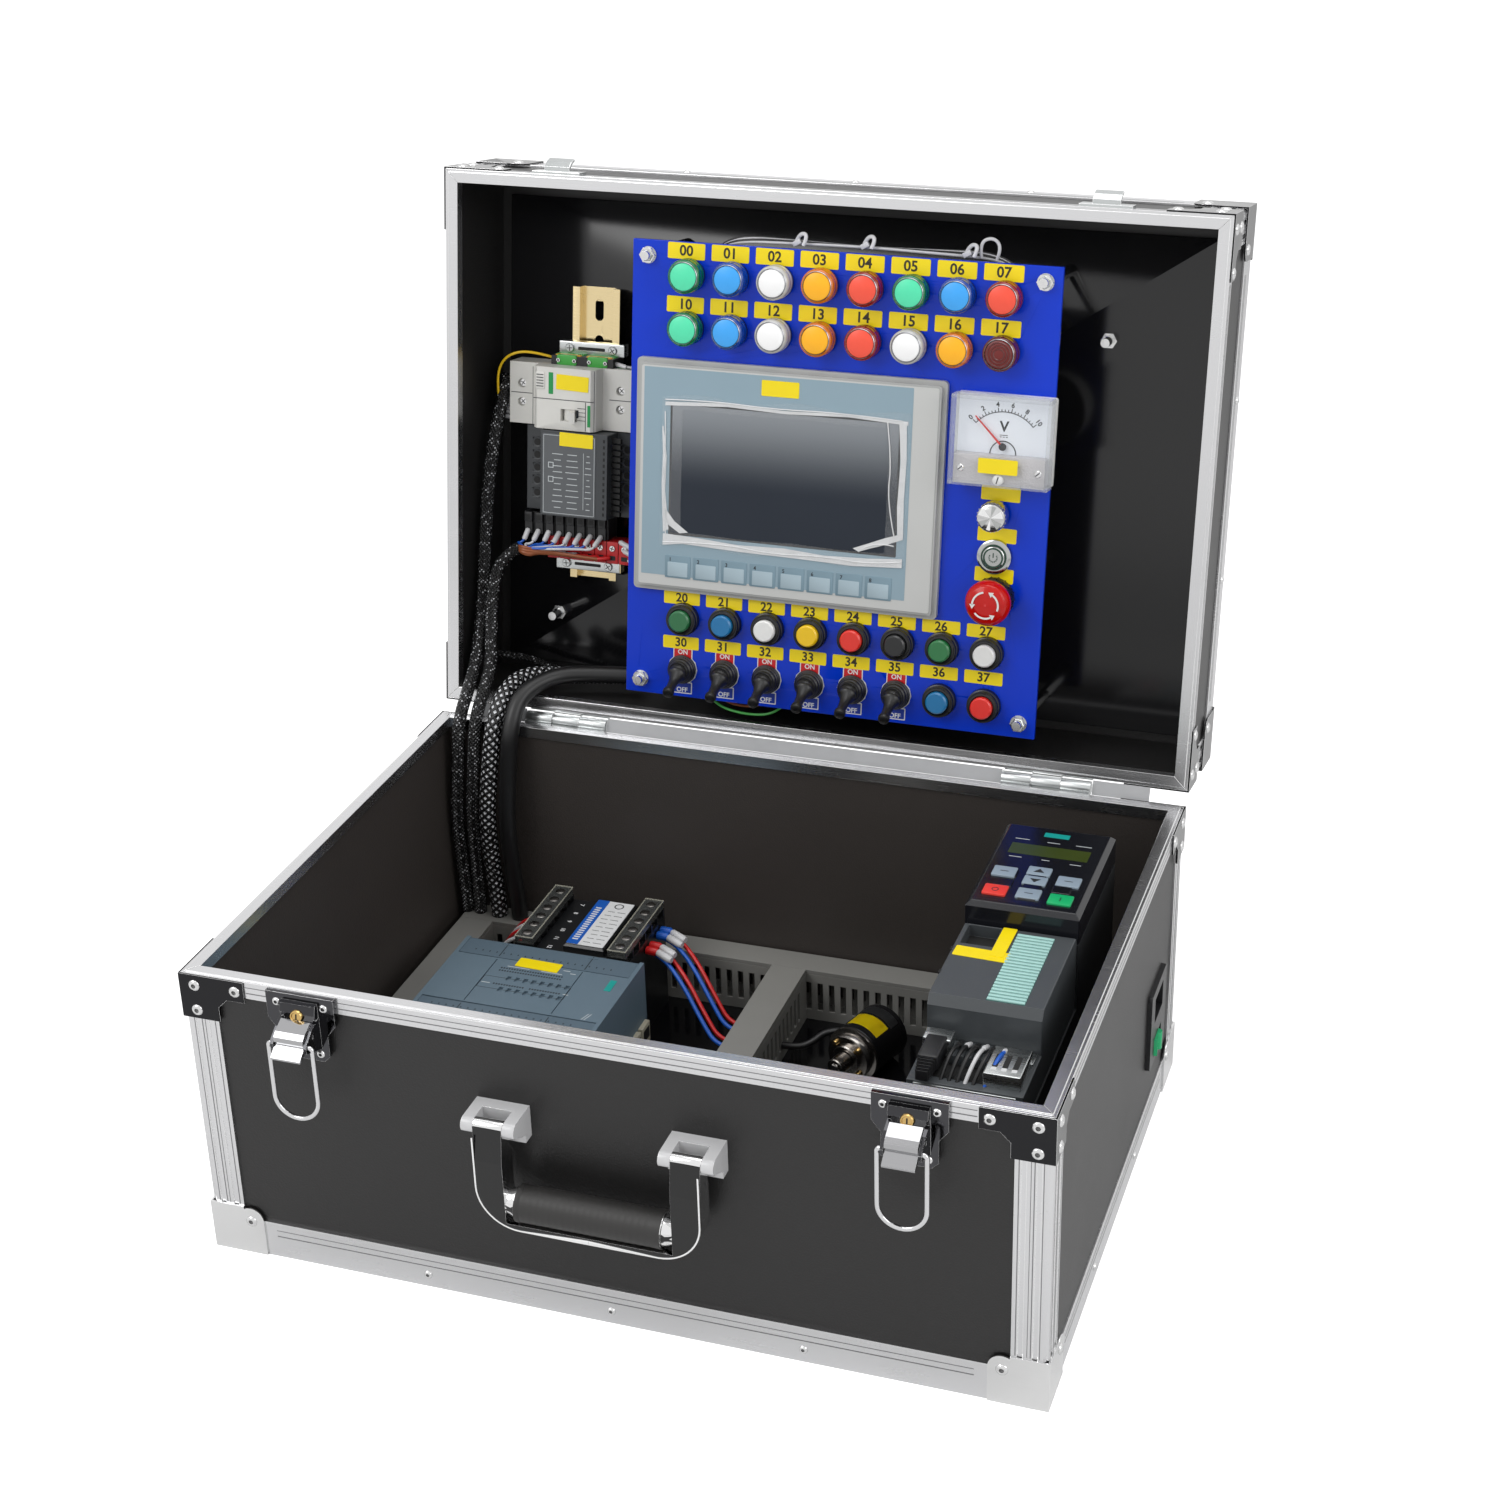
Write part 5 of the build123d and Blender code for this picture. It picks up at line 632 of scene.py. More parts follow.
def handle_curve(inset, top=137):
    """Half of the handle's outline, from the top of an arm to the middle, set in from its edge."""
    points = [(HANDLE_OUT_X - inset, top)]
    for k in range(13):
        angle = radians(90 * k / 12)
        reach = HANDLE_BEND_R - inset
        points.append((
            HANDLE_OUT_X - HANDLE_BEND_R + reach * cos(angle), HANDLE_BOTTOM + HANDLE_BEND_R - reach * sin(angle),
        ))
    return points


rim = bmesh.new()
for side in (-1, 1):
    outline = handle_curve(0) + [(0, HANDLE_BOTTOM), (0, HANDLE_BOTTOM + 3.2)] + handle_curve(1.1)[::-1]
    outline = [(side * x, z) for x, z in outline][::side]
    plate(rim, outline, 0.5, facing(0, HANDLE_FRONT_Y, 0, (0, -1, 0)), edge=0.2)
made("handle_rim_painted_highlight", rim, "carry_handle", [painted_highlight_metal], WORLD)

# Latches
# Draw latches with a key lock: a plated lever on a riveted plate pulls a wire bail over the
# keeper on the lid.
brass = bare_metal("lock_brass", (0.62, 0.42, 0.16), 0.2, amount=0.2)
# near-black for slots, holes, openings and recesses under parts: painted shade
opening_painted_shade = surface("opening_painted_shade", (0.004, 0.004, 0.004), 0.6)
# a darker copy of the polished chrome for the levers: a painted dark reflection
lever_chrome = bare_metal("lever_chrome", (0.42, 0.42, 0.43), 0.1, amount=0.1)
LATCH_X, KEY_Z, HOUSING_Y, PLATE_Y = 185, 187.0, -192.4, -188
for side, name in ((-1, "left"), (1, "right")):
    finish(f"{name}_latch_lever", lever_chrome, edge=0.8, segments=3, rim=painted_highlight_metal)
    finish(f"{name}_latch_bail", chrome)
    lock = bmesh.new()
    at = facing(side * LATCH_X, HOUSING_Y, KEY_Z, (0, -1, 0.15))
    lathe(lock, [(0, 1.2), (2.6, 1.2), (2.9, 1.8), (3.6, 1.8), (4.1, 1.2), (4.2, -1.5), (0, -1.5)], at, 28)
    # the keyhole and the plate's rivet eyes in near-black: painted shade
    slab(lock, 0.9, 3.4, 0.1, shifted(at, 0, 0, 1.2), material=1)
    for dx, dz in ((-15.3, 5), (15.3, 5), (-10.5, -27), (10.5, -27)):
        lathe(lock, RIVET, facing(side * LATCH_X + dx, PLATE_Y, KEY_Z + dz, (0, -1, 0)), 16, material=2)
        lathe(lock, RIVET_EYE, facing(side * LATCH_X + dx, PLATE_Y, KEY_Z + dz, (0, -1, 0)), 16, material=1)
    made(f"{name}_latch_lock", lock, "case_base", [brass, opening_painted_shade, steel], WORLD)

# Hinges and keepers
# Plated butt hinges behind the rim, the keepers that the bails hook on, and the grey strip
# on the hinge line that shows between the rims.
plated = bare_metal("plated_steel", (0.55, 0.57, 0.57), 0.28, amount=0.3)
finish("hinge_base_leaves", plated, edge=0.3, rim=painted_highlight_metal)
finish("lid_hardware", plated, edge=0.3, rim=painted_highlight_metal)
gap_grey = surface("gap_strip_grey", srgb(178, 179, 181), 0.45)
strip = bmesh.new()
STRIP_Y, STRIP_Z = 191.3, 201.5
for x, wide in ((0, 283), (-222, 38), (222, 38)):
    slab(strip, wide, 9.6, 0.8, facing(x, STRIP_Y, STRIP_Z, (0, -0.9, 0.44)))
made("hinge_line_strip", strip, "case_base", [gap_grey], WORLD)

# Mains inlet
# A black moulded appliance inlet with three contact blades and a green lit rocker.
inlet_black = surface("inlet_black", srgb(30, 30, 32), 0.35, patch=0.01, uneven=0.06, pebble=0.0005, bump=0.15)
rocker_green = surface(
    "rocker_green", srgb(20, 150, 96), 0.25, patch=0.006, uneven=0.06, Emission_Color=(*srgb(20, 160, 100), 1),
    Emission_Strength=0.25,
)
finish("power_inlet", inlet_black, edge=0.4)
finish("inlet_rocker", rocker_green, edge=0.3)
INLET_X, INLET_Y, SOCKET_Z = 263.5, 116, 92
contacts = bmesh.new()
for dy, dz in ((-7, -2), (7, -2), (0, 3)):
    slab(contacts, 4, 2, 12, facing(INLET_X - 14, INLET_Y + dy, SOCKET_Z + dz, (1, 0, 0)), edge=0.5)
made("inlet_contacts", contacts, "case_base", [steel], WORLD)

# Wiring ducts
# Grey slotted trunking with smooth snap-on covers.
duct_grey = surface("duct_grey", srgb(140, 139, 135), 0.45, patch=0.03, uneven=0.05, pebble=0.0004, bump=0.1)
finish("wiring_ducts", duct_grey, edge=0.25)

# Controller
# A slate-blue moulded housing with a hinged flap over the terminals at each end, rows of
# small signal lamps between moulded seams, and sockets in its right-hand side.
moulded = {"patch": 0.02, "uneven": 0.06, "pebble": 0.0005, "bump": 0.15}
controller_blue = surface("controller_slate", srgb(100, 119, 132), 0.42, **moulded)
flap_blue = surface("controller_flap_slate", srgb(90, 108, 121), 0.4, **moulded)
# a dark grey for moulded seams and marks; in the breaker's screw recesses it is painted shade
dark_marks_and_slot_shade = surface("dark_marks_and_slot_shade", srgb(30, 37, 43), 0.6, patch=0.004, uneven=0.1)
dial_ink = surface("dial_ink", srgb(30, 32, 34), 0.5, patch=0.004, uneven=0.1)
print_pale = surface("print_pale", srgb(206, 212, 214), 0.45, patch=0.004, uneven=0.06)
mint = surface("mint_plastic", srgb(24, 158, 150), 0.35, patch=0.01, uneven=0.05)
socket_beige = surface("socket_beige", srgb(186, 180, 160), 0.35, patch=0.008, uneven=0.06)
label_yellow = surface("label_yellow", srgb(255, 228, 10), 0.32, patch=0.01, uneven=0.04)
label_ink = surface("label_ink", srgb(40, 34, 16), 0.5, patch=0.004, uneven=0.1)
finish("plc_housing", controller_blue, edge=0.5)
finish("plc_front_flap", flap_blue, edge=0.4)
finish("plc_rear_flap", flap_blue, edge=0.4)
PLC_TOP, PLC_RIGHT = 90, -73


def spot(x, y, z=0.0, turn=0.0):
    """A place above the deck or on the panel, turned about its normal by degrees."""
    return Matrix.Translation((x, y, z)) @ Matrix.Rotation(radians(turn), 4, "Z")


def flattened(piece):
    """A mesh of an object's shape, in place of the object."""
    flat = bpy.data.meshes.new_from_object(piece)
    bpy.data.objects.remove(piece)
    return flat


def printed(bm, text, size, at, material=0, thick=0.12):
    """Printed figures, centred on a place."""
    curve = bpy.data.curves.new("figures", "FONT")
    curve.body, curve.size, curve.extrude, curve.resolution_u = text, size, thick / 2, 3
    curve.align_x, curve.align_y, curve.offset = "CENTER", "CENTER", size * 0.022
    flat = flattened(bpy.data.objects.new("figures", curve))
    flat.transform(at)
    for face in flat.polygons:
        face.material_index = material
    bm.from_mesh(flat)
    bpy.data.meshes.remove(flat)


def label(bm, at, text="", wide=26.0, high=10.6, size=9.6):
    """A yellow printed label with a plain number."""
    slab(bm, wide, high, 0.25, at, corner=0.9, material=0)
    if text:
        printed(bm, text, size, shifted(at, 0, 0, 0.27), 1)


controller = bmesh.new()
LAMP_DOT_PITCH = 1.9
for y, count, start in ((37.5, 24, -163), (34.2, 24, -163), (17.5, 12, -160), (17.5, 12, -134)):
    for k in range(count):
        slab(controller, 1.1, 1.5, 0.06, spot(start + LAMP_DOT_PITCH * k, y, PLC_TOP), material=0)
for x, y, wide in (
    (-152, 40.4, 16), (-128, 40.4, 15), (-166, 17.4, 6), (-108.4, 17.4, 4), (-119, 45.5, 5), (-113.6, 43, 4),
):
    slab(controller, wide, 0.6, 0.05, spot(x, y, PLC_TOP), material=1)
for x, y, wide, high in (
    (-139, 11.4, 62, 0.35), (-139, 25.6, 62, 0.35), (-170, 18.5, 0.35, 14), (-108, 18.5, 0.35, 14),
):
    slab(controller, wide, high, 0.05, spot(x, y, PLC_TOP), material=0)
slab(controller, 4.6, 13.5, 0.3, spot(-84, 36, PLC_TOP), corner=0.4, material=2)
for x in (-84, -86):
    slab(controller, 8, 0.5, 0.05, spot(x, -4, PLC_TOP, 72), material=1)
made("controller_print", controller, "case_base", [dark_marks_and_slot_shade, print_pale, mint], WORLD)
plc_label = bmesh.new()
label(plc_label, spot(-140, 47.0, PLC_TOP + 0.02, -1.5), "", 31, 11)
made("controller_label", plc_label, "case_base", [label_yellow], WORLD)
FLAP_TOP = 89.8
for end, y, inward in (("front", -19.5, 1), ("rear", 59.5, -1)):
    marks = bmesh.new()
    for x in (-171, -108.5):
        slab(marks, 0.7, 17, 0.04, spot(x, y, FLAP_TOP), material=0)
    for x in (-171, -108.5):
        slab(marks, 8, 1.1, 0.35, spot(x, y - 6.5 * inward, FLAP_TOP - 0.1), corner=0.4, edge=0.1, material=1)
    for k in range(20):
        slab(marks, 0.8, 1.6, 0.04, spot(-190 + 5.2 * k, y + 4 * inward, FLAP_TOP), material=2)
    made(f"controller_{end}_flap_marks", marks, f"plc_{end}_flap", [dark_marks_and_slot_shade, flap_blue, dark_marks_and_slot_shade], WORLD)
side = bmesh.new()
right_face = facing(PLC_RIGHT, 2, 42, (1, 0, 0))
slab(side, 58, 40, 0.15, right_face, corner=2, material=0)
# a dark panel set into the side, and the sockets' openings below, near-black: painted shade in the recesses
slab(side, 54, 34, 0.3, shifted(right_face, 0, -1, 0), corner=1, material=1)
for k in range(8):
    slab(side, 3.6, 5.0, 1.6, facing(PLC_RIGHT, 26 - 6 * k, 51, (1, 0, 0)), corner=0.6, edge=0.3, material=2)
for y in (44, 60):
    at = facing(PLC_RIGHT, y, 40, (1, 0, 0))
    slab(side, 13.5, 15.5, 3.2, at, corner=0.6, edge=0.4, material=3)
    slab(side, 10.5, 8.5, 0.1, shifted(at, 0, 0.5, 3.2), corner=0.4, material=1)
made("controller_sockets", side, "case_base", [controller_blue, opening_painted_shade, dark_marks_and_slot_shade, socket_beige], WORLD)

# Signal isolator
# A black module with a printed label block, between two screw terminal strips under clear
# guards.
module_black = surface(
    "module_black", srgb(24, 25, 27), 0.3, patch=0.015, uneven=0.08, pebble=0.0005, bump=0.15
)
print_blue = surface("print_blue", srgb(24, 92, 186), 0.35, patch=0.01, uneven=0.05)
print_white = surface("print_white", srgb(226, 227, 228), 0.35, patch=0.01, uneven=0.05)
clear_guard = surface(
    "clear_guard", srgb(206, 210, 204), 0.06, patch=0.02, uneven=0.04, Alpha=0.07, Coat_Weight=0.3
)
guard_edge = surface("guard_edge", srgb(214, 212, 196), 0.12, patch=0.01, uneven=0.06, Alpha=0.35)
screw_dark = bare_metal("dulled_steel", (0.2, 0.19, 0.18), 0.3)
finish("signal_isolator", module_black, edge=0.3)
ISOLATOR_X, ISOLATOR_Y, ISOLATOR_L, ISOLATOR_TOP, GUARD_TOP, WAY_PITCH = -130, 113.5, 73, 88, 91.0, 11.83
block = bmesh.new()
slab(block, 27, 61, 0.2, spot(ISOLATOR_X + 8, ISOLATOR_Y, ISOLATOR_TOP), corner=0.6, material=0)
slab(block, 8.6, 61, 0.12, spot(ISOLATOR_X - 1.2, ISOLATOR_Y, ISOLATOR_TOP + 0.2), corner=0.5, material=1)
for k in range(16):
    slab(block, 4.2, 1.5, 0.06, spot(ISOLATOR_X - 1.2, ISOLATOR_Y - 24 + 2.9 * k, 88.32), material=0)
for k in range(9):
    for x, wide in ((ISOLATOR_X + 8, 5), (ISOLATOR_X + 15.5, 6)):
        slab(block, wide, 0.5, 0.05, spot(x + (k % 3) * 0.6, ISOLATOR_Y - 26 + 5.4 * k, 88.2), material=2)
ring = [(2.6, 88.2), (2.6, 88.28), (3.4, 88.28), (3.4, 88.2), (2.6, 88.2)]
lathe(block, ring, spot(ISOLATOR_X + 12, ISOLATOR_Y + 25, 0), 24, 2)
for k in range(6):
    printed(block, str(12 - k), 4.4, spot(ISOLATOR_X - 18.5, ISOLATOR_Y - 29 + 11.8 * k, 82.1, -90), 0, 0.06)
made("isolator_print", block, "case_base", [print_white, print_blue, dial_ink], WORLD)
guards, screws = bmesh.new(), bmesh.new()
for side_x in (ISOLATOR_X - 34.2, ISOLATOR_X + 34.2):
    slab(guards, 13.6, ISOLATOR_L + 0.6, 4.9, spot(side_x, ISOLATOR_Y, 86.3), corner=0.5, edge=0.4, material=0)
    for dx in (-6.4, 6.4):
        slab(guards, 0.7, ISOLATOR_L + 0.8, 0.7, spot(side_x + dx, ISOLATOR_Y, GUARD_TOP), edge=0.2, material=1)
    for dy in (-ISOLATOR_L / 2, ISOLATOR_L / 2):
        slab(guards, 13.6, 0.8, 0.7, spot(side_x, ISOLATOR_Y + dy, GUARD_TOP), edge=0.2, material=1)
    for k in range(6):
        y = ISOLATOR_Y - 29.6 + WAY_PITCH * k
        at = spot(side_x, y, 80, 40 * k)
        lathe(screws, [(0, 1.6), (2.6, 1.5), (3.4, 0.7), (3.5, -0.4), (0, -0.4)], at, 20)
        # the screw's slot, near-black: painted shade
        slab(screws, 5.4, 0.8, 0.06, shifted(at, 0, 0, 1.58), material=1)
        slab(screws, 10.6, 8.2, 0.5, spot(side_x, y, 79.9), corner=0.5, edge=0.15, material=2)
        slab(screws, 13.4, 2.0, 6.0, spot(side_x, ISOLATOR_Y - 23.7 + WAY_PITCH * k, 80.0), material=3)
        lathe(screws, [(0, 91.75), (2.9, 91.7), (3.5, 91.3), (3.5, 91.2), (0, 91.2)], spot(side_x, y, 0), 20, 2)
made("isolator_guards", guards, "case_base", [clear_guard, guard_edge], WORLD)
made("isolator_screws", screws, "case_base", [steel, opening_painted_shade, screw_dark, module_black], WORLD)

# Encoder
# A black anodised rotary encoder with a yellow label, a bright flange with brass screws and a
# fluted coupling on its flatted shaft.
anodised = surface("black_anodised", srgb(22, 22, 24), 0.26, patch=0.01, uneven=0.06, pebble=0.0003, Metallic=0.3)
flange_steel = bare_metal("flange_steel", (0.34, 0.32, 0.3), 0.2, amount=0.3)
finish("encoder_housing", anodised, edge=0.3)
finish("encoder_shaft", steel, edge=0.2)
ENCODER_X, ENCODER_Y, ENCODER_Z, ENCODER_L, ENCODER_R = 72, 112, 29, 36, 19.12
ENCODER_AXIS = Vector((-sin(radians(18)), -cos(radians(18)), 0))
encoder_face = facing(*(Vector((ENCODER_X, ENCODER_Y, ENCODER_Z)) + ENCODER_AXIS * ENCODER_L / 2), ENCODER_AXIS)
encoder = bmesh.new()
FLANGE = [
    (0, 0.1), (19.3, 0.1), (19.5, 0.9), (19.3, 2.4), (16.3, 2.8), (16.3, 7.4), (15.7, 8.2), (10.3, 8.3),
    (10.3, 10.6), (9.6, 11.2), (3.3, 11.2), (3.3, 8.6), (0, 8.6),
]
lathe(encoder, FLANGE, encoder_face, 48, 0)
for k in range(4):
    angle = radians(45 + 90 * k)
    at = shifted(encoder_face, 13 * cos(angle), 13 * sin(angle), 8.1)
    lathe(encoder, [(0, 2.4), (1.9, 2.4), (2.2, 1.8), (2.2, -0.4), (0, -0.4)], at, 16, 1)
    # the screw's slot, near-black: painted shade
    slab(encoder, 2.6, 0.6, 0.06, shifted(at, 0, 0, 2.4), material=2)
for z in (-3.5, -32.6):
    band = [(18.6, z), (19.25, z + 0.2), (19.25, z + 1.4), (18.6, z + 1.6), (18.6, z)]
    lathe(encoder, band, encoder_face, 48, 3)
made("encoder_flange", encoder, "case_base", [flange_steel, brass, opening_painted_shade, anodised], WORLD)
encoder_label = bmesh.new()
for start, sweep, low, high, material in ((44, 78, -20, -6, 0), (40, 100, -31.5, -22, 1)):
    part = bmesh.new()
    stretch = Matrix.Diagonal((1, high - low, 1, 1))
    bmesh.ops.create_grid(part, x_segments=16, y_segments=1, size=0.5, matrix=stretch)
    for v in part.verts:
        angle = radians(start + sweep * (v.co.x + 0.5))
        v.co = Vector((ENCODER_R * cos(angle), ENCODER_R * sin(angle), v.co.y + (low + high) / 2))
    bmesh.ops.solidify(part, geom=part.faces[:], thickness=0.12)
    settle(encoder_label, part, encoder_face, material, True)
label_black = surface("label_black", srgb(46, 47, 48), 0.4)
made("encoder_label", encoder_label, "case_base", [label_yellow, label_black], WORLD)
coupling = bmesh.new()
ring_line = [(3.05, 12.0)]
for k in range(6):
    z = 12.0 + 1.7 * k
    ring_line += [(6.4, z + 0.1), (6.4, z + 1.0), (5.4, z + 1.2), (5.4, z + 1.6)]
ring_line += [(6.2, 22.4), (5.8, 23.2), (3.05, 23.2), (3.05, 12.0)]
lathe(coupling, ring_line, encoder_face, 32, 0)
made("encoder_coupling", coupling, "encoder_shaft", [flange_steel], WORLD)

# Inverter
# A dark grey power unit on a finned heat sink, a control unit with a ribbed mint label, and
# a gloss keypad with soft keys and a small display.
coarse = {"patch": 0.02, "uneven": 0.06, "pebble": 0.0006, "bump": 0.2}
inverter_dark = surface("inverter_dark_grey", srgb(40, 42, 44), 0.4, **coarse)
inverter_mid = surface("inverter_mid_grey", srgb(70, 74, 77), 0.42, **coarse)
keypad_dark = surface("keypad_dark", srgb(25, 26, 31), 0.16, patch=0.02, uneven=0.06, pebble=0.0005, bump=0.1)
key_grey = surface("key_grey", srgb(142, 158, 172), 0.4, patch=0.008, uneven=0.05)
key_red = surface("key_red", srgb(232, 60, 48), 0.4, patch=0.008, uneven=0.05)
key_green = surface("key_green", srgb(8, 176, 104), 0.4, patch=0.008, uneven=0.05)
mint_pale = surface("mint_pale", srgb(172, 216, 210), 0.38, patch=0.01, uneven=0.05)
screen_green = surface("keypad_screen", srgb(58, 70, 24), 0.3, patch=0.03, uneven=0.2)
wire_coat = surface("wire_coat", srgb(26, 26, 28), 0.42, patch=0.01, uneven=0.06)
finish("inverter_power_unit", inverter_dark, edge=0.6)
finish("inverter_control_unit", inverter_mid, edge=0.6)
finish("inverter_keypad", keypad_dark, edge=0.5)
DRIVE_X, DRIVE_TOP, CONTROL_TOP, DRIVE_FRONT, KEY_THICK = 201, 214.5, 201, -132, 1.35
keys = bmesh.new()
slab(keys, 61, 97, 0.12, spot(DRIVE_X, 54, DRIVE_TOP), corner=2.5, material=0)
slab(keys, 50, 13.4, 0.1, spot(DRIVE_X, 73.5, DRIVE_TOP + 0.12), corner=0.4, material=4)
slab(keys, 16, 5.4, 0.2, spot(DRIVE_X, 95, DRIVE_TOP + 0.1), corner=0.4, material=5)
for x, y, wide, high, material in (
    (-20.5, 41, 14.6, 12, 1), (0, 46.5, 14.6, 10.4, 1), (0, 34.5, 14.6, 10.4, 1), (20, 38.5, 14.6, 12, 1),
    (-20.5, 17.5, 14.6, 12, 2), (0, 18, 14.6, 12, 1), (20, 16, 14.6, 12, 3),
):
    at = spot(DRIVE_X + x, y, DRIVE_TOP)
    slab(keys, wide, high, KEY_THICK, at, corner=1.0, edge=0.4, material=material)
    on_key = shifted(at, 0, 0, KEY_THICK)
    if x == 0 and y > 30:
        tip = 1 if y > 40 else -1
        plate(keys, [(-3.4, -1.8 * tip), (3.4, -1.8 * tip), (0, 2.6 * tip)][::tip], 0.06, on_key, material=6)
    elif x > 0 and y < 30:
        slab(keys, 0.7, 4.4, 0.06, on_key, material=6)
    elif x < 0 and y < 30:
        ring = [(1.6, 1.35), (1.6, 1.41), (2.2, 1.41), (2.2, 1.35), (1.6, 1.35)]
        lathe(keys, ring, at, 20, 6)
    else:
        slab(keys, 5.2, 0.7, 0.06, on_key, material=6)
for x, y, wide in ((-20, 86, 9), (0, 85.6, 8), (19, 86, 10), (-19, 62.6, 8), (0, 62.6, 5), (19, 61.6, 7)):
    slab(keys, wide, 0.6, 0.05, spot(DRIVE_X + x, y, DRIVE_TOP + 0.1), material=7)
made(
    "keypad_face", keys, "case_base",
    [keypad_dark, key_grey, key_red, key_green, screen_green, mint, dial_ink, print_pale], WORLD,
)
drive = bmesh.new()
for k in range(22):
    at = spot(DRIVE_X + 11, -81.5 + 3.5 * k, CONTROL_TOP - 0.05)
    slab(drive, 22.4, 2.3, 0.9, at, corner=0.4, edge=0.3, material=0)
slab(drive, 23, 77.5, 0.15, spot(DRIVE_X + 11, -44.7, CONTROL_TOP - 0.1), material=1)
# near-black marks in the recesses and along a joint: painted shade
slab(drive, 19, 21, 0.3, spot(DRIVE_X - 21, -14, CONTROL_TOP - 7.9), material=2)
for y in (-33, -60):
    slab(drive, 1.2, 4, 1.2, spot(DRIVE_X - 34, y, CONTROL_TOP - 1), material=2)
slab(drive, 66, 0.5, 0.1, spot(DRIVE_X, -84, CONTROL_TOP - 3), material=2)
mint_shadow = surface("mint_shadow", srgb(44, 84, 80), 0.5)
made("inverter_labels", drive, "case_base", [mint_pale, mint_shadow, opening_painted_shade], WORLD)
drive_label = bmesh.new()
label(drive_label, spot(DRIVE_X - 15.5, -35, CONTROL_TOP + 0.05, -2), "", 33, 11)
slab(drive_label, 8.6, 34, 0.25, spot(DRIVE_X - 6, -19, CONTROL_TOP + 0.35, -1), corner=0.7)
made("inverter_label", drive_label, "case_base", [label_yellow], WORLD)
frontal = bmesh.new()


def in_front(x, z, out=0.0):
    """A place on the inverter's front, from its middle and the deck."""
    return facing(DRIVE_X + x, DRIVE_FRONT - out, z, (0, -1, 0))


slab(frontal, 60, 22, 1.2, in_front(0, 160), corner=0.6, edge=0.3, material=0)
slab(frontal, 34, 20, 3.0, in_front(16, 132), corner=0.8, edge=0.5, material=0)
# near-black openings and strips on the front: painted shade
for k in range(4):
    slab(frontal, 3.0, 11, 0.1, in_front(6 + 5 * k, 130, 3.0), corner=0.6, material=1)
for k in range(9):
    slab(frontal, 4.6, 7, 2.6, in_front(5.5 * k - 22, 163, 1.2), corner=0.4, edge=0.4, material=2)
    slab(frontal, 2.6, 2.6, 0.1, in_front(5.5 * k - 22, 164, 3.8), corner=0.3, material=1)
slab(frontal, 12, 15, 8, in_front(-27, 142), corner=1.5, edge=1.0, material=2)
for k in range(7):
    slab(frontal, 6.4, 46, 0.6, in_front(9.66 * k - 29, 86), corner=0.5, material=1)
made("inverter_terminals", frontal, "case_base", [plated, opening_painted_shade, inverter_dark], WORLD)
ledge = bmesh.new()
for k in range(10):
    slab(ledge, 4.0, 8, 7, spot(DRIVE_X - 24.5 + 4.6 * k, -102, 161), corner=0.4, edge=0.4, material=0)
slab(ledge, 26, 13, 9, spot(DRIVE_X - 12, -118, 160), corner=0.8, edge=0.6, material=1)
slab(ledge, 8, 5, 2, spot(DRIVE_X + 12, -118, 161), corner=0.4, edge=0.3, material=2)
made("inverter_ledge_terminals", ledge, "case_base", [inverter_mid, plated, key_red], WORLD)
cradle = bmesh.new()
slab(cradle, 64, 12, 2.2, spot(DRIVE_X, -95, 172), corner=0.6, edge=0.4, material=0)
slab(cradle, 22, 30, 9, spot(DRIVE_X + 20, -112, 172), corner=1, edge=0.8, material=0)
# near-black strips on the cradle: painted shade
for k in range(3):
    slab(cradle, 3.2, 16, 0.1, spot(DRIVE_X + 14 + 6 * k, -114, 181), corner=0.6, material=1)
    slab(cradle, 3.2, 3, 0.12, spot(DRIVE_X + 14 + 6 * k, -121, 181), corner=0.4, material=3)
slab(cradle, 17, 12, 11, spot(DRIVE_X - 24, -98, 172), corner=1, edge=0.8, material=0)
slab(cradle, 12.5, 24, 9, spot(DRIVE_X - 24, -112, 175), corner=2, edge=1.5, material=2)
for k in range(5):
    at = spot(DRIVE_X - 24, -125.5 - 2.4 * k, 175)
    slab(cradle, 10 - 0.6 * k, 1.6, 8.4 - 0.5 * k, at, corner=1.5, edge=0.6, material=2)
# a near-black sheet under the cradle: painted shade
slab(cradle, 60, 30, 0.3, spot(DRIVE_X, -110, 171.9), corner=0.4, material=1)
for k in range(10):
    at = spot(DRIVE_X - 13 + 4.7 * (k % 5), -98 - 9 * (k // 5), 172)
    slab(cradle, 4.4, 7, 6, at, corner=0.4, edge=0.5, material=4)
made("inverter_cradle", cradle, "case_base", [plated, opening_painted_shade, wire_coat, print_white, inverter_mid], WORLD)

# Mounting board
# A gloss black board in the lid, on which the rail stands and the standoffs are bolted.
board_black = surface("mounting_board_gloss", srgb(20, 20, 22), 0.12, patch=0.08, uneven=0.06)
finish("mounting_board", board_black, edge=0.5)
finish("panel_standoffs", steel, edge=0.2)

# Control panel
# A blue powder-coated plate on standoffs, held by washers and nuts. Its places carry yellow
# printed labels with plain numbers.
panel_blue = surface(
    "panel_blue", srgb(0, 56, 206), 0.18, patch=0.05, uneven=0.05, pebble=0.0008, bump=0.04, Specular_IOR_Level=0.3,
)
finish("control_panel", panel_blue, edge=0.4)
PANEL_U, PANEL_V = 16.5, 177
OPERATOR_U, OPERATOR_PITCH = -87, 30.5
LAMP_U, LAMP_PITCH, LAMP_ROWS = -88.5, 30.6, (310.5, 276)
BUTTON_V, SWITCH_V = 77.5, 41.8

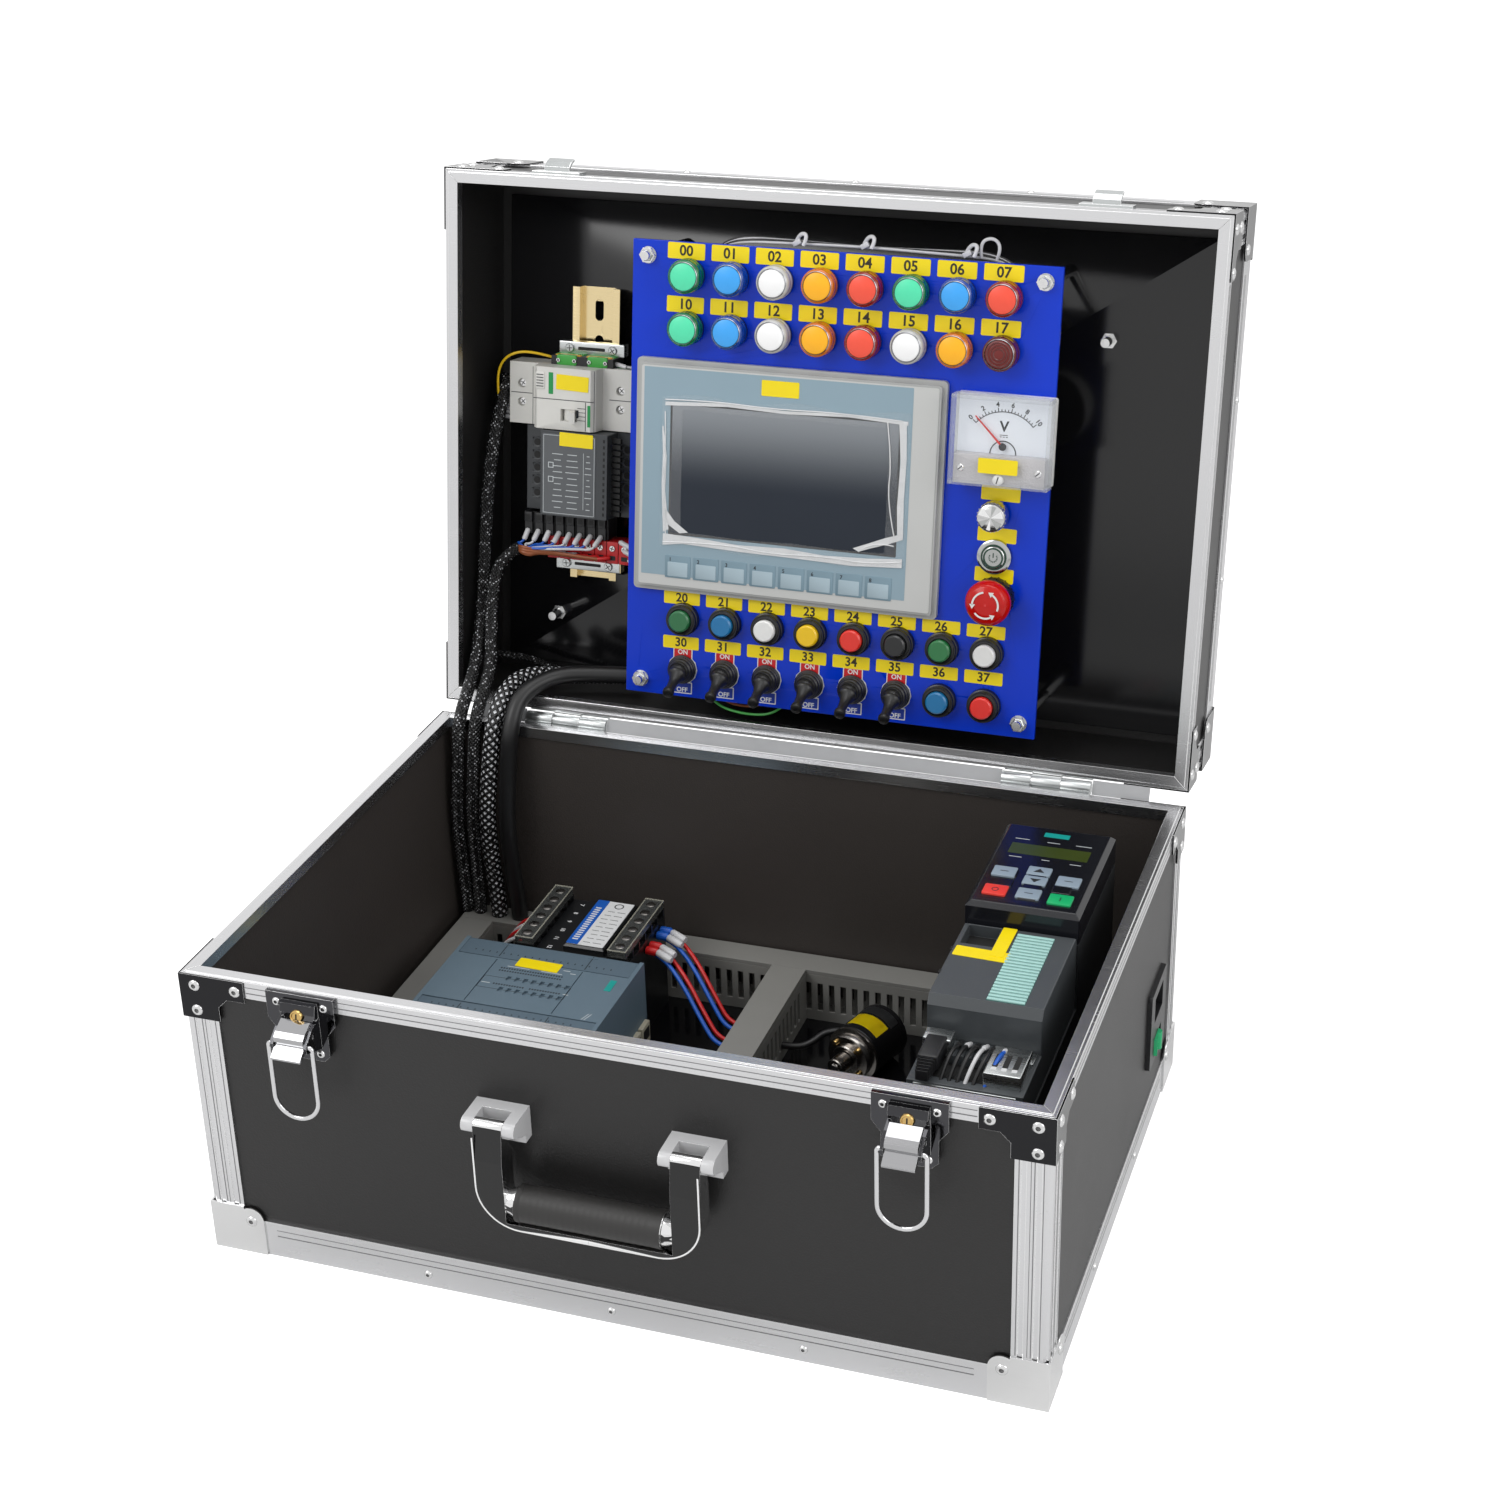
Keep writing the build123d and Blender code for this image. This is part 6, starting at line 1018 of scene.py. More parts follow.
labels = bmesh.new()
for v, first in ((326.0, 0), (291.0, 10)):
    for i in range(8):
        label(labels, spot(LAMP_U + LAMP_PITCH * i - 2.4, v, 0, -0.5), f"{first + i:02d}")
for v, first in ((91.8, 20), (60.4, 30)):
    for i in range(8):
        at = spot(OPERATOR_U + OPERATOR_PITCH * i - 1.6, v, 0, (0.6, -0.4)[i % 2])
        label(labels, at, f"{first + i:02d}", 26, 8.8, 8.6)
for u, v, wide in ((129.5, 184.6, 26), (128.5, 157.2, 26), (128, 130.3, 26)):
    label(labels, spot(u, v, 0, -1), "", wide, 9.6)
made("panel_labels", labels, "case_lid", [label_yellow, label_ink])

WASHER = [(3.0, 0), (5.6, 0), (5.6, 0.8), (3.0, 0.8)]
NUT = [(0, 0.8), (4.5, 0.8), (4.5, 3.4), (3.9, 3.9), (2.3, 3.9), (2.3, 6.0), (1.9, 6.4), (0, 6.4)]
fixings = bmesh.new()
for su in (-1, 1):
    for sv in (-1, 1):
        at = spot(PANEL_U + su * 134, PANEL_V + sv * 145, 0, 12 * su + 17 * sv)
        lathe(fixings, WASHER, at, 32)
        lathe(fixings, NUT, at, 6)
        # the nut's slot, near-black: painted shade
        slab(fixings, 2.4, 0.6, 0.05, shifted(at, 0, 0, 6.4), material=1)
made("panel_fixings", fixings, "case_lid", [plated, opening_painted_shade], soft=30)

# Pilot lamps
# Black lamp bodies with ribbed coloured lenses and a paler diffusing disc in the front. The
# last is a buzzer with rings round its sound holes.
finish("pilot_lamps", surface("lamp_black", srgb(20, 20, 22), 0.35, patch=0.01, uneven=0.06), edge=0.3)
LENSES = {
    "green": ((4, 112, 66), (84, 222, 172)), "blue": ((6, 66, 160), (62, 164, 240)),
    "white": ((196, 196, 192), (246, 246, 246)), "amber": ((214, 112, 10), (252, 180, 26)),
    "red": ((140, 18, 14), (240, 84, 62)), "dark_red": ((92, 18, 16), (112, 26, 22)),
}
lens_materials = []
for colour, (body, face) in LENSES.items():
    lens_materials.append(surface(
        f"lens_{colour}", srgb(*body), 0.16, patch=0.004, uneven=0.12, Coat_Weight=0.6,
    ))
    lens_materials.append(surface(
        f"diffuser_{colour}", srgb(*face), 0.35, patch=0.006, uneven=0.06, Emission_Color=(*srgb(*face), 1),
        Emission_Strength=0.0 if colour == "dark_red" else 0.12,
    ))
lens_rim = bare_metal("lens_rim", (0.34, 0.34, 0.36), 0.25)
lens_materials.append(lens_rim)
LAMP_ORDER = (
    ("green", "blue", "white", "amber", "red", "green", "blue", "red"),
    ("green", "blue", "white", "amber", "red", "white", "amber", "dark_red"),
)
LENS_BODY = [
    (11.0, 2.2), (11.3, 2.8), (11.3, 5.0), (11.0, 5.4), (11.0, 6.2), (11.2, 6.6), (11.2, 11.2), (10.5, 12.3),
    (9.7, 12.6), (9.3, 12.2), (0, 12.2), (0, 11.4),
]
DIFFUSER = [(0, 13.05), (8.2, 13.0), (8.9, 12.6), (9.0, 11.8), (0, 11.8)]
LENS_RING = [(9.1, 12.3), (9.5, 12.9), (9.9, 12.5), (9.5, 12.1), (9.1, 12.3)]
lenses = bmesh.new()
for v, colours in zip(LAMP_ROWS, LAMP_ORDER):
    for i, colour in enumerate(colours):
        at = spot(LAMP_U + LAMP_PITCH * i, v)
        index = 2 * list(LENSES).index(colour)
        lathe(lenses, LENS_BODY, at, 40, index)
        lathe(lenses, DIFFUSER, at, 40, index + 1)
        lathe(lenses, LENS_RING, at, 40, len(lens_materials) - 1)
        if colour == "dark_red":
            for radius in (3, 5, 7):
                ring = [(radius, 13.0), (radius + 0.3, 13.35), (radius + 0.8, 13.35), (radius + 1.1, 13.0)]
                lathe(lenses, ring + ring[:1], at, 40, index)
made("lamp_lenses", lenses, "case_lid", lens_materials)

# Push buttons
# Black threaded collars round sprung coloured caps.
collar_black = surface("collar_black", srgb(19, 19, 21), 0.3, patch=0.008, uneven=0.08)
finish("operator_collars", collar_black, edge=0.5)
CAP_COLOURS = (
    (38, 112, 66), (16, 118, 176), (244, 244, 242), (250, 204, 4), (238, 48, 34), (22, 23, 25), (38, 120, 66),
    (240, 240, 238), (14, 116, 172), (236, 40, 30),
)
cap_materials = {}
for number, colour in enumerate(CAP_COLOURS, 1):
    if colour not in cap_materials:
        cap_materials[colour] = surface(
            f"cap_{number}", srgb(*colour), 0.3, patch=0.006, uneven=0.06, Coat_Weight=0.3
        )
    finish(f"push_button_{number}", cap_materials[colour], edge=0.9, segments=3)
BUTTON_RING = [
    (7.65, 5.4), (7.7, 7.0), (8.3, 7.6), (9.4, 7.4), (10.2, 6.4), (10.4, 4.4), (11.2, 4.0), (11.4, 0.1),
    (10.4, 0.1), (10.4, 3.0), (7.65, 5.4),
]
BUTTON_PLACES = [(i, BUTTON_V) for i in range(8)] + [(6, SWITCH_V), (7, SWITCH_V)]
rings = bmesh.new()
for i, v in BUTTON_PLACES:
    lathe(rings, BUTTON_RING, spot(OPERATOR_U + OPERATOR_PITCH * i, v), 40)
made("button_rings", rings, "case_lid", [collar_black])

# Toggle switches
# Bat levers under ribbed rubber boots, on white plates printed with a red ON and a plain OFF.
boot_rubber = surface("boot_rubber", srgb(20, 20, 21), 0.38, patch=0.006, uneven=0.1, pebble=0.0006, bump=0.12)
plate_white = surface("plate_white", srgb(236, 236, 234), 0.35, patch=0.01, uneven=0.04)
plate_red = surface("plate_red", srgb(206, 24, 34), 0.35, patch=0.01, uneven=0.04)
plate_blue = surface("plate_blue", srgb(8, 50, 160), 0.35, patch=0.01, uneven=0.04)
BOOT_BASE = [
    (0, 0.3), (9.9, 0.3), (10.1, 0.9), (10.0, 2.2), (9.2, 2.8), (9.5, 3.4), (9.4, 4.6), (8.7, 5.2), (8.8, 6.2),
    (8.3, 7.2), (7.5, 7.8), (7.4, 8.6), (6.6, 9.6), (5.4, 9.4), (0, 8.6),
]
LEVER_SLEEVE = [
    (0, -6.2), (3.6, -5.2), (5.8, -2.6), (6.4, 0.5), (6.3, 2.2), (5.9, 3.0), (6.1, 4.2), (5.2, 5.2),
    (5.0, 6.2), (4.3, 7.4), (4.1, 9.0), (3.5, 10.4), (3.2, 14.0), (3.1, 19.5), (3.7, 20.6), (4.0, 22.4),
    (3.6, 24.2), (2.4, 24.9), (1.7, 24.95), (1.5, 24.5), (0, 24.5),
]
switch_plates = bmesh.new()
boots = bmesh.new()
TOGGLE_TIP = radians(25)
for i in range(6):
    u = OPERATOR_U + OPERATOR_PITCH * i
    for v, wide, back, text, shift in (
        (SWITCH_V + 10.6, 12.5, 1, "ON", 1.4), (SWITCH_V - 13.2, 13, 2, "OFF", -1.6),
    ):
        slab(switch_plates, wide + 1.4, 8.4, 0.2, spot(u, v), corner=0.5)
        slab(switch_plates, wide, 7.0, 0.26, spot(u, v), corner=0.4, material=back)
        printed(switch_plates, text, 4.6, spot(u, v + shift, 0.3), 0)
    lathe(switch_plates, [(0, 0.05), (10.8, 0.05), (10.8, 0.22), (0, 0.22)], spot(u, SWITCH_V), 12)
    lathe(boots, BOOT_BASE, spot(u, SWITCH_V), 40)
    lever = bmesh.new()
    lathe(lever, LEVER_SLEEVE, spot(u, SWITCH_V, 7.2) @ Matrix.Rotation(TOGGLE_TIP, 4, "X"), 28)
    node = f"toggle_lever_{i + 1}"
    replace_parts(made(f"toggle_sleeve_{i + 1}", lever, node, [boot_rubber]), node)
made("switch_plates", switch_plates, "case_lid", [plate_white, plate_red, plate_blue])
made("switch_boots", boots, "case_lid", [boot_rubber])

# Knob, power button and stop button
# A turned aluminium knob, a steel button with a lit ring, and a red mushroom button that is
# twisted to release it, with white arrows round its head.
turned = bare_metal("turned_aluminium", (0.62, 0.62, 0.62), 0.16, line=0.0003, amount=0.5, bump=0.3)
button_steel = bare_metal("button_steel", (0.46, 0.47, 0.46), 0.14, amount=0.3)
stop_red = surface("stop_red", srgb(200, 16, 10), 0.16, patch=0.008, uneven=0.06, Specular_IOR_Level=0.35)
ring_green = surface("ring_green", srgb(20, 62, 44), 0.25, patch=0.004, uneven=0.06)
finish("analogue_knob", turned, edge=0.9, segments=3, rim=painted_highlight_metal)
finish("power_button", button_steel, edge=0.4, rim=painted_highlight_metal)
finish("emergency_stop", stop_red, edge=3.4, segments=6)
KNOB, POWER, STOP, STOP_TOP = (127, 171), (128, 143), (129, 115.5), 25.0
knob_cap = bmesh.new()
lathe(knob_cap, [(0, 15.2), (8.2, 15.3), (8.9, 14.8), (8.9, 13.6), (0, 13.6)], spot(*KNOB), 48)
for turn in range(24):
    flute = shifted(spot(*KNOB, 3.6, turn * 15), 9.5, 0, 0)
    slab(knob_cap, 0.8, 0.7, 9.5, flute, corner=0.2)
# wedges of a brighter and a darker metal on the knob's top: painted radial highlights and reflections
for turn, half_wide, material in (
    (20, 2.4, 1), (75, 1.6, 2), (150, 2.8, 1), (215, 2.0, 2), (262, 1.4, 1), (320, 2.6, 2),
):
    wedge = [(0.2, 0), (7.9, -half_wide), (8.1, 0), (7.9, half_wide)]
    plate(knob_cap, wedge, 0.12, spot(*KNOB, 15.22, turn), material=material)
made("knob_knurling", knob_cap, "analogue_knob", [turned, painted_highlight_metal, button_steel])
power_ring = bmesh.new()
POWER_RING = [(7.9, 2.6), (8.1, 4.0), (9.6, 4.3), (11.4, 3.4), (11.6, 0.1), (7.9, 0.1), (7.9, 2.6)]
lathe(power_ring, POWER_RING, spot(*POWER), 44)
lathe(power_ring, [(7.5, 3.4), (7.55, 4.4), (8.6, 4.4), (8.7, 3.4), (7.5, 3.4)], spot(*POWER), 44, 1)
made("power_button_ring", power_ring, "case_lid", [button_steel, ring_green])
power_mark = bmesh.new()
lathe(power_mark, [(5.6, 5.5), (5.6, 5.75), (6.7, 5.75), (6.7, 5.5), (5.6, 5.5)], spot(*POWER), 44)
slab(power_mark, 0.7, 3.2, 0.25, spot(POWER[0], POWER[1] + 1.6, 5.55), corner=0.2)
for turn in range(-5, 6):
    dash = shifted(spot(*POWER, 5.55, 180 + turn * 24), 0, 2.7, 0)
    slab(power_mark, 0.7, 0.9, 0.22, dash, corner=0.2)
made("power_button_mark", power_mark, "power_button", [ring_green])


def arc_band(bm, inner, outer, start, sweep, at, material=0, thick=0.15, steps=12):
    """A flat ring segment, from an angle and over a sweep in degrees."""
    points = []
    for radius, order in ((outer, range(steps + 1)), (inner, range(steps, -1, -1))):
        for k in order:
            angle = radians(start + sweep * k / steps)
            points.append((radius * cos(angle), radius * sin(angle)))
    plate(bm, points, thick, at, material=material)


stop_arrows = bmesh.new()
for k in range(3):
    start = 100 + 120 * k
    arc_band(stop_arrows, 8.0, 9.2, start, 82, spot(*STOP, STOP_TOP))
    head = shifted(spot(*STOP, STOP_TOP, start + 80), 8.6, 0, 0)
    plate(stop_arrows, [(-2.0, -0.2), (1.9, -0.2), (0, 2.9)], 0.15, head)
made("stop_arrows", stop_arrows, "emergency_stop", [plate_white])
stop_collar = bmesh.new()
STOP_COLLAR = [(10, 0.1), (13.6, 0.1), (13.6, 6.6), (12.8, 8.2), (10.5, 8.4), (10, 8.0), (10, 0.1)]
lathe(stop_collar, STOP_COLLAR, spot(*STOP), 44)
for k in range(18):
    rib = shifted(spot(*STOP, 0.6, k * 20), 13.7, 0, 0)
    slab(stop_collar, 1.0, 1.2, 5.6, rib, corner=0.3)
made("stop_collar_grip", stop_collar, "case_lid", [collar_black])

# Panel meter
# A clear moulded case over a white dial, with a fluted cover under the dial, two screws and
# a zero adjuster.
METER_U, METER_V, METER_W, METER_H, METER_OUT, DIAL_N = 131, 221, 66, 58.5, 20, 8
clear_case = surface(
    "meter_clear_case", srgb(212, 216, 222), 0.08, patch=0.02, uneven=0.03, Alpha=0.3, Coat_Weight=0.3
)
clear_window = surface("meter_window", srgb(240, 244, 250), 0.03, patch=0.02, uneven=0.03, Alpha=0.03)
dial_card = surface("dial_card", srgb(238, 243, 250), 0.5, patch=0.02, uneven=0.02)
cover_grey = surface("meter_cover", srgb(196, 194, 196), 0.3, patch=0.006, uneven=0.06, pebble=0.0012, bump=0.5)
needle_black = surface("needle_black", srgb(24, 24, 26), 0.3)
needle_red = surface("needle_red", srgb(214, 40, 34), 0.35, patch=0.004, uneven=0.06)
meter_body = bmesh.new()
slab(meter_body, METER_W - 1, METER_H - 1, DIAL_N - 0.3, spot(METER_U, METER_V), corner=1.5, edge=0.5)
lathe(meter_body, [(0, -29.8), (26, -29.8), (26, -3.2), (0, -3.2)], spot(METER_U, METER_V), 40)
slab(meter_body, METER_W - 5.4, 36, 0.3, spot(METER_U, 229.9, DIAL_N - 0.3), material=1)
slab(meter_body, METER_W - 5.6, 19.2, 8.6, spot(METER_U, 202.2, DIAL_N - 0.2), corner=0.6, edge=1.2, material=2)
METER_SCREW = [(0, 0.7), (1.9, 0.7), (2.4, 0.2), (2.4, -0.5), (0, -0.5)]
METER_ADJUSTER = [(0, 3.3), (2.7, 3.1), (3.5, 2.4), (3.6, -0.5), (0, -0.5)]
for du in (-25.5, 25.5):
    lathe(meter_body, METER_SCREW, spot(METER_U + du, 202.5, 16.4), 24, 3)
    # the screws' and the adjuster's slots, near-black: painted shade
    slab(meter_body, 3.6, 0.7, 0.06, spot(METER_U + du, 202.5, 17.1, 40), material=4)
lathe(meter_body, METER_ADJUSTER, spot(METER_U, 196.8, 16.4), 32, 5)
slab(meter_body, 4.6, 0.7, 0.06, spot(METER_U, 196.8, 19.65, 75), material=4)
meter_piece = made(
    "meter_body", meter_body, "case_lid", [plate_white, dial_card, cover_grey, steel, opening_painted_shade, plate_white]
)
meter_label = bmesh.new()
label(meter_label, spot(METER_U, 205.8, 20.02), "", 26, 9.8)
made("meter_label", meter_label, "case_lid", [label_yellow])
meter_shell = bmesh.new()
for u, v, wide, high in (
    (METER_U, METER_V + 27.9, METER_W, 2.6), (METER_U, METER_V - 27.9, METER_W, 2.6),
    (METER_U - 31.7, METER_V, 2.6, METER_H), (METER_U + 31.7, METER_V, 2.6, METER_H),
):
    slab(meter_shell, wide, high, METER_OUT - DIAL_N, spot(u, v, DIAL_N), corner=0.8, edge=0.7)
made("meter_shell", meter_shell, "case_lid", [clear_case])
window = bmesh.new()
slab(window, METER_W - 5.2, METER_H - 5.4, 1.4, spot(METER_U, METER_V, METER_OUT - 1.6), corner=0.5, edge=0.3)
made("meter_pane", window, "case_lid", [clear_window])
dial = bmesh.new()
SCALE_V, SCALE_R = 214, 25
arc_band(dial, SCALE_R, SCALE_R + 0.5, 42, 96, spot(METER_U, SCALE_V, DIAL_N + 0.02), thick=0.1, steps=24)
for tick in range(21):
    long = 3.0 if tick % 4 == 0 else 1.8
    at = spot(METER_U, SCALE_V, DIAL_N + 0.02, 42 + 4.8 * tick)
    slab(dial, long, 0.5, 0.1, shifted(at, SCALE_R + long / 2, 0, 0))
for k in range(6):
    angle = radians(138 - 19.2 * k)
    at = spot(METER_U + 30 * cos(angle), SCALE_V + 30 * sin(angle), DIAL_N + 0.04, 48 - 19.2 * k)
    printed(dial, str(2 * k), 4.4, at)
printed(dial, "V", 9.5, spot(METER_U, SCALE_V + 15.5, DIAL_N + 0.04))
slab(dial, 5.4, 0.4, 0.1, spot(METER_U, SCALE_V + 10.2, DIAL_N + 0.02))
for k in (-1, 0, 1):
    slab(dial, 1.2, 0.4, 0.1, spot(METER_U + 2 * k, SCALE_V + 9.0, DIAL_N + 0.02))
arc_band(dial, 8.2, 8.8, 0, 180, spot(METER_U, 211.9, DIAL_N + 0.05), thick=0.2, steps=18)
dial_piece = made("meter_dial_marks", dial, "case_lid", [dial_ink])
for piece in (meter_piece, dial_piece):
    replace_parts(piece, "panel_meter")
pointer = bmesh.new()
pivot = spot(METER_U, 217, DIAL_N + 2, 45)
plate(pointer, [(-0.7, 0), (0.7, 0), (0.35, 26.5), (-0.35, 26.5)], 0.6, pivot)
lathe(pointer, [(0, 0.9), (2.1, 0.8), (2.5, 0.4), (2.5, 0), (0, 0)], pivot, 24, 1)
lathe(pointer, [(0, 0), (1, 0), (1, -5.4), (0, -5.4)], pivot, 16, 1)
needle = made("meter_pointer", pointer, "meter_needle", [needle_red, needle_black])
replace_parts(needle, "meter_needle")

# Operator terminal
# A pale moulded bezel round a grey-blue printed foil, with eight membrane keys under the
# display and a loose protective film still on it.
bezel_pale = surface("terminal_bezel", srgb(176, 177, 176), 0.38, patch=0.03, uneven=0.04, pebble=0.0005, bump=0.1)
foil = surface("terminal_foil", srgb(146, 170, 183), 0.3, patch=0.06, uneven=0.05, pebble=0.0006, bump=0.08)
foil_dark = surface("foil_keys", srgb(126, 152, 166), 0.32, patch=0.02, uneven=0.05)
foil_pale = surface("foil_key_face", srgb(172, 192, 202), 0.3, patch=0.02, uneven=0.05)
face_silver = surface("terminal_face", srgb(204, 205, 203), 0.3, patch=0.06, uneven=0.04)
display = surface("display_glass", srgb(44, 50, 60), 0.22, patch=0.16, uneven=0.16, Specular_IOR_Level=0.2)
film = surface("protective_film", srgb(236, 238, 240), 0.2, patch=0.05, uneven=0.05, Alpha=0.05)
# the display grows paler towards its top: a painted reflection on its glass
tree = display.node_tree
heights = wired(tree, "ShaderNodeSeparateXYZ", None, [(0, wired(tree, "ShaderNodeTexCoord").outputs["Object"])])
rise = wired(tree, "ShaderNodeMapRange", None, [
    (0, heights.outputs[2]), (1, 0.375), (2, 0.44),
], interpolation_type="SMOOTHSTEP")
base = tree.nodes["Principled BSDF"].inputs["Base Color"]
display_painted_reflection = mixed_by(tree, "RGBA", rise.outputs[0], base.links[0].from_socket, (*srgb(150, 155, 160), 1))
tree.links.new(display_painted_reflection, base)
finish("operator_terminal", bezel_pale, edge=0.9, segments=3)
TERMINAL_U, TERMINAL_V, TERMINAL_OUT = -15.5, 176, 7
front = bmesh.new()
slab(front, 205, 149, 0.3, spot(TERMINAL_U, TERMINAL_V, TERMINAL_OUT), corner=1.5, material=0)
slab(front, 186, 141, 0.15, spot(TERMINAL_U - 7.5, TERMINAL_V + 3, TERMINAL_OUT + 0.3), corner=0.5, material=1)
slab(front, 160, 90, 0.12, spot(TERMINAL_U - 1.5, TERMINAL_V + 6, TERMINAL_OUT + 0.45), corner=0.8, material=3)
slab(front, 157, 87, 0.1, spot(TERMINAL_U - 1.5, TERMINAL_V + 6, TERMINAL_OUT + 0.55), corner=0.3, material=4)
for i in range(8):
    at = spot(TERMINAL_U - 74 + 20.2 * i, TERMINAL_V - 61, TERMINAL_OUT + 0.45)
    slab(front, 18.4, 15.6, 0.3, at, corner=0.8, edge=0.15, material=2)
    slab(front, 14.4, 9.8, 0.2, shifted(at, 0, -1.8, 0.3), corner=0.5, edge=0.1, material=7)
    printed(front, str(i + 1), 3.6, shifted(at, -5.5, 4.8, 0.3), 5, 0.06)
slab(front, 26, 10.5, 0.25, spot(TERMINAL_U - 5, TERMINAL_V + 65.5, TERMINAL_OUT + 0.46), corner=0.8, material=6)
made("terminal_front", front, "case_lid", [
    face_silver, foil, foil_dark, dial_ink, display, dial_ink, label_yellow, foil_pale,
])
FILM_U, FILM_V, FILM_HALF_W, FILM_HALF_H = TERMINAL_U - 1, TERMINAL_V + 4.5, 86, 51
stretch = Matrix.Diagonal((2 * FILM_HALF_W, 2 * FILM_HALF_H, 1, 1))
sheet = bmesh.new()
bmesh.ops.create_grid(sheet, x_segments=72, y_segments=44, size=0.5, matrix=stretch)
for v in sheet.verts:
    rim = max(abs(v.co.x / FILM_HALF_W), abs(v.co.y / FILM_HALF_H))
    lift = max(0, rim - 0.86) * 6
    wave = 0.8 + 0.5 * sin(v.co.x * 0.23 + 1.3) * cos(v.co.y * 0.31)
    v.co.z = 0.25 + lift * wave + 0.18 * sin(v.co.x * 0.11 + v.co.y * 0.19)
    v.co.y += 1.6 * rim ** 6 * sin(v.co.x * 0.09 + 0.7)
covered = []
for face in sheet.faces:
    middle = face.calc_center_median()
    if max(abs(middle.x) / FILM_HALF_W, abs(middle.y) / FILM_HALF_H) < 0.82:
        covered.append(face)
bmesh.ops.delete(sheet, geom=covered, context="FACES")
bmesh.ops.transform(sheet, matrix=spot(FILM_U, FILM_V, TERMINAL_OUT + 0.75), verts=sheet.verts)
film_piece = made("display_film", sheet, "case_lid", [film], soft=70)
skin = film_piece.modifiers.new("film_thickness", "SOLIDIFY")
skin.thickness = 0.0001


def spline_curve(name, points, closeness=12, radius=0.0, sides=2):
    """A curve of one smooth spline through points, round where it has a radius."""
    curve = bpy.data.curves.new(name, "CURVE")
    curve.dimensions, curve.resolution_u = "3D", closeness
    curve.bevel_depth, curve.bevel_resolution = radius, sides
    spline = curve.splines.new("NURBS")
    spline.points.add(len(points) - 1)
    for knot, point in zip(spline.points, points):
        knot.co = (*point, 1)
    spline.order_u = 3
    spline.use_endpoint_u = True
    return bpy.data.objects.new(name, curve)


wrinkles = bmesh.new()
for points in (
    ((-84, -49), (-40, -46), (-8, -50), (30, -47.5), (62, -50), (84, -46)),
    ((70, 46), (74, 20), (72, -6), (78, -30)), ((-84, 48), (-50, 49.5), (-10, 47.5), (40, 49), (80, 47)),
    ((-84, 40), (-83, 10), (-84.5, -20), (-82, -44)), ((56, -40), (66, -34), (78, -36)),
):
    lifted = [(FILM_U + x, FILM_V + y, TERMINAL_OUT + 1.2) for x, y in points]
    flat = flattened(spline_curve("crease", lifted, radius=0.45))
    wrinkles.from_mesh(flat)
    bpy.data.meshes.remove(flat)
FOLDS = (
    (
        (-84, -43), (-60, -44), (-30, -46), (2, -45), (30, -47), (60, -46), (84, -44), (84, -50), (50, -52),
        (10, -51), (-30, -50.5), (-70, -49), (-84, -51),
    ),
    ((50, -40), (60, -36), (72, -31), (84, -27), (84, -31), (74, -35), (62, -39), (54, -42)),
    ((78, 45), (80, 20), (79, -10), (80, -28), (84, -28), (83.4, -6), (84, 22), (83, 45)),
    (
        (-84, 44), (-40, 46.4), (0, 45), (44, 46.6), (84, 44.5), (84, 47), (40, 48.4), (0, 47),
        (-44, 48.6), (-84, 46.5),
    ),
    ((-85, 30), (-82.4, 10), (-83, -14), (-80, -40), (-84, -42), (-85.6, -10), (-85, 12), (-86, 30)),
    ((-84, -24), (-76, -34), (-66, -41), (-72, -42), (-80, -37), (-84, -30)),
)
for outline in FOLDS:
    plate(wrinkles, outline[::-1], 0.2, spot(FILM_U, FILM_V, TERMINAL_OUT + 1.0))
crease_white = surface("film_crease", srgb(246, 247, 248), 0.2, patch=0.01, uneven=0.1, Alpha=0.72)
made("film_creases", wrinkles, "case_lid", [crease_white])

# Rail, breaker, supply and terminals
# A slotted yellow-zinc rail between two plated clamps carries the green and yellow earth
# terminals, a two-pole breaker, the power supply, and a black and a red terminal row.
rail_zinc = bare_metal("yellow_zinc", srgb(226, 206, 160), 0.2, amount=0.3)
breaker_white = surface("breaker_white", srgb(222, 221, 216), 0.42, patch=0.02, uneven=0.05, pebble=0.0005, bump=0.1)
supply_grey = surface("supply_grey", srgb(62, 65, 68), 0.4, **coarse)
supply_face = surface("supply_face", srgb(92, 95, 98), 0.36, patch=0.02, uneven=0.05)
terminal_black = surface("terminal_black", srgb(30, 30, 32), 0.45, patch=0.01, uneven=0.08)
terminal_red = surface("terminal_red", srgb(196, 30, 34), 0.4, patch=0.01, uneven=0.08)
earth_green = surface("earth_green", srgb(70, 170, 72), 0.4, patch=0.01, uneven=0.06)
earth_yellow = surface("earth_yellow", srgb(240, 180, 24), 0.4, patch=0.01, uneven=0.06)
mark_green = surface("mark_green", srgb(24, 146, 76), 0.4, patch=0.01, uneven=0.05)
WIRE_LOOKS = (
    ("white", (214, 214, 216), 0.35, 0.05), ("red", (206, 28, 30), 0.35, 0.05),
    ("blue", (22, 92, 196), 0.35, 0.05), ("black", (20, 20, 21), 0.4, 0.05),
    ("brown", (150, 84, 48), 0.4, 0.06), ("green", (64, 170, 70), 0.4, 0.06),
    ("yellow", (240, 196, 20), 0.4, 0.06),
)
WIRES = [
    surface(f"wire_{name}", srgb(*colour), rough, patch=0.01, uneven=uneven)
    for name, colour, rough, uneven in WIRE_LOOKS
]
WHITE, RED, BLUE, BLACK, BROWN, GREEN, YELLOW = range(7)
finish("din_rail", rail_zinc, edge=0.3)
finish("breaker_body", breaker_white, edge=0.5)
finish("breaker_lever", breaker_white, edge=0.5)
finish("power_supply", supply_grey, edge=0.5)
finish("terminal_blocks", terminal_black, edge=0.3)
RAIL_U, RAIL_FRONT, BREAKER_U, BREAKER_V = -180, -63.5, -190, 215.5
SUPPLY_U, SUPPLY_V, SUPPLY_N = -182, 163, -29.7


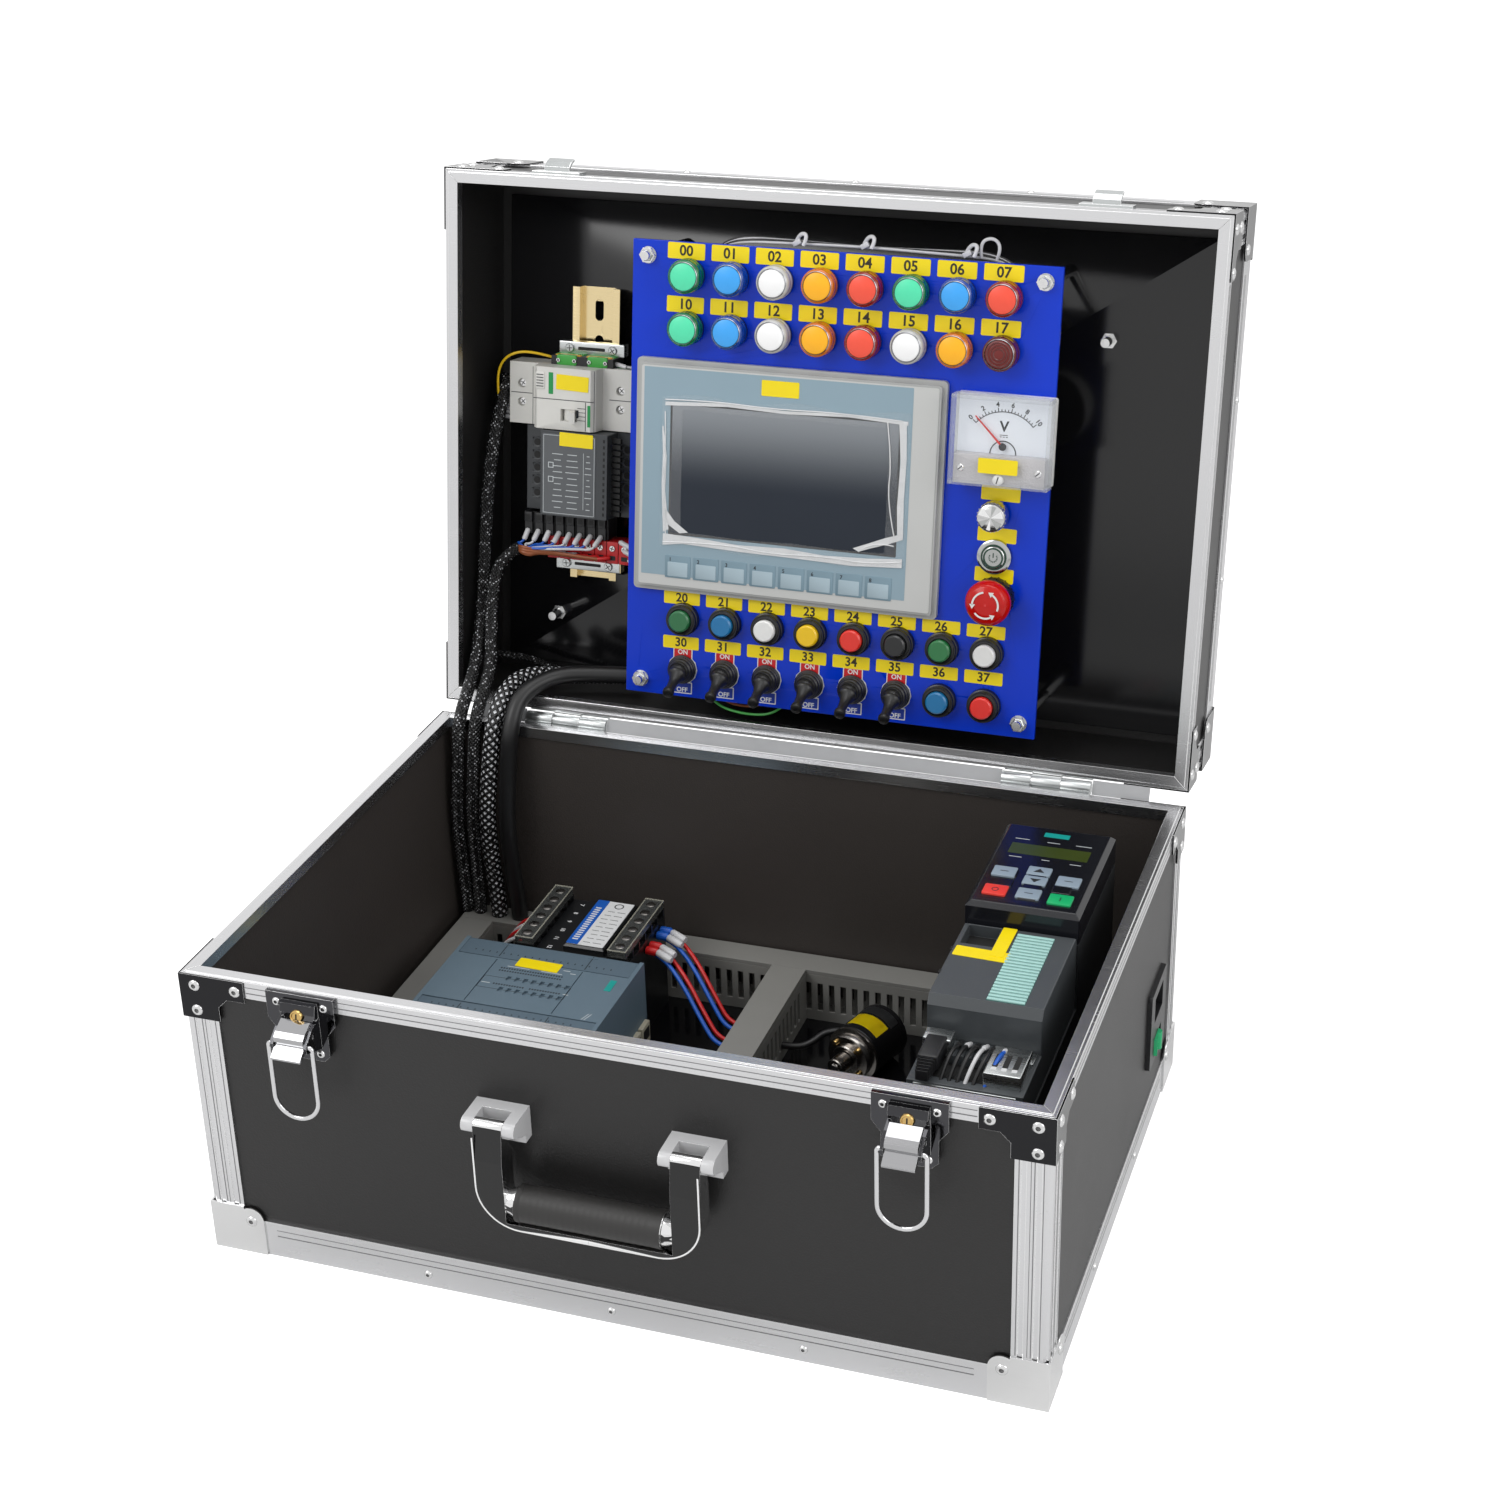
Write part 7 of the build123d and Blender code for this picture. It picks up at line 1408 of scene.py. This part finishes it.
def tube_mesh(bm, line, radius, steps=14, material=0):
    """A round tube along a line of points, with its ends closed and its length as UV."""
    layer = bm.loops.layers.uv.verify()
    rings, runs = [], [0.0]
    across = None
    for index, point in enumerate(line):
        ahead = line[min(index + 1, len(line) - 1)] - line[max(index - 1, 0)]
        ahead.normalize()
        if index:
            runs.append(runs[-1] + (point - line[index - 1]).length)
        if across is None:
            across = ahead.orthogonal().normalized()
        across = (across - ahead * across.dot(ahead)).normalized()
        other = ahead.cross(across)
        rings.append([
            bm.verts.new(point + (across * cos(2 * pi * k / steps) + other * sin(2 * pi * k / steps)) * radius)
            for k in range(steps)
        ])
    girth = 2 * pi * radius
    for index, (low, high) in enumerate(zip(rings, rings[1:])):
        for k in range(steps):
            face = bm.faces.new((low[k], low[(k + 1) % steps], high[(k + 1) % steps], high[k]))
            face.smooth = True
            face.material_index = material
            spots = ((k, index), (k + 1, index), (k + 1, index + 1), (k, index + 1))
            for loop, (turn, run) in zip(face.loops, spots):
                loop[layer].uv = (turn / steps * girth, runs[run])
    for ring, flip in ((rings[0], True), (rings[-1], False)):
        face = bm.faces.new(ring[::-1] if flip else ring)
        face.material_index = material


def spline_line(points, closeness):
    """The points that a smooth spline through a wire's or cord's route passes."""
    flat = flattened(spline_curve("wire_route", points, closeness))
    line = [v.co.copy() for v in flat.vertices]
    bpy.data.meshes.remove(flat)
    return line


def wire(bm, radius, material, *points):
    """A short insulated wire of the wiring on the rail or the panel."""
    tube_mesh(bm, spline_line(points, 6), radius, 8, material)


def wire_from(bm, radius, material, start, *steps):
    """A short wire whose points are given as steps from one place."""
    wire(bm, radius, material, *(start + Vector(step) for step in steps))


def ferrule(bm, tail, tip, radius=1.7, material=0):
    """The moulded sleeve on a wire's end, from its tail to its tip."""
    tail, tip = Vector(tail), Vector(tip)
    long = (tip - tail).length
    outline = [
        (0, 0), (radius * 0.75, 0), (radius, long * 0.15), (radius, long * 0.9), (radius * 0.6, long), (0, long),
    ]
    lathe(bm, outline, facing(*tail, tip - tail, (0, 0, 1)), 14, material)


def screw(bm, at, radius=2.6, turn=30, material=0, slot=1):
    """A cheese-head screw with a cross recess, drawn as two dark bars of painted shade."""
    lathe(bm, [(0, 1.2), (radius * 0.85, 1.1), (radius, 0.6), (radius, -0.6), (0, -0.6)], at, 20, material)
    for extra in (0, 90):
        slot_at = shifted(at @ Matrix.Rotation(radians(turn + extra), 4, "Z"), 0, 0, 1.17)
        slab(bm, radius * 1.3, 0.55, 0.06, slot_at, material=slot)


clamps = bmesh.new()
for v, offset in ((94, -1), (247.5, 0)):
    slab(clamps, 48.8, 8.8, 7.6, spot(RAIL_U + offset, v, RAIL_FRONT + 0.1), corner=0.6, edge=0.6)
    # the clamp's slot and the screws' recesses, near-black: painted shade
    slab(clamps, 20, 2.2, 0.1, spot(RAIL_U + offset, v, RAIL_FRONT + 7.7), corner=0.5, material=1)
    for du in (-16, 16):
        screw(clamps, spot(RAIL_U + offset + du, v, RAIL_FRONT + 8.2), 3.2, 20 + du)
made("rail_clamps", clamps, "case_lid", [plated, opening_painted_shade])

breaker = bmesh.new()
NOSE_N, SHOULDER_N = -30, -43
for du in (-22.9, 22.9):
    slab(breaker, 0.4, 42, 0.1, spot(BREAKER_U + du, BREAKER_V, NOSE_N - 0.05), material=1)
slab(breaker, 45, 0.5, 0.1, spot(BREAKER_U, BREAKER_V - 0.5, NOSE_N), material=1)
slab(breaker, 0.5, 20, 0.1, spot(BREAKER_U + 16.5, BREAKER_V - 11, NOSE_N), material=1)
slab(breaker, 3.4, 15, 0.15, spot(BREAKER_U - 9.5, BREAKER_V + 10.5, NOSE_N), corner=0.3, material=2)
slab(breaker, 2.2, 15, 0.15, spot(BREAKER_U + 19, BREAKER_V - 10.5, NOSE_N), corner=0.3, material=2)
slab(breaker, 1.6, 5.5, 0.1, spot(BREAKER_U + 10.5, BREAKER_V - 9.5, NOSE_N), corner=0.3, material=1)
slab(breaker, 24, 10.5, 0.3, spot(BREAKER_U + 6.6, BREAKER_V + 11.6, NOSE_N + 0.1, -2), corner=0.6, material=3)
for k in range(4):
    slab(breaker, 6, 0.4, 0.08, spot(BREAKER_U + 13.5, BREAKER_V - 5.5 - 2.8 * k, NOSE_N), material=1)
# the breaker's screws, their cross recesses in the seams' dark grey: painted shade
for end in (-1, 1):
    for dv in (-6.5, 6.5):
        screw(breaker, spot(BREAKER_U + end * 37, BREAKER_V + dv, SHOULDER_N - 3.6), 2.9, 40 * end + dv, 4)
    slab(breaker, 16, 0.5, 0.1, spot(BREAKER_U + end * 37, BREAKER_V, SHOULDER_N), material=1)
slab(breaker, 7, 12, 1.4, spot(BREAKER_U - 17.5, BREAKER_V + 12, NOSE_N - 0.8), corner=1, edge=0.5, material=0)
for k in range(5):
    slab(breaker, 5.2, 0.6, 0.1, spot(BREAKER_U - 17.5, BREAKER_V + 8 + 2 * k, NOSE_N + 0.6), material=1)
made("breaker_details", breaker, "case_lid", [breaker_white, dark_marks_and_slot_shade, mark_green, label_yellow, steel])

supply = bmesh.new()
slab(supply, 40, 57, 0.3, spot(SUPPLY_U - 3.5, SUPPLY_V - 0.5, -30), corner=0.8, material=0)
for u, v, wide, high in (
    (-3.5, 27, 38, 0.3), (-3.5, -28, 38, 0.3), (-22.5, -0.5, 0.3, 55), (15.5, -0.5, 0.3, 55), (7.5, -4, 0.3, 40),
):
    slab(supply, wide, high, 0.08, spot(SUPPLY_U + u, SUPPLY_V + v, SUPPLY_N), material=1)
for k in range(10):
    for u, wide in ((-12, 8), (-1, 10), (11, 5)):
        at = spot(SUPPLY_U + u, SUPPLY_V + 14 - 4.2 * k, SUPPLY_N)
        slab(supply, wide - (k * 3 + u) % 4, 0.5, 0.06, at, material=1)
for u, v in ((-17, 6), (-17, -4)):
    slab(supply, 4, 4, 0.08, spot(SUPPLY_U + u, SUPPLY_V + v, SUPPLY_N), material=1)
    slab(supply, 3, 3, 0.1, spot(SUPPLY_U + u, SUPPLY_V + v, SUPPLY_N), material=0)
slab(supply, 25, 9.6, 0.3, spot(SUPPLY_U + 2, SUPPLY_V + 24.6, -29.6, -1), corner=0.7, material=2)
# near-black holes in the screw terminals: painted shade
for end in (-1, 1):
    for k in range(5):
        at = spot(SUPPLY_U + end * 34, SUPPLY_V - 18 + 9 * k, -45.9)
        lathe(supply, [(0, 0.15), (2.6, 0.15), (3.2, 0.6), (3.7, 0.6), (3.9, 0), (0, 0)], at, 20, 3)
        lathe(supply, [(0, 0.25), (2.5, 0.25), (2.5, 0.1), (0, 0.1)], at, 20, 4)
# near-black vents: painted shade
for k in range(13):
    slab(supply, 3.0, 2.2, 9, facing(SUPPLY_U + 24.4, SUPPLY_V - 26 + 4.3 * k, -38, (1, 0, 0.25)), material=4)
    slab(supply, 1.2, 2.2, 0.3, spot(SUPPLY_U + 22.5, SUPPLY_V - 26 + 4.3 * k, -30), material=4)
made("supply_details", supply, "case_lid", [supply_face, print_pale, label_yellow, supply_grey, opening_painted_shade])

WIRE_HOLE = [(0, 0.1), (1.7, 0.1), (1.7, 0.25), (2.5, 0.25), (2.5, 0), (0, 0)]
earth = bmesh.new()
for u in (-193.5, -170.5):
    slab(earth, 21, 7.4, 14.6, spot(u, 240.3, RAIL_FRONT), corner=0.8, edge=0.5, material=0)
    slab(earth, 19.6, 7.8, 3.2, spot(u, 240.2, RAIL_FRONT + 14.6), corner=1.5, edge=0.6, material=1)
    slab(earth, 15, 7.2, 2.6, spot(u, 240.6, RAIL_FRONT + 17.8), corner=1.5, edge=0.6, material=0)
    # near-black wire holes and screw recesses: painted shade
    for du in (-6, 6):
        lathe(earth, WIRE_HOLE, facing(u + du, 236.3, RAIL_FRONT + 11, (0, -1, 0.1)), 18, 2)
        screw(earth, spot(u + du, 240.4, RAIL_FRONT + 20.2), 1.6, 35, 3, 2)
made("earth_terminals", earth, "case_lid", [earth_green, earth_yellow, opening_painted_shade, steel])

# near-black openings and screw recesses in the rows: painted shade
rows = bmesh.new()
for k in range(8):
    u = -222 + 8 * k
    slab(rows, 7.3, 15.4, 16.4, spot(u, 123, RAIL_FRONT + 0.2), corner=0.3, edge=0.5, material=0)
    slab(rows, 5.8, 7.0, 3.6, spot(u, 127.3, RAIL_FRONT + 16.4), corner=0.5, edge=0.5, material=0)
    slab(rows, 3.4, 3.4, 0.1, spot(u, 127.3, RAIL_FRONT + 20.0), corner=0.4, material=2)
    slab(rows, 5.8, 0.8, 0.3, spot(u, 119.4, RAIL_FRONT + 16.4), material=2)
for k in range(7):
    u = -203 + 9 * k
    slab(rows, 8.5, 15.6, 18.4, spot(u, 107, RAIL_FRONT + 0.2), corner=0.3, edge=0.6, material=1)
    screw(rows, spot(u, 110.2, RAIL_FRONT + 18.4), 2.3, 15 * k, 3, 2)
    slab(rows, 4.6, 3.2, 0.1, spot(u, 103.2, RAIL_FRONT + 18.6), corner=0.4, material=2)
made("terminal_rows", rows, "case_lid", [terminal_black, terminal_red, opening_painted_shade, steel])

# wires between the looms' ends and the terminals
rail_wires = bmesh.new()
LOOM_END = Vector((-226, 106, -38))
for k in range(8):
    tip = Vector((-222 + 8 * k, 118.6, -44.5))
    tail = tip + Vector((-1.6 - 0.3 * k, -7.4, 4.2 + (k % 2) * 1.2))
    ferrule(rail_wires, tail, tip, 1.9, WHITE)
    wire(
        rail_wires, 0.9, (BLUE, WHITE, BLUE)[k % 3], LOOM_END + Vector((0, 1 - 0.2 * k, (k % 3) * 0.8)),
        LOOM_END + Vector((6 + 2 * k, 1.5, 5 + (k % 3))), tail + Vector((-5 - k, -2.2, 1.6)),
        tail + Vector((-1.5, -2.2, 1.2)), tail,
    )
for k in range(6):
    tip = Vector((-201 + 8.4 * k, 103.4, -43.6))
    tail = tip + Vector((-8.5, 0.6 - 0.3 * k, 3.0))
    ferrule(rail_wires, tail, tip, 1.6, WHITE if k < 3 else RED)
    wire(
        rail_wires, 1.25, BROWN, LOOM_END + Vector((-1, -1.6 + 0.5 * k, 0.6 * (k % 2))),
        LOOM_END + Vector((4, -2.6 + 0.9 * k, 6 + (k % 2))), LOOM_END + Vector((12, -4 + 0.9 * k, 5 - 0.3 * k)),
        tail + Vector((-6, 0.2, 1.4)), tail,
    )
for k in range(3):
    tail = Vector((-140 + 2 * k, 112 - 6.5 * k, -40 - 2 * k))
    ferrule(rail_wires, tail, tail + Vector((-12, 4, -3)), 1.8, WHITE)
    wire_from(
        rail_wires, 1.0, (BLUE, WHITE, BLUE)[k], tail, (0, 0, 0), (8, -2.5, 0), (20, -4, -8), (32, -3, -20),
    )
for k in range(5):
    tip = Vector((-236.5, 208 - 3.1 * k, -51 - (k % 2) * 3))
    tail = tip + Vector((-6, 1.2, 1.5 + (k % 2) * 2))
    ferrule(rail_wires, tail, tip, 1.5, WHITE)
    wire(
        rail_wires, 0.95, (WHITE, BLUE, RED, WHITE, BLUE)[k], tail, tail + Vector((-3, 1.5, 1.2)),
        Vector((-245 + 0.8 * k, 214, -48)), Vector((-242 + 0.5 * k, 224, -50)),
    )
wire(
    rail_wires, 0.9, YELLOW, (-203, 240, -50), (-212, 243.5, -44), (-228, 245, -40), (-241, 238, -40),
    (-246, 222, -42), (-245, 206, -46),
)
wire(rail_wires, 0.8, WHITE, (-160.5, 240, -50), (-152, 239, -46), (-138, 237, -50), (-122, 234, -60))
wire(rail_wires, 0.7, GREEN, (-161, 238.5, -52), (-150, 236.6, -47), (-136, 234, -52), (-122, 231, -62))
ferrule(rail_wires, (-205, 241, -48.5), (-199, 240, -51), 1.4, WHITE)
ferrule(rail_wires, (-150, 238.6, -46.4), (-162, 240, -50.2), 1.5, WHITE)
made("rail_wires", rail_wires, "case_lid", WIRES)

# wires and ties behind the panel's edges
panel_wires = bmesh.new()
for k in range(5):
    wire(
        panel_wires, 1.0, (WHITE, BLACK, BLACK, WHITE, BLACK)[k], (-76, 326, -20), (-66, 333 + k, -12),
        (-20, 334.5 + 0.4 * k, -9 - 1.6 * k), (30, 335.4 - 0.3 * k, -8 - 1.4 * k),
        (84, 334 + 0.5 * k, -9 - 1.5 * k), (118, 333 + k, -12), (128, 326, -22),
    )
for u, v in ((-18, 336), (28, 337), (96, 336)):
    wire(panel_wires, 1.3, WHITE, (u, v, -8), (u + 3, v + 6, -6), (u + 9, v + 5, -5), (u + 6, v - 2, -4))
    slab(panel_wires, 6, 3.4, 2, spot(u + 1, v - 0.5, -7.5, 30), corner=0.5, edge=0.4, material=WHITE)
wire(panel_wires, 1.1, WHITE, (106, 333, -9), (104, 343, -8), (113, 347, -8), (119, 341, -8), (116, 333, -9))
wire(panel_wires, 0.9, GREEN, (-72, 27, -9), (-68, 17, -9), (-44, 12, -8), (-20, 15, -9), (-12, 27, -9))
wire(panel_wires, 0.9, BROWN, (-66, 27, -12), (-62, 19, -12), (-46, 16.5, -12), (-32, 19, -12), (-26, 27, -12))
made("panel_wires", panel_wires, "case_lid", WIRES)

# Wiring
# Looms in braided sleeve from the rail and the panel over the hinge, and the leads that
# join the pieces in the base.

# crossed strands of a braided sleeve, from its UV in metres, with the wires showing between
braid, given, result = group_tree("braided_sleeve", [
    ("Strand Size", "NodeSocketFloat", 0.0024), ("Show", "NodeSocketFloat", 0.6),
], [("Height", "NodeSocketFloat"), ("Gap", "NodeSocketFloat")])
place = wired(braid, "ShaderNodeTexCoord")
parts = wired(braid, "ShaderNodeSeparateXYZ", None, [(0, place.outputs["UV"])])
sets = []
for way in ("ADD", "SUBTRACT"):
    slant = calculated(braid, way, parts.outputs[0], parts.outputs[1])
    count = calculated(braid, "DIVIDE", slant, given.outputs["Strand Size"])
    turn = calculated(braid, "MULTIPLY", count, 2 * pi)
    sets.append(calculated(braid, "SINE", turn))
top = calculated(braid, "MAXIMUM", *sets)
low = calculated(braid, "LESS_THAN", top, -0.1)
flecks = wired(braid, "ShaderNodeTexNoise", None, [
    ("Vector", place.outputs["UV"]), ("Scale", 260.0), ("Detail", 1.0),
])
lit = calculated(braid, "GREATER_THAN", flecks.outputs["Fac"], given.outputs["Show"])
gap = calculated(braid, "MULTIPLY", low, lit)
braid.links.new(top, result.inputs["Height"])
braid.links.new(gap, result.inputs["Gap"])


def braided(name, strand, show, gap_colour):
    """A black braided sleeve, through whose gaps the wires show."""
    material = surface(name, srgb(14, 14, 15), 0.26, patch=0.004, uneven=0.2)
    tree = material.node_tree
    shader = tree.nodes["Principled BSDF"]
    weave = wired(tree, "ShaderNodeGroup", None, node_tree=braid)
    weave.inputs["Strand Size"].default_value = strand
    weave.inputs["Show"].default_value = show
    base = shader.inputs["Base Color"]
    mix = mixed_by(tree, "RGBA", weave.outputs["Gap"], base.links[0].from_socket, (*gap_colour, 1))
    tree.links.new(mix, base)
    relief = wired(tree, "ShaderNodeBump", None, [
        ("Strength", 0.9), ("Distance", 0.0006), ("Height", weave.outputs["Height"]),
    ])
    tree.links.new(relief.outputs["Normal"], shader.inputs["Normal"])
    return material


WIRES_BETWEEN = srgb(226, 228, 232)
sleeve_fine = braided("sleeve_fine", 0.0030, 0.56, WIRES_BETWEEN)
sleeve_coarse = braided("sleeve_coarse", 0.0056, 0.40, WIRES_BETWEEN)


def lid_point(u, v, w):
    """A point of the lid in millimetres: from the board's left edge, the hinge side, down."""
    return LID_FRAME @ (Vector((-250 + u, v, -w)) * MM) / MM


def base_point(x, y, z):
    """A point of the base in millimetres: from the ducts' left end and the case's back."""
    return Vector((-250 + x, HALF_D + y, z))


def in_metres(points):
    """A cord's route, given in millimetres."""
    return [Vector(point) * MM for point in points]


LOOMS = (
    ("rail_loom_outer", 9.0, [
        lid_point(8.8, 226, 52), lid_point(7, 206, 44), lid_point(3, 172, 36),
        lid_point(1, 132, 32), lid_point(0, 92, 30), lid_point(1, 54, 24),
        lid_point(3, 24, 9), base_point(5, 1, 217.5), base_point(5, -16, 204),
        base_point(3, -18, 178), base_point(0, -22, 136), base_point(0, -20, 92),
        base_point(1, -19, 64), base_point(1, -19, 50.3),
    ]),
    ("rail_loom_inner", 9.0, [
        lid_point(24, 106, 38), lid_point(14, 100, 32), lid_point(10, 80, 22),
        lid_point(11, 50, 18), lid_point(15, 24, 9), base_point(17, 1, 217.5),
        base_point(17, -16, 204), base_point(15, -18, 176), base_point(12, -23, 134),
        base_point(11, -20, 92), base_point(11, -19, 64), base_point(11, -19, 50.3),
    ]),
    ("panel_loom_left", 12.0, [
        lid_point(116, 18, 50), lid_point(86, 17.5, 43), lid_point(58, 18, 28),
        lid_point(40, 21, 10), base_point(34, -1.5, 221), base_point(32, -18, 204),
        base_point(29, -21, 176), base_point(25, -26, 134), base_point(25, -22, 92),
        base_point(26, -19, 64), base_point(26, -19, 50.3),
    ]),
    ("panel_loom_right", 12.0, [
        lid_point(117, 24, 30), lid_point(86, 24, 22), lid_point(63, 23, 10),
        base_point(47, -1, 222), base_point(45, -18, 204), base_point(43, -21, 176),
        base_point(40, -25, 134), base_point(40, -22, 92), base_point(42, -19, 64),
        base_point(42, -19, 50.3),
    ]),
    ("earth_loom", 5.0, [
        lid_point(-4.6, 20, 58), lid_point(21, 20, 60), lid_point(44, 13, 58),
        lid_point(68, 10.4, 57),
    ]),
)
LOOM_LOOKS = {"panel_loom_right": WIRES[BLACK], "panel_loom_left": sleeve_coarse}
CORD_CLOSENESS = 8
for name, diameter, points in LOOMS:
    line = spline_line(in_metres(points), CORD_CLOSENESS)
    loom = bmesh.new()
    tube_mesh(loom, line, diameter / 2 * MM, 18)
    data = bpy.data.meshes.new(name)
    loom.to_mesh(data)
    loom.free()
    data.materials.append(LOOM_LOOKS.get(name, sleeve_fine))
    piece = bpy.data.objects.new(name, data)
    scene.collection.objects.link(piece)
    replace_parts(piece, "wiring_harness")
    if name == "earth_loom":
        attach(piece, "case_lid")
    else:
        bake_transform(piece)

base_wires = bmesh.new()
for k, (x, material) in enumerate(((-11, BLACK), (-6, BLACK), (-1, BLACK), (4, WHITE), (9, BLACK), (16, BLUE))):
    start = Vector((201 + x, -97, 178))
    wire_from(
        base_wires, 1.2, material, start, (0, 0, 0), (-0.5, -8, 4), (-2, -20, 4), (-5 - 0.4 * k, -34, -10),
        (-9 - 0.6 * k, -43, -42), (-12 - 0.6 * k, -46, -100),
    )
    ferrule(base_wires, start + Vector((-0.3, -6, 3)), start + Vector((0, 3, -1.5)), 1.7, WHITE if k % 2 else BLACK)
for y, colour in ((140, BLUE), (133, BLUE), (119, RED), (112, RED)):
    tip = Vector((-88.4, y, 73.5))
    ferrule(base_wires, tip + Vector((9, -1.2, 0.4)), tip, 3.1, colour)
    ferrule(base_wires, tip + Vector((21, -6.5, -1.2)), tip + Vector((8.4, -1.1, 0.4)), 2.7, WHITE)
for y, colour in ((132, WHITE), (124, BLUE), (116, WHITE), (104, RED)):
    tip = Vector((-171.6, y, 73.5))
    ferrule(base_wires, tip + Vector((-9, -1.2, 0.2)), tip, 2.6, colour)
    wire_from(
        base_wires, 1.4, RED if colour == WHITE else WHITE, tip, (-8.6, -1.2, 0.2), (-16, -3, -2),
        (-26, 2, -16), (-34, 12, -28), (-36, 26, -30),
    )
for k in range(6):
    wire(
        base_wires, 1.3, (BLACK, WHITE, BLACK, WHITE, BLACK, BLACK)[k], (-73, 22 - 5 * k, 53),
        (-66, 21 - 5 * k, 56 + k % 2), (-58, 14 - 5 * k, 50), (-52, 4 - 5 * k, 34), (-50, -4 - 4 * k, 16),
        (-52, -10 - 4 * k, 11.5),
    )
made("base_wires", base_wires, "case_base", WIRES, WORLD)

DUCT_LEFT, DUCT_RIGHT, STRIP_FACE, PLUG_X, PLUG_Y, DECK_Z = -12, 13, -88.6, 174, -138.3, 10
LEADS = []
for i, y in enumerate((140, 133, 119, 112)):
    LEADS.append((f"isolator_lead_{i + 1}", 3.0, (RED, BLUE)[i % 2], [
        (STRIP_FACE + 0.3, y, 72), (STRIP_FACE + 10, y, 72), (STRIP_FACE + 30, y - 14, 66 - i),
        (STRIP_FACE + 52, y - 32, 46 - i), (DUCT_LEFT - 12, y - 40, 32), (DUCT_LEFT - 0.3, y - 40, 32),
    ]))
for i, y in enumerate((26, 14, 2, -10)):
    LEADS.append((f"controller_lead_{i + 1}", 4.0, (WHITE, BLACK)[i % 2], [
        (PLC_RIGHT + 0.3, y, 40), (PLC_RIGHT + 10, y, 40), (PLC_RIGHT + 30, y - 12, 30 - i),
        (DUCT_LEFT - 14, y - 20, 24), (DUCT_LEFT - 0.3, y - 20, 24),
    ]))
LEADS.append(("encoder_lead", 5.0, BLACK, [
    (ENCODER_X - 20.3, ENCODER_Y + 6.5, 29), (ENCODER_X - 32, ENCODER_Y + 6, 28),
    (ENCODER_X - 40, ENCODER_Y - 8, 24), (DUCT_RIGHT + 10, ENCODER_Y - 12, 22),
    (DUCT_RIGHT + 0.3, ENCODER_Y - 12, 22),
]))
for i, x in enumerate((186, 192, 198, 206, 213)):
    LEADS.append((f"inverter_lead_{i + 1}", 3.0, (BLACK, WHITE, BLACK, BLUE, BLACK)[i], [
        (x, DRIVE_FRONT - 0.3, 166 - i), (x, DRIVE_FRONT - 10, 164 - i), (x - 2, DRIVE_FRONT - 15, 136),
        (x - 6, DRIVE_FRONT - 17, 92), (x - 8, DRIVE_FRONT - 14, 52), (x - 8, DRIVE_FRONT - 10, DECK_Z + 0.3),
    ]))
LEADS.append(("plug_lead", 6.0, BLACK, [
    (PLUG_X, PLUG_Y, 143), (PLUG_X, PLUG_Y, 128), (PLUG_X - 4, PLUG_Y - 5, 96),
    (PLUG_X - 6, PLUG_Y - 6, 58), (PLUG_X - 4, PLUG_Y - 2, 30), (PLUG_X - 4, PLUG_Y, DECK_Z + 0.3),
]))
for name, diameter, colour, points in LEADS:
    lead = spline_curve(name, in_metres(points), CORD_CLOSENESS, diameter / 2 * MM, 3)
    scene.collection.objects.link(lead)
    lead.data.materials.append(WIRES[colour])
    line = spline_line(in_metres(points), CORD_CLOSENESS)
    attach(lead, "case_base")
    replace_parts(lead, "base_leads")
